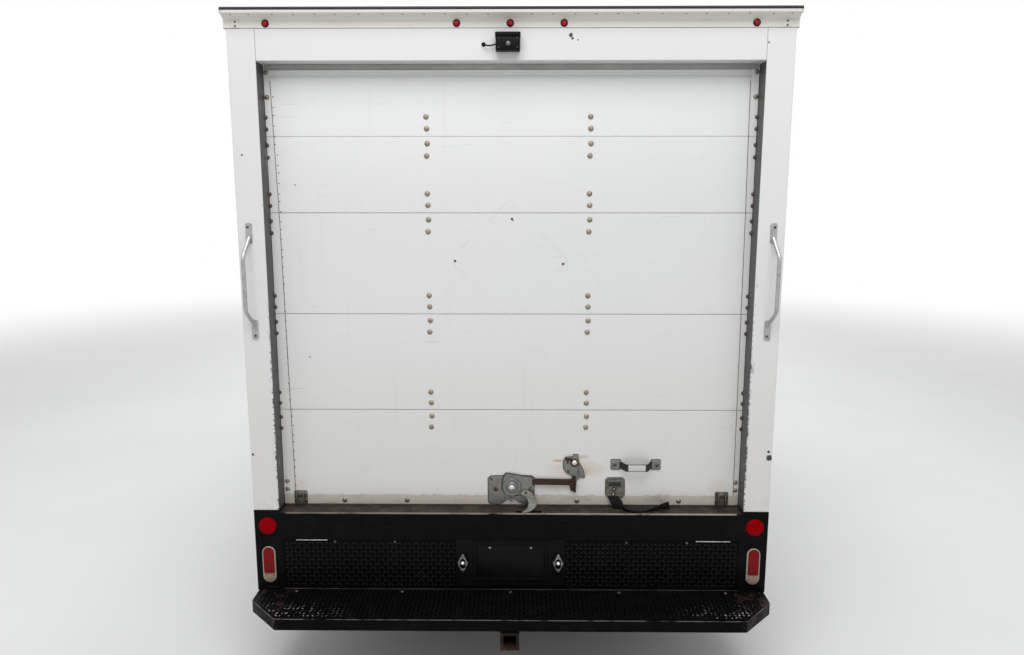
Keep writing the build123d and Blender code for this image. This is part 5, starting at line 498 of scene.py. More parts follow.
def floor_boards():
    """Cargo floor: laminated hardwood boards that run along the van."""
    wood = Finish("floor boards", (0.28, 0.17, 0.085), 0.55, soften=0.002)
    board_w = 0.14
    grain = wood.grain(0.03, 6, 0.62, stretch=(1, 0.06, 1), bend=0.6)
    wood.tint(wood.rise(grain, 0.35, 0.7), (0.19, 0.105, 0.05))
    gap = wood.rise(wood.calc("FRACT", wood.calc("DIVIDE", wood.axis("X"), board_w)), 0.03, 0.0)
    wood.tint(gap, (0.04, 0.028, 0.02))
    wood.mottle((0.09, 0.075, 0.06), 0.6, 0.2, 0.55, 0.72, 6, 0.7)
    wood.relief(grain, 0.0006)
    return wood.done()


def rail_metal():
    """Weathered rail: a chalky fascia, a darker drip lip, a painted highlight along its top and a black line along its
    nose.
    """
    metal = Finish("rail metal", (0.86, 0.835, 0.80), 0.62, soften=0.002)
    metal.set(Specular_IOR_Level=0.3)
    back, up = metal.axis("Y"), metal.axis("Z")
    metal.mottle((0.79, 0.765, 0.73), 1.0, 0.30, 0.40, 0.75, 5, 0.6, stretch=(0.3, 1, 1))
    metal.mottle((0.50, 0.47, 0.43), 0.35, 0.02, 0.60, 0.75, 6, 0.7, stretch=(0.4, 1, 1))
    lip = metal.times(metal.rise(back, REAR - 0.002, REAR - 0.006), metal.rise(up, 2.776, 2.782))
    metal.tint(lip, (0.74, 0.70, 0.65), 0.9)
    # Painted highlight: the top of the rail is lighter, as lit from above.
    metal.tint(metal.rise(up, 2.806, 2.810), (0.93, 0.93, 0.935))
    nose = metal.times(metal.rise(back, REAR - 0.030, REAR - 0.034), metal.rise(up, 2.8045, 2.8060))
    metal.tint(nose, (0.020, 0.021, 0.028))
    foot = metal.times(metal.within(up, 2.743, 2.7462, 0.001), metal.rise(back, REAR + 0.004, REAR + 0.001))
    metal.tint(foot, (0.10, 0.095, 0.09), 0.8)
    metal.polish(metal.patches(0.05, 0.4, 0.7), 0.72)
    metal.relief(metal.grain(0.006, 4), 0.0002)
    return metal.done()


def lamp_glass():
    """Headlamp seen through its cover: a bright bowl, upright flutes and an amber outer end."""
    glass = Finish("headlamp glass", (0.40, 0.41, 0.42), 0.12, metallic=0.55, soften=0.003)
    glass.set(Coat_Weight=0.9, Coat_Roughness=0.03)
    across = glass.aside()
    far = glass.calc("SQRT", glass.spread(across, 0.680, 0.842))  # from the middle of the bowl
    glass.tint(glass.rise(far, 0.083, 0.078), (0.80, 0.81, 0.82))
    glass.tint(glass.within(far, 0.079, 0.086, 0.002), (0.10, 0.10, 0.105))
    glass.tint(glass.rise(far, 0.026, 0.023), (0.93, 0.92, 0.88))
    glass.tint(glass.within(far, 0.022, 0.027, 0.001), (0.20, 0.20, 0.20))
    glass.tint(glass.rise(across, 0.787, 0.789), (0.75, 0.24, 0.02))
    glass.tint(glass.within(across, 0.782, 0.788, 0.0015), (0.05, 0.05, 0.052))
    flutes = glass.bands(glass.place(), 26.0, "X")
    # Painted highlight: a faint light line along the crest of each flute.
    glass.tint(glass.rise(flutes, 0.75, 1.0), (0.90, 0.90, 0.91), 0.12)
    glass.relief(flutes, 0.0012)
    return glass.done()


def mirror_glass():
    glass = Finish("mirror glass", (0.84, 0.85, 0.86), 0.015, metallic=1.0)
    glass.polish(glass.patches(0.08, 0.55, 0.8, 6, 0.7), 0.06)
    glass.mottle((0.60, 0.60, 0.59), 0.3, 0.015, 0.66, 0.78, 6, 0.7)
    return glass.done()


SEAL_BOXES = (  # low and high Y, Z and X: door window, door handle, headlamp, grille
    ((0.646, 1.484), (1.303, 1.904), (0.80, 1.10)),
    ((0.650, 0.820), (1.1065, 1.1335), (1.0045, 1.10)),
    ((2.60, 2.90), (0.7225, 0.9575), (0.563, 0.897)),
    ((2.60, 2.90), (0.684, 0.981), (0.0, 0.536)),
)


def cab_shell_paint():
    """White outside, black seals, and grey moulded lining on the faces turned to the cab."""
    paint = painted_sheet("cab paint", (0.78, 0.785, 0.79))
    across, ahead, up = paint.aside(), paint.axis("Y"), paint.axis("Z")
    above_belt = paint.calc("MAXIMUM", paint.minus(up, 1.275), 0.0)
    wall = paint.minus(0.972, paint.times(above_belt, 0.1114))
    slope = paint.plus(ahead, paint.times(paint.minus(up, SCREEN_FOOT_Z), SCREEN_SLOPE))
    brow = paint.times(paint.rise(up, 1.985, 1.990), paint.rise(paint.facing("Z"), 0.10, 0.20))
    inside = paint.times(
        paint.rise(paint.minus(wall, across), -0.002, 0.002), paint.rise(up, 2.088, 2.080),
        paint.rise(ahead, 0.512, 0.516), paint.rise(slope, 1.972, 1.965), paint.minus(1.0, brow))
    paint.tint(inside, (0.23, 0.235, 0.24))
    paint.polish(inside, 0.75)
    screen_edge = paint.minus(0.888, paint.times(paint.minus(up, 1.320), 0.1333))
    seals = paint.times(
        paint.rise(paint.minus(across, screen_edge), 0.0175, 0.0165), paint.within(up, 1.306, 1.994, 0.001),
        paint.rise(paint.plus(ahead, paint.times(up, SCREEN_SLOPE)), 2.77, 2.775))
    for y_range, z_range, x_range in SEAL_BOXES:
        seal = paint.times(paint.within(ahead, *y_range, 0.0008), paint.within(up, *z_range, 0.0008),
                           paint.within(across, *x_range, 0.0006))
        seals = paint.calc("MAXIMUM", seals, seal)
    paint.tint(seals, (0.014, 0.014, 0.015))
    paint.polish(seals, 0.6)
    paint.relief(paint.grain(0.003, 2), 0.0002)
    return paint.done()


# Forms. kind is the place of a face's finish in the list that piece() gets.

def round_off(form, faces, edges, radius, steps, kind):
    """Rounds edges, and gives the faces and what the rounding adds one finish."""
    for face in faces:
        face.material_index = kind
    if radius:
        made = bmesh.ops.bevel(form, geom=list(edges), offset=radius, segments=steps, profile=0.5,
                               affect="EDGES", material=-1)
        faces = {face for face in faces if face.is_valid} | set(made["faces"])
    for face in faces:
        face.material_index = kind
    return faces


def slab(form, low, high, edge=0.0, steps=2, kind=0):
    """A block between two corners with rounded edges."""
    low, high = Vector(low), Vector(high)
    size = high - low
    place = Matrix.Translation((low + high) / 2) @ Matrix.Diagonal((*size, 1.0))
    verts = bmesh.ops.create_cube(form, size=1.0, matrix=place)["verts"]
    faces = {face for vert in verts for face in vert.link_faces}
    round_off(form, faces, {rim for vert in verts for rim in vert.link_edges}, edge, steps, kind)


def plate(form, outline, near, far, edge=0.0, steps=2, kind=0, upright=True):
    """A plate from near to far with its far rims rounded; its outline gives X, and Z where upright, else Y."""
    def at(a, b, depth):
        return (a, depth, b) if upright else (a, b, depth)

    corners = [form.verts.new(at(a, b, near)) for a, b in outline]
    made = bmesh.ops.extrude_face_region(form, geom=[form.faces.new(corners)])["geom"]
    moved = [part for part in made if isinstance(part, bmesh.types.BMVert)]
    bmesh.ops.translate(form, verts=moved, vec=at(0, 0, far - near))
    faces = {face for vert in corners + moved for face in vert.link_faces}
    rims = {rim for vert in moved for rim in vert.link_edges if all(end in moved for end in rim.verts)}
    faces = round_off(form, faces, rims, edge, steps, kind)
    bmesh.ops.recalc_face_normals(form, faces=list(faces))


def join(form, part, places=(Matrix.Identity(4),), kind=0):
    """Adds a small form to a larger one, once at each place, in one of its finishes."""
    for face in part.faces:
        face.material_index = kind
    mesh = bpy.data.meshes.new("part")
    part.to_mesh(mesh)
    part.free()
    for place in places:
        copy = mesh.copy()
        copy.transform(place)
        form.from_mesh(copy)
        bpy.data.meshes.remove(copy)
    bpy.data.meshes.remove(mesh)


def turned(form, profile, places, along=BACKWARDS, steps=24, kind=0):
    """A turned form at one place or a list of them: (radius, distance) pairs spun about a direction."""
    part = bmesh.new()
    line = [part.verts.new((radius, 0.0, far)) for radius, far in profile]
    edges = [part.edges.new(pair) for pair in zip(line, line[1:])]
    bmesh.ops.spin(part, geom=line + edges, cent=(0, 0, 0), axis=UPWARDS, dvec=(0, 0, 0), angle=2 * pi,
                   steps=steps, use_merge=True)
    bmesh.ops.remove_doubles(part, verts=part.verts[:], dist=1e-6)
    bmesh.ops.recalc_face_normals(part, faces=part.faces[:])
    turn = Vector(UPWARDS).rotation_difference(Vector(along)).to_matrix().to_4x4()
    if not isinstance(places, list):
        places = [places]
    join(form, part, [Matrix.Translation(place) @ turn for place in places], kind)


def heads(form, places, radius, height, along=BACKWARDS, sides=12, kind=0, hexagon=False):
    """Rivet or bolt heads at the given places."""
    if hexagon:
        profile = ((0.0, height), (radius * 0.86, height), (radius, height * 0.8), (radius, -0.001))
        sides = 6
    else:
        profile = ((0.0, height), (radius * 0.5, height * 0.88), (radius * 0.84, height * 0.5),
                   (radius, 0.0), (radius, -0.001))
    turned(form, profile, places, along, sides, kind)


def arc(a, b, radius, start, end, steps):
    """Points on an arc about (a, b), from one angle to another in quarter turns."""
    turns = [pi / 2 * (start + (end - start) * i / steps) for i in range(steps + 1)]
    return [(a + radius * cos(turn), b + radius * sin(turn)) for turn in turns]


def slot_outline(x, z, width, height):
    """An upright slot: straight sides and round ends."""
    radius = width / 2
    reach = height / 2 - radius
    return arc(x, z + reach, radius, 0, 2, 12) + arc(x, z - reach, radius, 2, 4, 12)


def rounded(low_a, low_b, high_a, high_b, radius, steps=5):
    """A rectangle with round corners."""
    left, right, foot, top = low_a + radius, high_a - radius, low_b + radius, high_b - radius
    corners = ((right, top), (left, top), (left, foot), (right, foot))
    return [point for k, (a, b) in enumerate(corners) for point in arc(a, b, radius, k, k + 1, steps)]


def ring_of(count, x, y, z, radius, start=0.0):
    """Places around an axle that runs along X."""
    turns = [2 * pi * k / count + start for k in range(count)]
    return [(x, y + radius * sin(turn), z + radius * cos(turn)) for turn in turns]


def rod(form, points, radius=0.0, sides=12, bend=0.0, kind=0, flat=None):
    """A bar bent along points, with corners rounded by bend; flat gives a strip's width and thickness."""
    path = [Vector(points[0])]
    for before, point, after in zip(points, points[1:], points[2:]):
        point = Vector(point)
        if not bend:
            path.append(point)
            continue
        back, ahead = Vector(before) - point, Vector(after) - point
        reach = min(bend, back.length * 0.49, ahead.length * 0.49)
        first, last = point + back.normalized() * reach, point + ahead.normalized() * reach
        path += [first.lerp(point, t).lerp(point.lerp(last, t), t) for t in (0.0, 0.2, 0.4, 0.6, 0.8, 1.0)]
    path.append(Vector(points[-1]))
    line = bpy.data.curves.new("bar line", "CURVE")
    line.dimensions = "3D"
    line.use_fill_caps = True
    fill_spline(line, path)
    if flat:
        shape = bpy.data.curves.new("bar section", "CURVE")
        wide, thick = flat
        corners = rounded(-wide / 2, -thick / 2, wide / 2, thick / 2, min(flat) * 0.35, 3)
        fill_spline(shape, [(a, b, 0.0) for a, b in corners], closed=True)
        section = bpy.data.objects.new("bar section", shape)
        line.bevel_mode = "OBJECT"
        line.bevel_object = section
    else:
        line.bevel_depth = radius
        line.bevel_resolution = max(1, sides // 4)
    carrier = bpy.data.objects.new("bar", line)
    mesh = bpy.data.meshes.new_from_object(carrier)
    part = bmesh.new()
    part.from_mesh(mesh)
    join(form, part, kind=kind)
    bpy.data.objects.remove(carrier)
    if flat:
        bpy.data.objects.remove(section)
    bpy.data.meshes.remove(mesh)


def fill_spline(line, path, closed=False):
    run = line.splines.new("POLY")
    run.points.add(len(path) - 1)
    for spot, place in zip(run.points, path):
        spot.co = (*place, 1.0)
    run.use_cyclic_u = closed


def strip(form, path, thick, low, high, kind=0):
    """A bent strip that stands between two heights: path gives (x, y) along its outer face."""
    inner = []
    for i, (x, y) in enumerate(path):
        before, after = path[max(0, i - 1)], path[min(len(path) - 1, i + 1)]
        run_x, run_y = after[0] - before[0], after[1] - before[1]
        run = hypot(run_x, run_y)
        inner.append((x - run_y / run * thick, y + run_x / run * thick))
    plate(form, list(path) + inner[::-1], low, high, thick * 0.25, 1, kind, upright=False)


def metres(points, grow=0.0):
    """An outline given in millimetres, and grown outwards by so many of them."""
    mid_a = sum(a for a, _ in points) / len(points)
    mid_b = sum(b for _, b in points) / len(points)
    spread = [(a, b, hypot(a - mid_a, b - mid_b) or 1.0) for a, b in points]
    return [((a + (a - mid_a) / far * grow) / 1000.0, (b + (b - mid_b) / far * grow) / 1000.0)
            for a, b, far in spread]


def span(side, near, far):
    """The low and high X of what reaches from near to far of the middle, on one side of the van."""
    return sorted((side * near, side * far))


def piece(name, form, finishes, body="chassis", sharp=38, stands_for=()):
    """Turns a form into a piece of the van that rides on one of its bodies."""
    mesh = bpy.data.meshes.new(name)
    form.to_mesh(mesh)
    form.free()
    for finish in finishes:
        mesh.materials.append(finish)
    mesh.shade_smooth()
    mesh.set_sharp_from_angle(angle=radians(sharp))
    made = bpy.data.objects.new(name, mesh)
    bpy.context.scene.collection.objects.link(made)
    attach(made, body)
    if stands_for:
        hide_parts(*stands_for)
    return made


# Finishes in use

box_sheet = painted_sheet("box sheet", (0.775, 0.78, 0.785)).done()
grip_paint = painted_sheet("grip paint", (0.62, 0.61, 0.57), 0.001).done()
step_black = step_coat()
lug_black = black_coat("lug black", 0.26, (0.003, 0.003, 0.0034), soften=0.0, shine=0.30, dust=0.10).done()
satin_black = black_coat("satin black", 0.34, (0.0045, 0.0045, 0.005), shine=0.08, dust=0.12).done()
camera_black = black_coat("camera black", 0.4, (0.006, 0.006, 0.0065), 0.001, shine=0.12, dust=0.15).done()
# Painted shadow: dark brown plates a little larger than the latch and catch plates, laid under them as the shadow
# round their edges.
painted_shadow_rim = black_coat("painted_shadow_rim", 0.8, (0.030, 0.018, 0.012), soften=0.0, shine=0.15, dust=0.3).done()
zinc = bare_metal("zinc steel", (0.235, 0.24, 0.22), 0.40, (0.12, 0.075, 0.045), 0.60)
old_zinc = bare_metal("old zinc", (0.19, 0.19, 0.17), 0.50, (0.14, 0.07, 0.035), 0.52)
hook_zinc = bare_metal("hook steel", (0.17, 0.17, 0.155), 0.55, (0.13, 0.09, 0.05), 0.60)
brass_zinc = bare_metal("yellow zinc", (0.36, 0.30, 0.22), 0.46, (0.10, 0.065, 0.045), 0.57)
bright = bare_metal("bright steel", (0.72, 0.72, 0.73), 0.20, stain_level=0.70)
chrome = bare_metal("worn chrome", (0.34, 0.335, 0.32), 0.30, (0.10, 0.085, 0.07), 0.50)
dark_bolt = bare_metal("dark bolt", (0.16, 0.12, 0.10), 0.55, (0.11, 0.055, 0.03), 0.50)
rust = rusted("rusty steel")
dark_rust = rusted("dark rust", (0.060, 0.032, 0.024), 0.35)
soft_black = moulded("black rubber", (0.014, 0.014, 0.015), 0.68)
dark_lining = moulded("dark lining", (0.075, 0.077, 0.08), 0.66)
beige_rubber = moulded("grommet", (0.36, 0.33, 0.29), 0.60)
head_rubber = moulded("head seal", (0.36, 0.355, 0.34), 0.60)
pedal_rubber = moulded("pedal rubber", (0.020, 0.020, 0.021), 0.75)
red_lens = lens("red lens", (0.42, 0.0006, 0.004), 0.02)
marker_lens = lens("marker lens", (0.62, 0.006, 0.010), 0.2)
faded_lens = lens("faded red lens", (0.31, 0.018, 0.020), 0.03)
lamp_foot = lens("lamp foot", (0.46, 0.33, 0.26), 0.1)
amber_lens = lens("amber lens", (0.55, 0.17, 0.01))
tyre_rubber = tyre_compound()
cloth = seat_cloth()
strap_cloth = webbing()
rail = rail_metal()

for finish, names in (
    (box_sheet, "box_sides box_front_wall box_roof"),
    (frame_paint(), "rear_frame"),
    (door_paint(), "roll_door"),
    (cab_shell_paint(), "cab_shell door_left door_right hood front_wings front_panel"),
    (sill_coat(), "rear_sill"),
    (kick_coat(), "kick_panel"),
    (step_black, "step_bumper"),
    (satin_black, "plate_panel"),
    (rail, "roof_rail"),
    (bare_metal("mill aluminium", (0.62, 0.63, 0.64), 0.38, brushed=(0.05, 1, 1)), "radiator"),
    (hitch_coat(), "hitch_receiver"),
    (black_coat("chassis black", 0.55).done(),
     "chassis_frame floor_sills wheel_housings front_suspension drive_shaft"),
    (bare_metal("cast iron", (0.16, 0.15, 0.14), 0.62, (0.15, 0.08, 0.05), 0.50),
     "rear_axle leaf_springs knuckle_left knuckle_right"),
    (bare_metal("handle metal", (0.50, 0.50, 0.49), 0.34, (0.30, 0.24, 0.18), 0.58), "grab_handles"),
    (moulded("black trim", (0.020, 0.020, 0.022), 0.48),
     "grille rear_camera mirror_left mirror_right front_bumper steering_wheel"),
    (lamp_glass(), "headlamps"),
    (window_pane(), "cab_glass door_glass_left door_glass_right"),
    (dark_lining, "dashboard cab_floor"),
    (cloth, "seats"),
    (bare_metal("engine casting", (0.24, 0.24, 0.24), 0.55), "engine"),
    (bare_metal("exhaust steel", (0.34, 0.30, 0.26), 0.48, (0.20, 0.10, 0.05), 0.50), "exhaust"),
    (moulded("tank plastic", (0.024, 0.024, 0.025), 0.50), "fuel_tank"),
    (floor_boards(), "box_floor"),
    (painted_wheel(), "front_wheel_left front_wheel_right rear_wheel_left rear_wheel_right"),
    (tyre_rubber, "front_tyre_left front_tyre_right rear_tyre_left rear_tyre_right"),
    (zinc, "door_fittings"),
    (red_lens, "rear_lamps"),
    (strap_cloth, "door_strap"),
):
    for name in names.split():
        for spot in nodes[name].material_slots:
            spot.material = finish


# Roll-up door

def door_bolts():
    """Hinge bolts in two columns, and track bolts half hidden at both edges."""
    hinge, edge, foot = bmesh.new(), bmesh.new(), bmesh.new()
    for seam in SEAMS:
        for column in (-0.341, 0.325):
            places = [(column + 0.0015 * ((i * 7) % 3 - 1), DOOR_FACE, seam + rise)
                      for i, rise in enumerate((0.078, 0.031, -0.028, -0.077))]
            heads(hinge, places, 0.0115, 0.0055)
        for side in (-1, 1):
            places = [(side * 0.9935, DOOR_FACE, seam + rise) for rise in (0.076, 0.029, -0.034, -0.083)]
            heads(edge, places, 0.009, 0.006)
    heads(hinge, [(side * 0.984, DOOR_FACE, z) for side in (-1, 1) for z in (2.593, 2.497)], 0.010, 0.006)
    heads(hinge, [(side * 0.9795, DOOR_FACE, z) for side in (-1, 1) for z in (0.872, 0.836)], 0.0105, 0.006)
    heads(foot, [(x, DOOR_FACE, 0.785) for x in (-0.730, -0.455, 0.290, 0.736)], 0.0115, 0.0045)
    piece("door_hinge_bolts", hinge, [brass_zinc])
    piece("door_track_bolts", edge, [dark_bolt])
    piece("door_foot_bolts", foot, [zinc])


def door_trims():
    """Edge beads beside the tracks with their staples, and the seals at the head."""
    bead = bmesh.new()
    y = DOOR_FACE - 0.0006
    for x, lean in ((-0.957, 0.012), (0.966, 0.006)):
        rod(bead, [(x - lean, y, 2.56), (x, y, 2.0), (x + lean, y, 0.81)], 0.0012, 6)
    for i in range(44):  # staples, not quite in line and not quite evenly apart
        z = 0.85 + i * 0.0382 + 0.004 * ((i * 7) % 3)
        x = -0.9555 + 0.0006 * ((i * 5) % 4) + 0.010 * (z < 1.2) - 0.009 * (z > 2.3)
        slab(bead, (x, DOOR_FACE - 0.0009, z), (x + 0.0050, DOOR_FACE + 0.001, z + 0.0035))
    piece("door_edge_beads", bead, [dark_bolt])
    seal = bmesh.new()
    slab(seal, (-0.972, DOOR_FACE - 0.0065, 2.5905), (0.962, DOOR_FACE, 2.6020), 0.002)
    slab(seal, (-0.972, DOOR_FACE - 0.0045, 2.5720), (0.962, DOOR_FACE, 2.5800), 0.0015)
    slab(seal, (-0.990, DOOR_FACE - 0.003, 2.6030), (0.990, DOOR_FACE, 2.6240), 0.001, kind=1)
    piece("door_head_seals", seal, [box_sheet, head_rubber])


LATCH_PLATE = [(-99, 888), (-84, 899), (-28, 900), (90, 900), (102, 889), (102, 809), (70, 768), (52, 772),
               (24, 786), (10, 797), (-14, 793), (-32, 777), (-46, 769), (-88, 771), (-98, 782)]
CAM = [(-17, 913), (31, 904), (90, 893), (104, 890), (104, 861), (87, 850), (52, 816), (30, 812), (-8, 811),
       (-28, 824), (-37, 846), (-36, 872), (-28, 902)]
CAM_BOSS = ((0.041, 0.0), (0.0415, 0.003), (0.039, 0.0075), (0.030, 0.0075), (0.0285, 0.0055),
            (0.0245, 0.0055), (0.0225, 0.008), (0.020, 0.011), (0.0, 0.011))
HOOK = [(45, -1), (55, 9), (69, 11), (92, -1), (108, -21), (116, -42), (113, -60), (102, -75), (84, -86),
        (64, -92), (50, -93), (50, -84), (62, -79), (73, -66), (77, -48), (73, -34), (64, -21), (45, -15)]
THROW_BAR = [(94, 889), (262, 887), (277, 884), (277, 864), (262, 861), (94, 863)]
THROW_TAB = [(267, 900), (284, 898), (286, 864), (282, 828), (261, 836), (257, 857), (262, 880)]
CATCH = [(229, 955), (231, 933), (243, 913), (258, 905), (276, 901), (278, 880), (282, 862), (286, 863),
         (290, 884), (304, 894), (318, 890), (323, 896), (318, 918), (311, 937), (298, 960), (296, 975),
         (294, 996), (273, 996), (269, 986), (240, 984), (232, 972)]


def door_latch():
    """Cam latch with its hook and throw rod, and the catch above the rod's end, with rims of painted shadow round
    their plates. Outlines are in millimetres.
    """
    y = DOOR_FACE
    base = bmesh.new()
    # Painted shadow: a dark plate 2.5 mm larger than the latch plate, under it.
    plate(base, metres(LATCH_PLATE, 2.5), y, y - 0.0010, kind=4)
    plate(base, metres(LATCH_PLATE), y - 0.0005, y - 0.004, 0.0012)
    heads(base, [(0.002, y - 0.004, 0.794)], 0.008, 0.006, hexagon=True)
    heads(base, [(-0.066, y - 0.004, 0.838)], 0.010, 0.005, kind=1)
    heads(base, [(-0.084, y - 0.004, 0.884), (0.086, y - 0.004, 0.826)], 0.0055, 0.003, kind=1)
    # Painted shadow: a dark plate 3 mm larger than the cam, behind it.
    plate(base, metres(CAM, 3.0), y - 0.0035, y - 0.0070, kind=4)
    plate(base, metres(CAM), y - 0.006, y - 0.011, 0.0015)
    pivot_x, pivot_z = 0.005, 0.851
    turned(base, CAM_BOSS, (pivot_x, y - 0.009, pivot_z), steps=40)
    heads(base, [(pivot_x, y - 0.020, pivot_z)], 0.0115, 0.0035, sides=24, kind=2)
    first = 0.5 / (pi / 2)  # the first rivet's angle of half a radian, in quarter turns
    rivets = arc(pivot_x, pivot_z, 0.033, first, first + 3, 3)
    heads(base, [(x, y - 0.0155, z) for x, z in rivets], 0.003, 0.001, kind=1)
    hook = bmesh.new()
    plate(hook, metres(HOOK), 0.0, -0.008, 0.0025)
    join(base, hook, [Matrix.Translation((0, y - 0.014, 0.829)) @ Matrix.Rotation(radians(-33), 4, "X")], 3)
    heads(base, [(0.066, y - 0.0215, 0.826)], 0.0085, 0.004, kind=1)
    piece("door_latch_plates", base, [zinc, rust, bright, hook_zinc, painted_shadow_rim],
          stands_for=["door_fittings"])
    throw = bmesh.new()
    plate(throw, metres(THROW_BAR), y - 0.005, y - 0.0155, 0.0025)
    plate(throw, metres(THROW_TAB), y - 0.008, y - 0.013, 0.0012)
    slab(throw, (0.278, y - 0.024, 0.831), (0.284, y, 0.899), 0.0015)
    heads(throw, [(0.271, y - 0.013, 0.851)], 0.0065, 0.004)
    piece("door_throw_rod", throw, [dark_rust])
    catch = bmesh.new()
    # Painted shadow: a dark plate 2.5 mm larger than the catch plate, under it.
    plate(catch, metres(CATCH, 2.5), y, y - 0.0010, kind=4)
    plate(catch, metres(CATCH), y - 0.0005, y - 0.006, 0.0015)
    slab(catch, (0.238, y - 0.014, 0.9715), (0.268, y, 0.9835), 0.0025, kind=5)
    slab(catch, (0.2955, y - 0.017, 0.900), (0.3005, y, 0.955), 0.0015)
    stud = (0.277, y - 0.006, 0.960)
    turned(catch, ((0.0, 0.001), (0.0185, 0.001), (0.0195, 0.0)), stud, steps=28, kind=1)
    heads(catch, [stud], 0.0135, 0.009, sides=20, kind=3)
    heads(catch, [(0.250, y - 0.006, 0.922), (0.248, y - 0.006, 0.962)], 0.0055, 0.003, kind=1)
    piece("door_catch", catch, [zinc, rust, zinc, bright, painted_shadow_rim, dark_rust])


def door_handles():
    """Band pull handle, the strap bracket and the roller brackets at the foot."""
    y = DOOR_FACE
    pull = bmesh.new()
    left = [(0.470, y - 0.0045), (0.477, y - 0.0065), (0.494, y - 0.0400), (0.500, y - 0.0455)]
    right = [(0.586, y - 0.0455), (0.592, y - 0.0400), (0.609, y - 0.0065), (0.616, y - 0.0045)]
    strip(pull, left + right, 0.0035, 0.935, 0.967, kind=2)
    slab(pull, (0.506, y - 0.0475, 0.9375), (0.580, y - 0.0450, 0.9645), 0.0012, kind=3)
    for low, high in ((0.434, 0.4785), (0.6080, 0.652)):
        # Painted shadow: a dark plate 2 mm larger than each pad, under it.
        plate(pull, rounded(low, 0.928, high, 0.977, 0.006), y, y - 0.0015, 0.0005, kind=1)
        plate(pull, rounded(low + 0.002, 0.930, high - 0.002, 0.975, 0.006), y - 0.001, y - 0.0050, 0.0015)
    heads(pull, [(0.452, y - 0.0050, 0.953), (0.636, y - 0.0050, 0.951)], 0.0085, 0.0045, kind=1)
    piece("door_pull_handle", pull, [zinc, dark_bolt, soft_black, grip_paint])
    hook = bmesh.new()
    outline = [(412, 883), (424, 894), (486, 895), (498, 884), (500, 814), (488, 800), (426, 799), (413, 814)]
    plate(hook, metres(outline), y, y - 0.004, 0.0015)
    plate(hook, rounded(0.423, 0.851, 0.485, 0.879, 0.005), y - 0.004, y - 0.0085, 0.001)
    slab(hook, (0.427, y - 0.0092, 0.8555), (0.481, y - 0.0080, 0.8745), 0.0004, kind=2)
    slab(hook, (0.419, y - 0.011, 0.878), (0.489, y - 0.004, 0.8845), 0.002)
    slab(hook, (0.4215, y - 0.0065, 0.8260), (0.4835, y - 0.004, 0.8300), 0.001)
    studs = [(0.4515, y - 0.004, 0.8405), (0.4490, y - 0.004, 0.8160)]
    # Painted shadow: a thin dark ring round each stud.
    heads(hook, studs, 0.0095, 0.0015, kind=2)
    heads(hook, studs, 0.0060, 0.0045, kind=3)
    piece("strap_bracket", hook, [old_zinc, rust, soft_black, brass_zinc])
    roller = bmesh.new()
    for side in (-1, 1):
        low, high = span(side, 0.893, 0.951)
        plate(roller, rounded(low, 0.767, high, 0.829, 0.006), y, y - 0.003, 0.001)
        for ear in (low + 0.012, high - 0.016):
            slab(roller, (ear, y - 0.016, 0.772), (ear + 0.004, y, 0.824), 0.001)
        rod(roller, [(low + 0.004, y - 0.010, 0.806), (high - 0.004, y - 0.010, 0.806)], 0.0055, kind=1)
        screws = [(low + 0.007, y - 0.003, 0.780), (high - 0.007, y - 0.003, 0.780), (low + 0.007, y - 0.003, 0.818)]
        heads(roller, screws, 0.0045, 0.003, kind=1)
    piece("door_roller_brackets", roller, [old_zinc, dark_rust])


STRAP_ROUTE = (  # centre, and the way the width lies
    ((0.4475, -2.5272, 0.8180), (1, 0, 0)),
    ((0.4480, -2.5280, 0.8090), (1, 0, 0)),
    ((0.4500, -2.5345, 0.8030), (1, 0, 0)),
    ((0.4550, -2.5450, 0.7960), (1, 0.05, 0.02)),
    ((0.464, -2.5540, 0.784), (0.95, -0.20, 0.25)),
    ((0.480, -2.5630, 0.7735), (0.75, -0.60, 0.35)),
    ((0.503, -2.5720, 0.7680), (0.45, -0.88, 0.20)),
    ((0.533, -2.5760, 0.7655), (0.12, -0.99, 0.05)),
    ((0.570, -2.5730, 0.7650), (-0.05, -1, 0.02)),
    ((0.610, -2.5690, 0.7700), (-0.10, -0.95, 0.30)),
    ((0.648, -2.5700, 0.7780), (-0.14, -0.72, 0.68)),
    ((0.686, -2.5740, 0.7850), (-0.10, -0.36, 0.92)),
)


def smooth_route(route, steps=4):
    """A finer route: a smooth curve through the centres, and one through the widths."""
    fine = []
    for i in range(len(route) - 1):
        around = [route[max(0, min(len(route) - 1, i + j))] for j in (-1, 0, 1, 2)]
        for t in (k / steps for k in range(steps)):
            at = []
            for part in (0, 1):
                a, b, c, d = (Vector(spot[part]) for spot in around)
                at.append(0.5 * (2 * b + (c - a) * t + (2 * a - 5 * b + 4 * c - d) * t * t
                                 + (3 * b - 3 * c + d - a) * t ** 3))
            fine.append(at)
    fine.append([Vector(part) for part in route[-1]])
    return fine


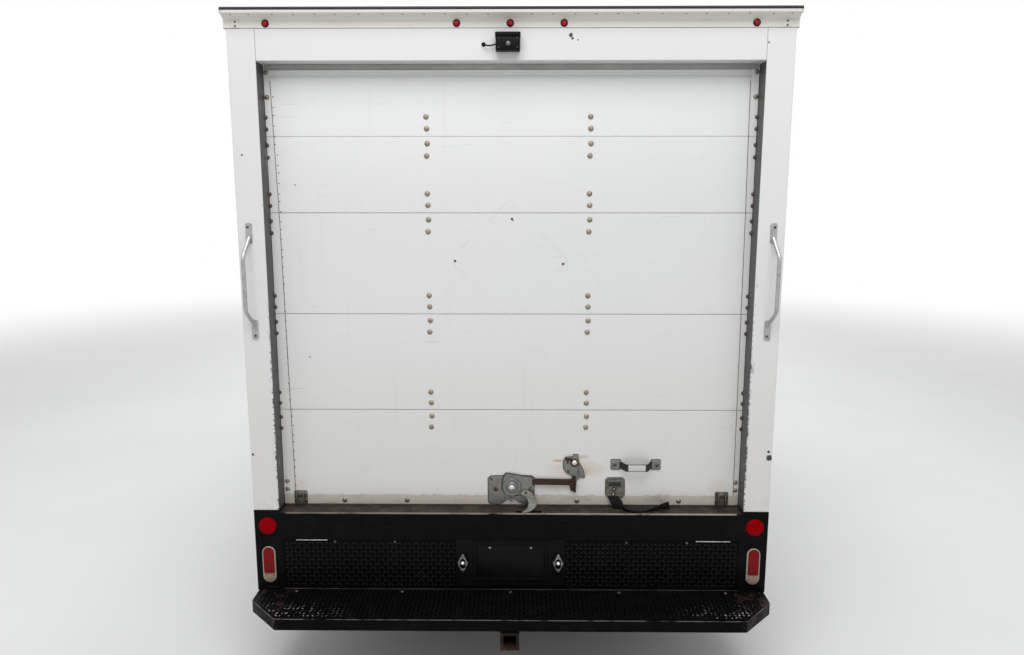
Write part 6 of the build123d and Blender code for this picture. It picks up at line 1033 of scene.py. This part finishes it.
def door_strap():
    """Webbing pull strap: out of its bracket, down to the sill and along it."""
    half = 0.0235
    form = bmesh.new()
    layer = form.loops.layers.uv.new("along")
    rows, reach = [], 0.0
    fine = smooth_route(STRAP_ROUTE)
    for i, (centre, wide) in enumerate(fine):
        ahead = (fine[min(len(fine) - 1, i + 1)][0] - fine[max(0, i - 1)][0]).normalized()
        wide = (wide - ahead * wide.dot(ahead)).normalized()
        if i:
            reach += (centre - fine[i - 1][0]).length
        rows.append(([form.verts.new(centre + wide * half * w) for w in (-1, -0.5, 0, 0.5, 1)], reach))
    for (low, low_reach), (high, high_reach) in zip(rows, rows[1:]):
        for j in range(4):
            face = form.faces.new((low[j], low[j + 1], high[j + 1], high[j]))
            flat = ((j, low_reach), (j + 1, low_reach), (j + 1, high_reach), (j, high_reach))
            for loop, (u, v) in zip(face.loops, flat):
                loop[layer].uv = (u / 4.0, v * 8.0)
    strap = piece("pull_strap", form, [strap_cloth], stands_for=["door_strap"])
    wall = strap.modifiers.new("thickness", "SOLIDIFY")
    wall.thickness = 0.0024
    wall.offset = 0.0


# Rear frame, rail and lamps

def handle_screws():
    form = bmesh.new()
    spots = ((1.062, 1.980), (1.057, 1.933), (1.058, 1.585), (1.053, 1.535))
    heads(form, [(side * x, REAR - 0.004, z) for side in (-1, 1) for x, z in spots], 0.0058, 0.003)
    piece("handle_screws", form, [dark_bolt])


def rail_trims():
    """Screws, cover strips and end caps of the roof rail."""
    form = bmesh.new()
    screws = (0.085, 0.165, 0.250, 0.330, 0.413, 0.489, 0.582, 0.673, 0.751, 0.833, 0.915, 1.005, 1.075)
    heads(form, [(side * x, REAR - 0.024, 2.7925) for side in (-1, 1) for x in screws], 0.0035, 0.003,
          (0, -0.35, -0.94))
    for side in (-1, 1):
        low, high = span(side, 1.050, 1.085)
        slab(form, (low, REAR - 0.0016, 2.7460), (high, REAR, 2.7770), 0.0006, kind=1)
        heads(form, [(side * 1.0675, REAR - 0.0016, z) for z in (2.7535, 2.7695)], 0.0042, 0.002)
        low, high = span(side, 1.1045, 1.1140)
        slab(form, (low, REAR - 0.038, 2.7960), (high, REAR + 0.070, 2.8130), 0.0015)
        heads(form, [(side * 1.114, REAR + y, 2.765) for y in (0.010, 0.050)], 0.005, 0.003, (side, 0, 0))
    piece("rail_trims", form, [dark_bolt, rail])


def rear_lights():
    """Marker lamps on the rail, round reflectors and oval lamps on the corner panels."""
    form = bmesh.new()
    markers = [(x, REAR, MARKER_Z) for x in (-0.950, -0.208, 0.0, 0.208, 0.950)]
    turned(form, ((0.0, 0.004), (0.0125, 0.004), (0.0145, 0.002), (0.0148, -0.001)), markers, kind=1)
    turned(form, ((0.0, 0.0095), (0.006, 0.0090), (0.0095, 0.0070), (0.0108, 0.0035)), markers, kind=5)
    sides = (-LAMP_X, LAMP_X)
    reflectors = [(x, REAR, REFLECTOR_Z) for x in sides]
    turned(form, ((0.0, 0.0055), (0.0345, 0.0055), (0.0370, 0.0040), (0.0380, 0.0), (0.0380, -0.001)),
           reflectors, steps=40)
    turned(form, ((0.0385, -0.001), (0.0385, 0.0012), (0.0405, 0.0008), (0.0408, -0.001)), reflectors,
           steps=40, kind=1)
    half_w, half_h, corner = 0.0235, 0.080, 0.006
    red_foot, foot_top = 0.487, 0.4845  # where the red lens ends and the pale foot of the lamp begins
    for x in sides:
        plate(form, slot_outline(x, OVAL_Z, 0.066, 0.174), REAR + 0.001, REAR - 0.0035, 0.0015, kind=1)
        plate(form, slot_outline(x, OVAL_Z, 0.057, 0.165), REAR - 0.003, REAR - 0.0085, 0.0020, 3, kind=2)
        red = arc(x, OVAL_Z + half_h - half_w, half_w, 0, 2, 16)
        red += arc(x - half_w + corner, red_foot + corner, corner, 2, 3, 4)
        red += arc(x + half_w - corner, red_foot + corner, corner, 3, 4, 4)
        plate(form, red, REAR - 0.008, REAR - 0.0130, 0.0030, 3, kind=4)
        pale = arc(x, OVAL_Z - half_h + half_w, half_w, 2, 4, 12) + [(x + half_w, foot_top), (x - half_w, foot_top)]
        plate(form, pale, REAR - 0.008, REAR - 0.0115, 0.0020, kind=3)
    piece("rear_lights", form, [red_lens, satin_black, beige_rubber, lamp_foot, faded_lens, marker_lens],
          stands_for=["rear_lamps"])


def rear_view_camera():
    """Rear-view camera: a box under a visor, its lens and its lead into the header."""
    form = bmesh.new()
    slab(form, (-0.056, REAR - 0.040, 2.655), (0.038, REAR, 2.722), 0.004, 3)
    slab(form, (-0.058, REAR - 0.046, 2.709), (0.040, REAR, 2.7235), 0.003)
    slab(form, (-0.050, REAR - 0.042, 2.661), (0.032, REAR - 0.038, 2.705), 0.002)
    eye = (-0.008, REAR - 0.040, 2.681)
    turned(form, ((0.0, 0.0045), (0.010, 0.0045), (0.011, 0.0075), (0.0145, 0.0075), (0.0155, 0.0)), eye, steps=28)
    turned(form, ((0.0, 0.0080), (0.004, 0.0074), (0.0085, 0.0055), (0.0100, 0.0040)), eye, kind=1)
    screws = [(x, REAR - 0.042, z) for x in (-0.045, 0.027) for z in (2.666, 2.700)]
    heads(form, screws, 0.0026, 0.0012, kind=2)
    lead = [(-0.054, REAR - 0.014, 2.684), (-0.072, REAR - 0.014, 2.678), (-0.088, REAR - 0.016, 2.677),
            (-0.104, REAR - 0.012, 2.683), (-0.104, REAR + 0.002, 2.684)]
    rod(form, lead, 0.003, 10, 0.008)
    turned(form, ((0.0, 0.004), (0.007, 0.004), (0.0085, 0.002), (0.0085, -0.001)), (-0.104, REAR, 2.684), steps=20)
    piece("rear_view_camera", form, [camera_black, old_zinc, dark_bolt],
          stands_for=["rear_camera"])


# Sill, kick panel and step

LUG_PITCH = 0.0190


def tread_lugs(form, across, along, level, lies, skip):
    """Rows of raised lugs, turned one way and the other, on a plate that lies or stands at a level.

    across and along give its low and high edges; skip says where it has no lug."""
    columns = int((across[1] - across[0]) / LUG_PITCH)
    rows = int((along[1] - along[0]) / LUG_PITCH)
    left = (across[0] + across[1] - (columns - 1) * LUG_PITCH) / 2
    first = (along[0] + along[1] - (rows - 1) * LUG_PITCH) / 2
    flat = Matrix.Identity(4) if lies else Matrix.Rotation(pi / 2, 4, "X")
    places = []
    for i in range(columns):
        for j in range(rows):
            a, b = left + i * LUG_PITCH, first + j * LUG_PITCH
            if not skip(a, b):
                turn = Matrix.Rotation(radians(45 if (i + j) % 2 else -45), 4, "Z")
                place = (a, b, level) if lies else (a, level, b)
                places.append(Matrix.Translation(place) @ flat @ turn)
    lug = bmesh.new()
    bmesh.ops.create_uvsphere(lug, u_segments=6, v_segments=4, radius=1.0)
    bmesh.ops.scale(lug, vec=(LUG_PITCH * 0.52, LUG_PITCH * 0.16, 0.0024), verts=lug.verts[:])
    join(form, lug, places)


def behind_plate_panel(x, z):
    return abs(x) < 0.246


def off_step(x, y):
    """Past the step's cut corners, at its rim or under the kick panel."""
    chamfer = (abs(x) - 0.960) * 0.145 / 0.137
    return y < TAIL + 0.016 + max(0.0, chamfer) or y > REAR - 0.006


def kick_and_step():
    """Lugs and bolts of the kick panel and the step, and two bright edges above the panel."""
    kick = bmesh.new()
    tread_lugs(kick, (-0.984, 0.984), (0.416, 0.632), REAR, False, behind_plate_panel)
    piece("kick_panel_lugs", kick, [lug_black])
    step = bmesh.new()
    tread_lugs(step, (-1.088, 1.088), (TAIL + 0.010, REAR), STEP_TOP, True, off_step)
    piece("step_lugs", step, [step_black])
    bolts = bmesh.new()
    step_bolts = [(x, REAR - 0.022, STEP_TOP) for x in (-0.93, -0.47, 0.0, 0.47, 0.93)]
    heads(bolts, step_bolts, 0.0075, 0.004, UPWARDS)
    heads(bolts, [(x, REAR, 0.628) for x in (-0.76, -0.50, 0.50, 0.76)], 0.006, 0.003)
    piece("step_bolts", bolts, [dark_bolt])
    lines = bmesh.new()
    for low, high in ((-0.928, -0.793), (0.798, 0.946)):
        slab(lines, (low, REAR - 0.0012, 0.6345), (high, REAR, 0.6375), 0.0004)
    piece("kick_panel_edges", lines, [bright])


def plate_details():
    """Blank registration plate in its frame, with its bolts and two chrome lamps."""
    y = REAR - 0.003
    form = bmesh.new()
    plate(form, rounded(-0.152, 0.4645, 0.152, 0.6285, 0.010), y, y - 0.003, 0.0008)
    plate(form, rounded(-0.1465, 0.4700, 0.1465, 0.6230, 0.008), y - 0.003, y - 0.0038, 0.0004)
    heads(form, [(x, y - 0.003, 0.605) for x in (-0.089, 0.089)], 0.0065, 0.003, kind=1)
    piece("blank_plate", form, [satin_black, zinc])
    lamps = bmesh.new()
    half = [(0.0, 0.043), (0.010, 0.035), (0.022, 0.009), (0.0235, 0.0), (0.022, -0.009), (0.010, -0.035),
            (0.0, -0.043)]
    z = PLATE_LAMP_Z
    bulb = ((0.0, 0.010), (0.005, 0.0092), (0.0085, 0.0060), (0.0100, 0.0))
    for x in (-PLATE_LAMP_X, PLATE_LAMP_X):
        ring = [(x + a, z + b) for a, b in half] + [(x - a, z + b) for a, b in half[-2:0:-1]]
        plate(lamps, ring, y - 0.001, y - 0.0185, 0.006, 4)
        plate(lamps, slot_outline(x, z, 0.024, 0.044), y - 0.0175, y - 0.0190, 0.0006, kind=3)
        turned(lamps, bulb, (x, y - 0.0185, z + 0.002), kind=1)
        heads(lamps, [(x, y - 0.0175, z + 0.030), (x, y - 0.0175, z - 0.030)], 0.0035, 0.002, kind=2)
    piece("licence_lamps", lamps, [chrome, bright, dark_bolt, satin_black])


# Wheels

TYRE_HALF = [  # radius, and distance from the middle of the tread
    (0.206, 0.080), (0.216, 0.0865), (0.222, 0.090), (0.227, 0.0975), (0.240, 0.1065), (0.258, 0.1150),
    (0.260, 0.1175), (0.264, 0.1178), (0.266, 0.1165), (0.290, 0.1210), (0.306, 0.1218), (0.308, 0.1225),
    (0.314, 0.1224), (0.316, 0.1208), (0.334, 0.1170), (0.350, 0.1085), (0.362, 0.1020), (0.372, 0.0890),
    (0.3745, 0.0640), (0.3845, 0.0630), (0.3858, 0.0420), (0.3845, 0.0405), (0.3740, 0.0395),
    (0.3740, 0.0320), (0.3852, 0.0310), (0.3865, 0.0120), (0.3850, 0.0105), (0.3745, 0.0100),
    (0.3745, 0.0035), (0.3860, 0.0025),
]
SHOULDER_BLOCK = [(0.370, 0.064), (0.3845, 0.064), (0.3825, 0.090), (0.3765, 0.1015), (0.3620, 0.1105),
                  (0.346, 0.109)]
BLOCKS = 60


def tyre_form():
    """A road tyre that turns about X: grooved ribs, shoulder blocks and ringed side walls."""
    profile = [(radius, -far) for radius, far in TYRE_HALF] + TYRE_HALF[::-1]
    form = bmesh.new()
    turned(form, profile + profile[:1], (0, 0, 0), (1, 0, 0), 90)
    block = bmesh.new()
    ends = []
    for turn in (-0.036, 0.036):
        ends.append([block.verts.new((far, -radius * sin(turn), radius * cos(turn)))
                     for radius, far in SHOULDER_BLOCK])
    near, other = ends
    block.faces.new(near)
    block.faces.new(other[::-1])
    for k in range(len(near)):
        after = (k + 1) % len(near)
        block.faces.new((near[k], other[k], other[after], near[after]))
    bmesh.ops.recalc_face_normals(block, faces=block.faces[:])
    flip = Matrix.Rotation(pi, 4, "Z")
    places = []
    for k in range(BLOCKS):
        places.append(Matrix.Rotation(2 * pi * k / BLOCKS, 4, "X"))
        places.append(Matrix.Rotation(2 * pi * (k + 0.5) / BLOCKS, 4, "X") @ flip)
    join(form, block, places)
    return form


def tyres_and_nuts():
    """Tyres, wheel nuts, hub caps and the bolts of the rear axle's flanges, each on its own wheel."""
    for name, x, y in WHEELS:
        side = -1 if x < 0 else 1
        outwards = (side, 0, 0)
        axle, end = name.split("_")
        body = axle + "_wheel_" + end
        tyre = tyre_form()
        bmesh.ops.translate(tyre, verts=tyre.verts[:], vec=(x, y, AXLE_Z))
        piece("tyre_" + name, tyre, [tyre_rubber], body, 32, stands_for=[axle + "_tyre_" + end])
        nuts = bmesh.new()
        studs = ring_of(8, x + side * 0.022, y, AXLE_Z, 0.076)
        heads(nuts, studs, 0.0125, 0.020, outwards, hexagon=True)
        heads(nuts, studs, 0.0065, 0.026, outwards, kind=1)
        hub = x + side * 0.052
        if axle == "rear":
            heads(nuts, ring_of(8, hub, y, AXLE_Z, 0.044, 0.2), 0.0075, 0.006, outwards, hexagon=True)
        else:
            cap = ((0.0, 0.014), (0.020, 0.0135), (0.030, 0.010), (0.034, 0.003), (0.035, -0.001))
            turned(nuts, cap, (hub, y, AXLE_Z), outwards, 28)
        piece("wheel_nuts_" + name, nuts, [old_zinc, dark_bolt], body)


# Cab

def on_screen(x, rise, out):
    """A point beside the windscreen: how far up its slope, and how far off its face."""
    return (x, SCREEN_FOOT_Y - SCREEN_BACK * rise + SCREEN_UP * out,
            SCREEN_FOOT_Z + SCREEN_UP * rise + SCREEN_BACK * out)


def wipers():
    form = bmesh.new()
    for pivot, low, high in ((-0.080, -0.800, -0.240), (0.640, -0.060, 0.500)):
        middle = (low + high) / 2
        rod(form, [on_screen(low, 0.085, 0.010), on_screen(middle, 0.090, 0.011), on_screen(high, 0.085, 0.010)],
            flat=(0.006, 0.012))
        rod(form, [on_screen(pivot, 0.060, 0.020), on_screen(middle + 0.12, 0.085, 0.024),
                   on_screen(middle, 0.092, 0.018)], flat=(0.012, 0.005), bend=0.03)
        turned(form, ((0.0, 0.022), (0.010, 0.021), (0.014, 0.014), (0.016, 0.0)), on_screen(pivot, 0.060, 0.002),
               (0, SCREEN_UP, SCREEN_BACK), 20)
    piece("wipers", form, [soft_black])


def mirror_panes():
    form = bmesh.new()
    for x in (-1.2375, 1.2375):
        slab(form, (x - 0.0795, 1.4735, 1.263), (x + 0.0795, 1.4775, 1.537), 0.0015)
    piece("mirror_panes", form, [mirror_glass()])


def dial(form, x, z, radius):
    """A dial with its rim, 13 ticks and a needle."""
    face = ((0.0, 0.003), (radius - 0.005, 0.003), (radius - 0.004, 0.009), (radius, 0.009), (radius + 0.002, -0.010))
    turned(form, face, (x, DASH_Y - 0.004, z), (0, -1, 0.09), 40, 1)
    for k in range(13):
        turn = radians(220 - 20 * k)
        tick = [(x + far * cos(turn), DASH_Y - 0.008, z + far * sin(turn)) for far in (radius - 0.016, radius - 0.008)]
        rod(form, tick, 0.0009, 4, kind=2)
    needle = [(x, DASH_Y - 0.009, z), (x - 0.6 * radius, DASH_Y - 0.009, z - 0.45 * radius)]
    rod(form, needle, 0.0011, 4, kind=3)


def driving_place():
    """Dials, the radio and heater panel, vents and the glove box, all without letters."""
    form = bmesh.new()
    for x, z, radius in ((-0.560, 1.222, 0.058), (-0.400, 1.222, 0.058), (-0.480, 1.250, 0.026)):
        dial(form, x, z, radius)
    y, inside = DASH_Y, DASH_Y + 0.022
    slab(form, (-0.095, y, 1.020), (0.095, y + 0.032, 1.150), 0.004, kind=1)
    slab(form, (-0.085, y - 0.002, 1.095), (0.085, inside, 1.142), 0.003)
    slab(form, (-0.045, y - 0.003, 1.106), (0.045, inside, 1.130), 0.001, kind=1)
    knobs = [(x, y - 0.001, 1.118) for x in (-0.066, 0.066)]
    turned(form, ((0.0, 0.012), (0.010, 0.012), (0.012, 0.0)), knobs, steps=20, kind=1)
    knobs = [(x, y + 0.002, 1.056) for x in (-0.060, 0.0, 0.060)]
    turned(form, ((0.0, 0.014), (0.014, 0.014), (0.017, 0.0)), knobs)
    for x in (-0.780, -0.210, 0.250, 0.760):
        slab(form, (x - 0.060, y, 1.085), (x + 0.060, inside, 1.145), 0.004)
        slab(form, (x - 0.053, y - 0.0005, 1.091), (x + 0.053, y + 0.001, 1.139), kind=1)
        for k in range(5):
            z = 1.096 + 0.0095 * k
            slab(form, (x - 0.052, y - 0.0025, z), (x + 0.052, y + 0.001, z + 0.003))
    slab(form, (0.360, y + 0.002, 0.960), (0.660, y + 0.032, 1.050), 0.006)
    slab(form, (0.490, y - 0.002, 1.030), (0.530, inside, 1.042), 0.002, kind=1)
    piece("dash_controls", form, [dark_lining, soft_black, grip_paint, amber_lens])


def pedals():
    form = bmesh.new()
    for x, wide, z in ((-0.520, 0.110, 0.745), (-0.360, 0.055, 0.735)):
        slab(form, (x - wide / 2, 1.765, z - 0.035), (x + wide / 2, 1.781, z + 0.035), 0.005)
        rod(form, [(x, 1.780, z), (x, 1.840, z + 0.10), (x, 1.900, z + 0.24)], 0.007, 8, 0.03, kind=1)
    piece("pedals", form, [pedal_rubber, dark_bolt])


# Seats

SEAT_X = 0.480  # middle of a seat
SEAT_FOOT_Z = 0.865  # height at which the back starts to lean
BOLSTER_X = 0.150  # from a seat's middle to its side channels
AIR_STEPS = 20  # moments of the cloth simulation
SEAT_FORMS = (  # name, low and high corner, edge radius, lean, Y that the lean starts from, cap on the air
    ("cushion", (0.247, 0.700, 0.826), (0.713, 1.160, 0.918), 0.028, 0.0, 0.0, 0.020),
    ("back", (0.247, 0.0, 0.865), (0.713, 0.100, 1.410), 0.028, 0.16, 0.683, 0.018),
    ("head_rest", (0.375, 0.0, 1.445), (0.585, 0.062, 1.605), 0.022, 0.16, 0.684, 0.010),
)
CHANNELS = {  # axis that a pad faces, axis across its channels, height of its bolsters, places of the channels
    "cushion": (2, 1, 0.010, (0.800, 0.920, 1.040)),
    "back": (1, 2, 0.008, (1.010, 1.130, 1.250)),
}


def blown(form, reach):
    """A closed form filled with air like a cushion, with no point carried further than reach."""
    scene = bpy.context.scene
    mesh = bpy.data.meshes.new("pad start")
    form.to_mesh(mesh)
    form.free()
    pad = bpy.data.objects.new("pad start", mesh)
    scene.collection.objects.link(pad)
    grid = pad.modifiers.new("grid", "REMESH")
    grid.mode = "VOXEL"
    grid.voxel_size = 0.012
    bpy.context.view_layer.update()
    even = bpy.data.meshes.new_from_object(pad.evaluated_get(bpy.context.evaluated_depsgraph_get()))
    pad.modifiers.clear()
    pad.data = even
    rest = [vert.co.copy() for vert in even.vertices]
    result = even
    air = pad.modifiers.new("air", "CLOTH")
    air.settings.quality = 5
    air.settings.use_pressure = True
    air.settings.uniform_pressure_force = 4.0
    air.settings.effector_weights.gravity = 0.0
    air.point_cache.frame_start = 1
    air.point_cache.frame_end = AIR_STEPS
    for moment in range(1, AIR_STEPS + 1):
        scene.frame_set(moment)
    result = bpy.data.meshes.new_from_object(pad.evaluated_get(bpy.context.evaluated_depsgraph_get()))
    scene.frame_set(1)
    made = bmesh.new()
    made.from_mesh(result)
    made.verts.ensure_lookup_table()
    for vert, start in zip(made.verts, rest):
        move = vert.co - start
        if move.length > reach:
            vert.co = start + move.normalized() * reach
    bpy.data.objects.remove(pad)
    bmesh.ops.subdivide_edges(made, edges=made.edges[:], cuts=1, use_grid_fill=True, smooth=0.6)
    for _ in range(2):
        bmesh.ops.smooth_vert(made, verts=made.verts[:], factor=0.4, use_axis_x=True, use_axis_y=True,
                              use_axis_z=True)
    return made


def groove(off, width):
    """Depth of a sewn channel, from 1 in its middle to 0."""
    return exp(-(off / width) ** 2)


def sew(made, name):
    """Draws the channels into a pad, and raises the bolsters beside them."""
    made.normal_update()
    for vert in made.verts:
        across = abs(vert.co.x - SEAT_X)
        if name == "head_rest":
            not_side = max(0.0, 1 - abs(vert.normal.x) * 1.2)
            vert.co -= vert.normal * 0.004 * not_side * groove(across - 0.080, 0.006)
            continue
        out, run, swell, seams = CHANNELS[name]
        facing = max(0.0, vert.normal[out])
        depth = groove(across - BOLSTER_X, 0.007)
        if across < BOLSTER_X + 0.005:
            depth += sum(groove(vert.co[run] - seam, 0.007) for seam in seams)
        bolster = min(1.0, max(0.0, (across - BOLSTER_X) / 0.05))
        vert.co[out] += facing * (swell * bolster - 0.009 * min(1.0, depth))


def seat_pads():
    """Two seats, each of a cushion, a back and a head rest with sewn channels."""
    first = True
    for name, low, high, edge, lean, start_y, reach in SEAT_FORMS:
        form = bmesh.new()
        slab(form, low, high, edge, 3)
        for vert in form.verts:
            vert.co.y += start_y - (vert.co.z - SEAT_FOOT_Z) * lean
        made = blown(form, reach)
        sew(made, name)
        mesh = bpy.data.meshes.new("pad")
        made.to_mesh(mesh)
        made.free()
        for side, end in ((1, "right"), (-1, "left")):
            copy = bmesh.new()
            copy.from_mesh(mesh)
            if side < 0:
                bmesh.ops.scale(copy, vec=(-1, 1, 1), verts=copy.verts[:])
                bmesh.ops.reverse_faces(copy, faces=copy.faces[:])
            pad = piece("seat_" + name + "_" + end, copy, [cloth], sharp=180,
                        stands_for=["seats"] if first else ())
            first = False
        bpy.data.meshes.remove(mesh)
    posts = bmesh.new()
    for x in (-0.545, -0.415, 0.415, 0.545):
        rod(posts, [(x, 0.640, 1.380), (x, 0.634, 1.470)], 0.006)
    piece("head_rest_posts", posts, [bright])


# Box

RIVET_R, RIVET_H = 0.0048, 0.0022


def over_arch(y, z):
    return hypot(y - REAR_AXLE_Y, z - AXLE_Z) < 0.490


def button_lamps(form, places):
    """Amber button lamps with their rubber rings, facing forwards."""
    turned(form, ((0.0, 0.014), (0.020, 0.012), (0.028, 0.006), (0.030, -0.001)), places, FORWARDS, kind=2)
    turned(form, ((0.031, 0.003), (0.035, 0.002), (0.035, -0.001)), places, FORWARDS, kind=1)


def box_fastenings():
    """Seam strips with their rivets on the sides and the front of the box, and its marker lamps."""
    strips, rivets, lamps = bmesh.new(), bmesh.new(), bmesh.new()
    row = [-2.465 + 0.0735 * k for k in range(38)]  # Y of the rivets under the roof and along the skirt
    for side in (-1, 1):
        outwards = (side, 0, 0)
        low, high = span(side, HALF_W, HALF_W + 0.002)
        for seam in (-1.845, -1.250, -0.655, -0.060):
            foot = 0.696 if abs(seam - REAR_AXLE_Y) > 0.49 else 0.890
            slab(strips, (low, seam - 0.022, foot), (high, seam + 0.022, 2.689))
            count = int((2.68 - foot) / 0.1)
            spots = [(side * (HALF_W + 0.002), seam + shift, foot + 0.04 + 0.1 * k)
                     for shift in (-0.012, 0.012) for k in range(count)]
            heads(rivets, spots, RIVET_R, RIVET_H, outwards, 6)
        heads(rivets, [(side * 1.109, y, 2.720) for y in row], RIVET_R, RIVET_H, outwards, 6)
        skirt = [(side * 1.115, y, 0.668) for y in row if not over_arch(y, 0.668)]
        heads(rivets, skirt, 0.0055, 0.0028, outwards, 6)
        for y, kind in ((-2.380, 0), (0.230, 2)):
            low, high = span(side, 1.114, 1.117)
            slab(lamps, (low, y - 0.036, 0.652), (high, y + 0.036, 0.684), 0.001, kind=1)
            low, high = span(side, 1.116, 1.128)
            slab(lamps, (low, y - 0.030, 0.656), (high, y + 0.030, 0.680), 0.004, kind=kind)
    button_lamps(lamps, [(x, BOX_FRONT, 2.700) for x in (-1.000, -0.160, 0.0, 0.160, 1.000)])
    for x in (-0.420, 0.420):
        slab(strips, (x - 0.020, BOX_FRONT, 0.720), (x + 0.020, BOX_FRONT + 0.002, 2.640))
        spots = [(x + shift, BOX_FRONT + 0.002, 0.76 + 0.1 * k) for shift in (-0.011, 0.011) for k in range(19)]
        heads(rivets, spots, RIVET_R, RIVET_H, FORWARDS, 6)
    heads(rivets, [(-0.980 + 0.0726 * k, BOX_FRONT, 2.735) for k in range(28)], RIVET_R, RIVET_H, FORWARDS, 6)
    piece("box_seam_strips", strips, [box_sheet])
    piece("box_rivets", rivets, [old_zinc])
    piece("box_marker_lamps", lamps, [red_lens, soft_black, amber_lens])


# Stage, light and camera

def stage():
    """A pale floor that fades to white far off, and a world that is white only where it is seen."""
    floor = bpy.data.meshes.new("floor")
    form = bmesh.new()
    bmesh.ops.create_grid(form, x_segments=1, y_segments=1, size=40.0)
    form.to_mesh(floor)
    form.free()
    ground = bpy.data.objects.new("floor", floor)
    bpy.context.scene.collection.objects.link(ground)
    look = Finish("studio floor", (0.78, 0.785, 0.79), 0.65)
    look.mottle((0.75, 0.755, 0.76), 1.0, 1.5, 0.3, 0.8, 3)
    seen = look.add("ShaderNodeLightPath").outputs["Is Camera Ray"]
    reach = look.add("ShaderNodeVectorMath", {0: look.object_place}, operation="LENGTH").outputs["Value"]
    white = look.add("ShaderNodeEmission", {"Color": (1, 1, 1, 1), "Strength": 1.0}).outputs["Emission"]
    blend = look.add("ShaderNodeMixShader", {0: look.times(seen, look.rise(reach, 5.0, 13.0)),
                                             1: look.shader.outputs["BSDF"], 2: white})
    look.tree.links.new(blend.outputs["Shader"], look.tree.nodes["Material Output"].inputs["Surface"])
    floor.materials.append(look.done())

    world = bpy.data.worlds.new("studio")
    bpy.context.scene.world = world
    world.use_nodes = True
    tree = world.node_tree
    rays = add_node(tree, "ShaderNodeLightPath").outputs
    shown = rays["Is Camera Ray"]
    for ray in ("Is Glossy Ray", "Is Transmission Ray"):
        shown = add_node(tree, "ShaderNodeMath", {0: shown, 1: rays[ray]}, operation="MAXIMUM").outputs["Value"]
    level = add_node(tree, "ShaderNodeMapRange", {"Value": shown, "To Min": 0.50, "To Max": 1.0})
    back = tree.nodes["Background"]
    tree.links.new(level.outputs["Result"], back.inputs["Strength"])
    back.inputs["Color"].default_value = (1.0, 1.0, 1.0, 1.0)


def soft_light(name, place, aim, size, power):
    lamp = bpy.data.lights.new(name, "AREA")
    lamp.shape = "RECTANGLE"
    lamp.size, lamp.size_y = size
    lamp.energy = power
    light = bpy.data.objects.new(name, lamp)
    bpy.context.scene.collection.objects.link(light)
    light.location = place
    light.rotation_euler = (Vector(aim) - Vector(place)).to_track_quat("-Z", "Y").to_euler()


def view_from_photo():
    camera = bpy.data.cameras.new("camera")
    camera.sensor_width = 36.0
    camera.lens = 27.525
    eye = bpy.data.objects.new("camera", camera)
    bpy.context.scene.collection.objects.link(eye)
    eye.location = (0.0392, -5.7878, 2.1111)
    eye.rotation_euler = (radians(90 - 9.659), 0.0, radians(0.589))
    bpy.context.scene.camera = eye


door_bolts()
door_trims()
door_latch()
door_handles()
door_strap()
handle_screws()
rail_trims()
rear_lights()
rear_view_camera()
kick_and_step()
plate_details()
tyres_and_nuts()
wipers()
mirror_panes()
driving_place()
pedals()
seat_pads()
box_fastenings()
stage()
soft_light("overhead rear", (0.0, -5.6, 6.2), (0.0, -2.6, 1.4), (5.0, 3.0), 197)
soft_light("overhead front", (0.0, 6.2, 6.0), (0.0, 2.2, 1.0), (5.0, 3.0), 197)
soft_light("overhead", (0.0, 0.0, 6.8), (0.0, 0.0, 0.0), (5.0, 7.0), 160)
view_from_photo()
bpy.context.scene.view_settings.view_transform = "Standard"
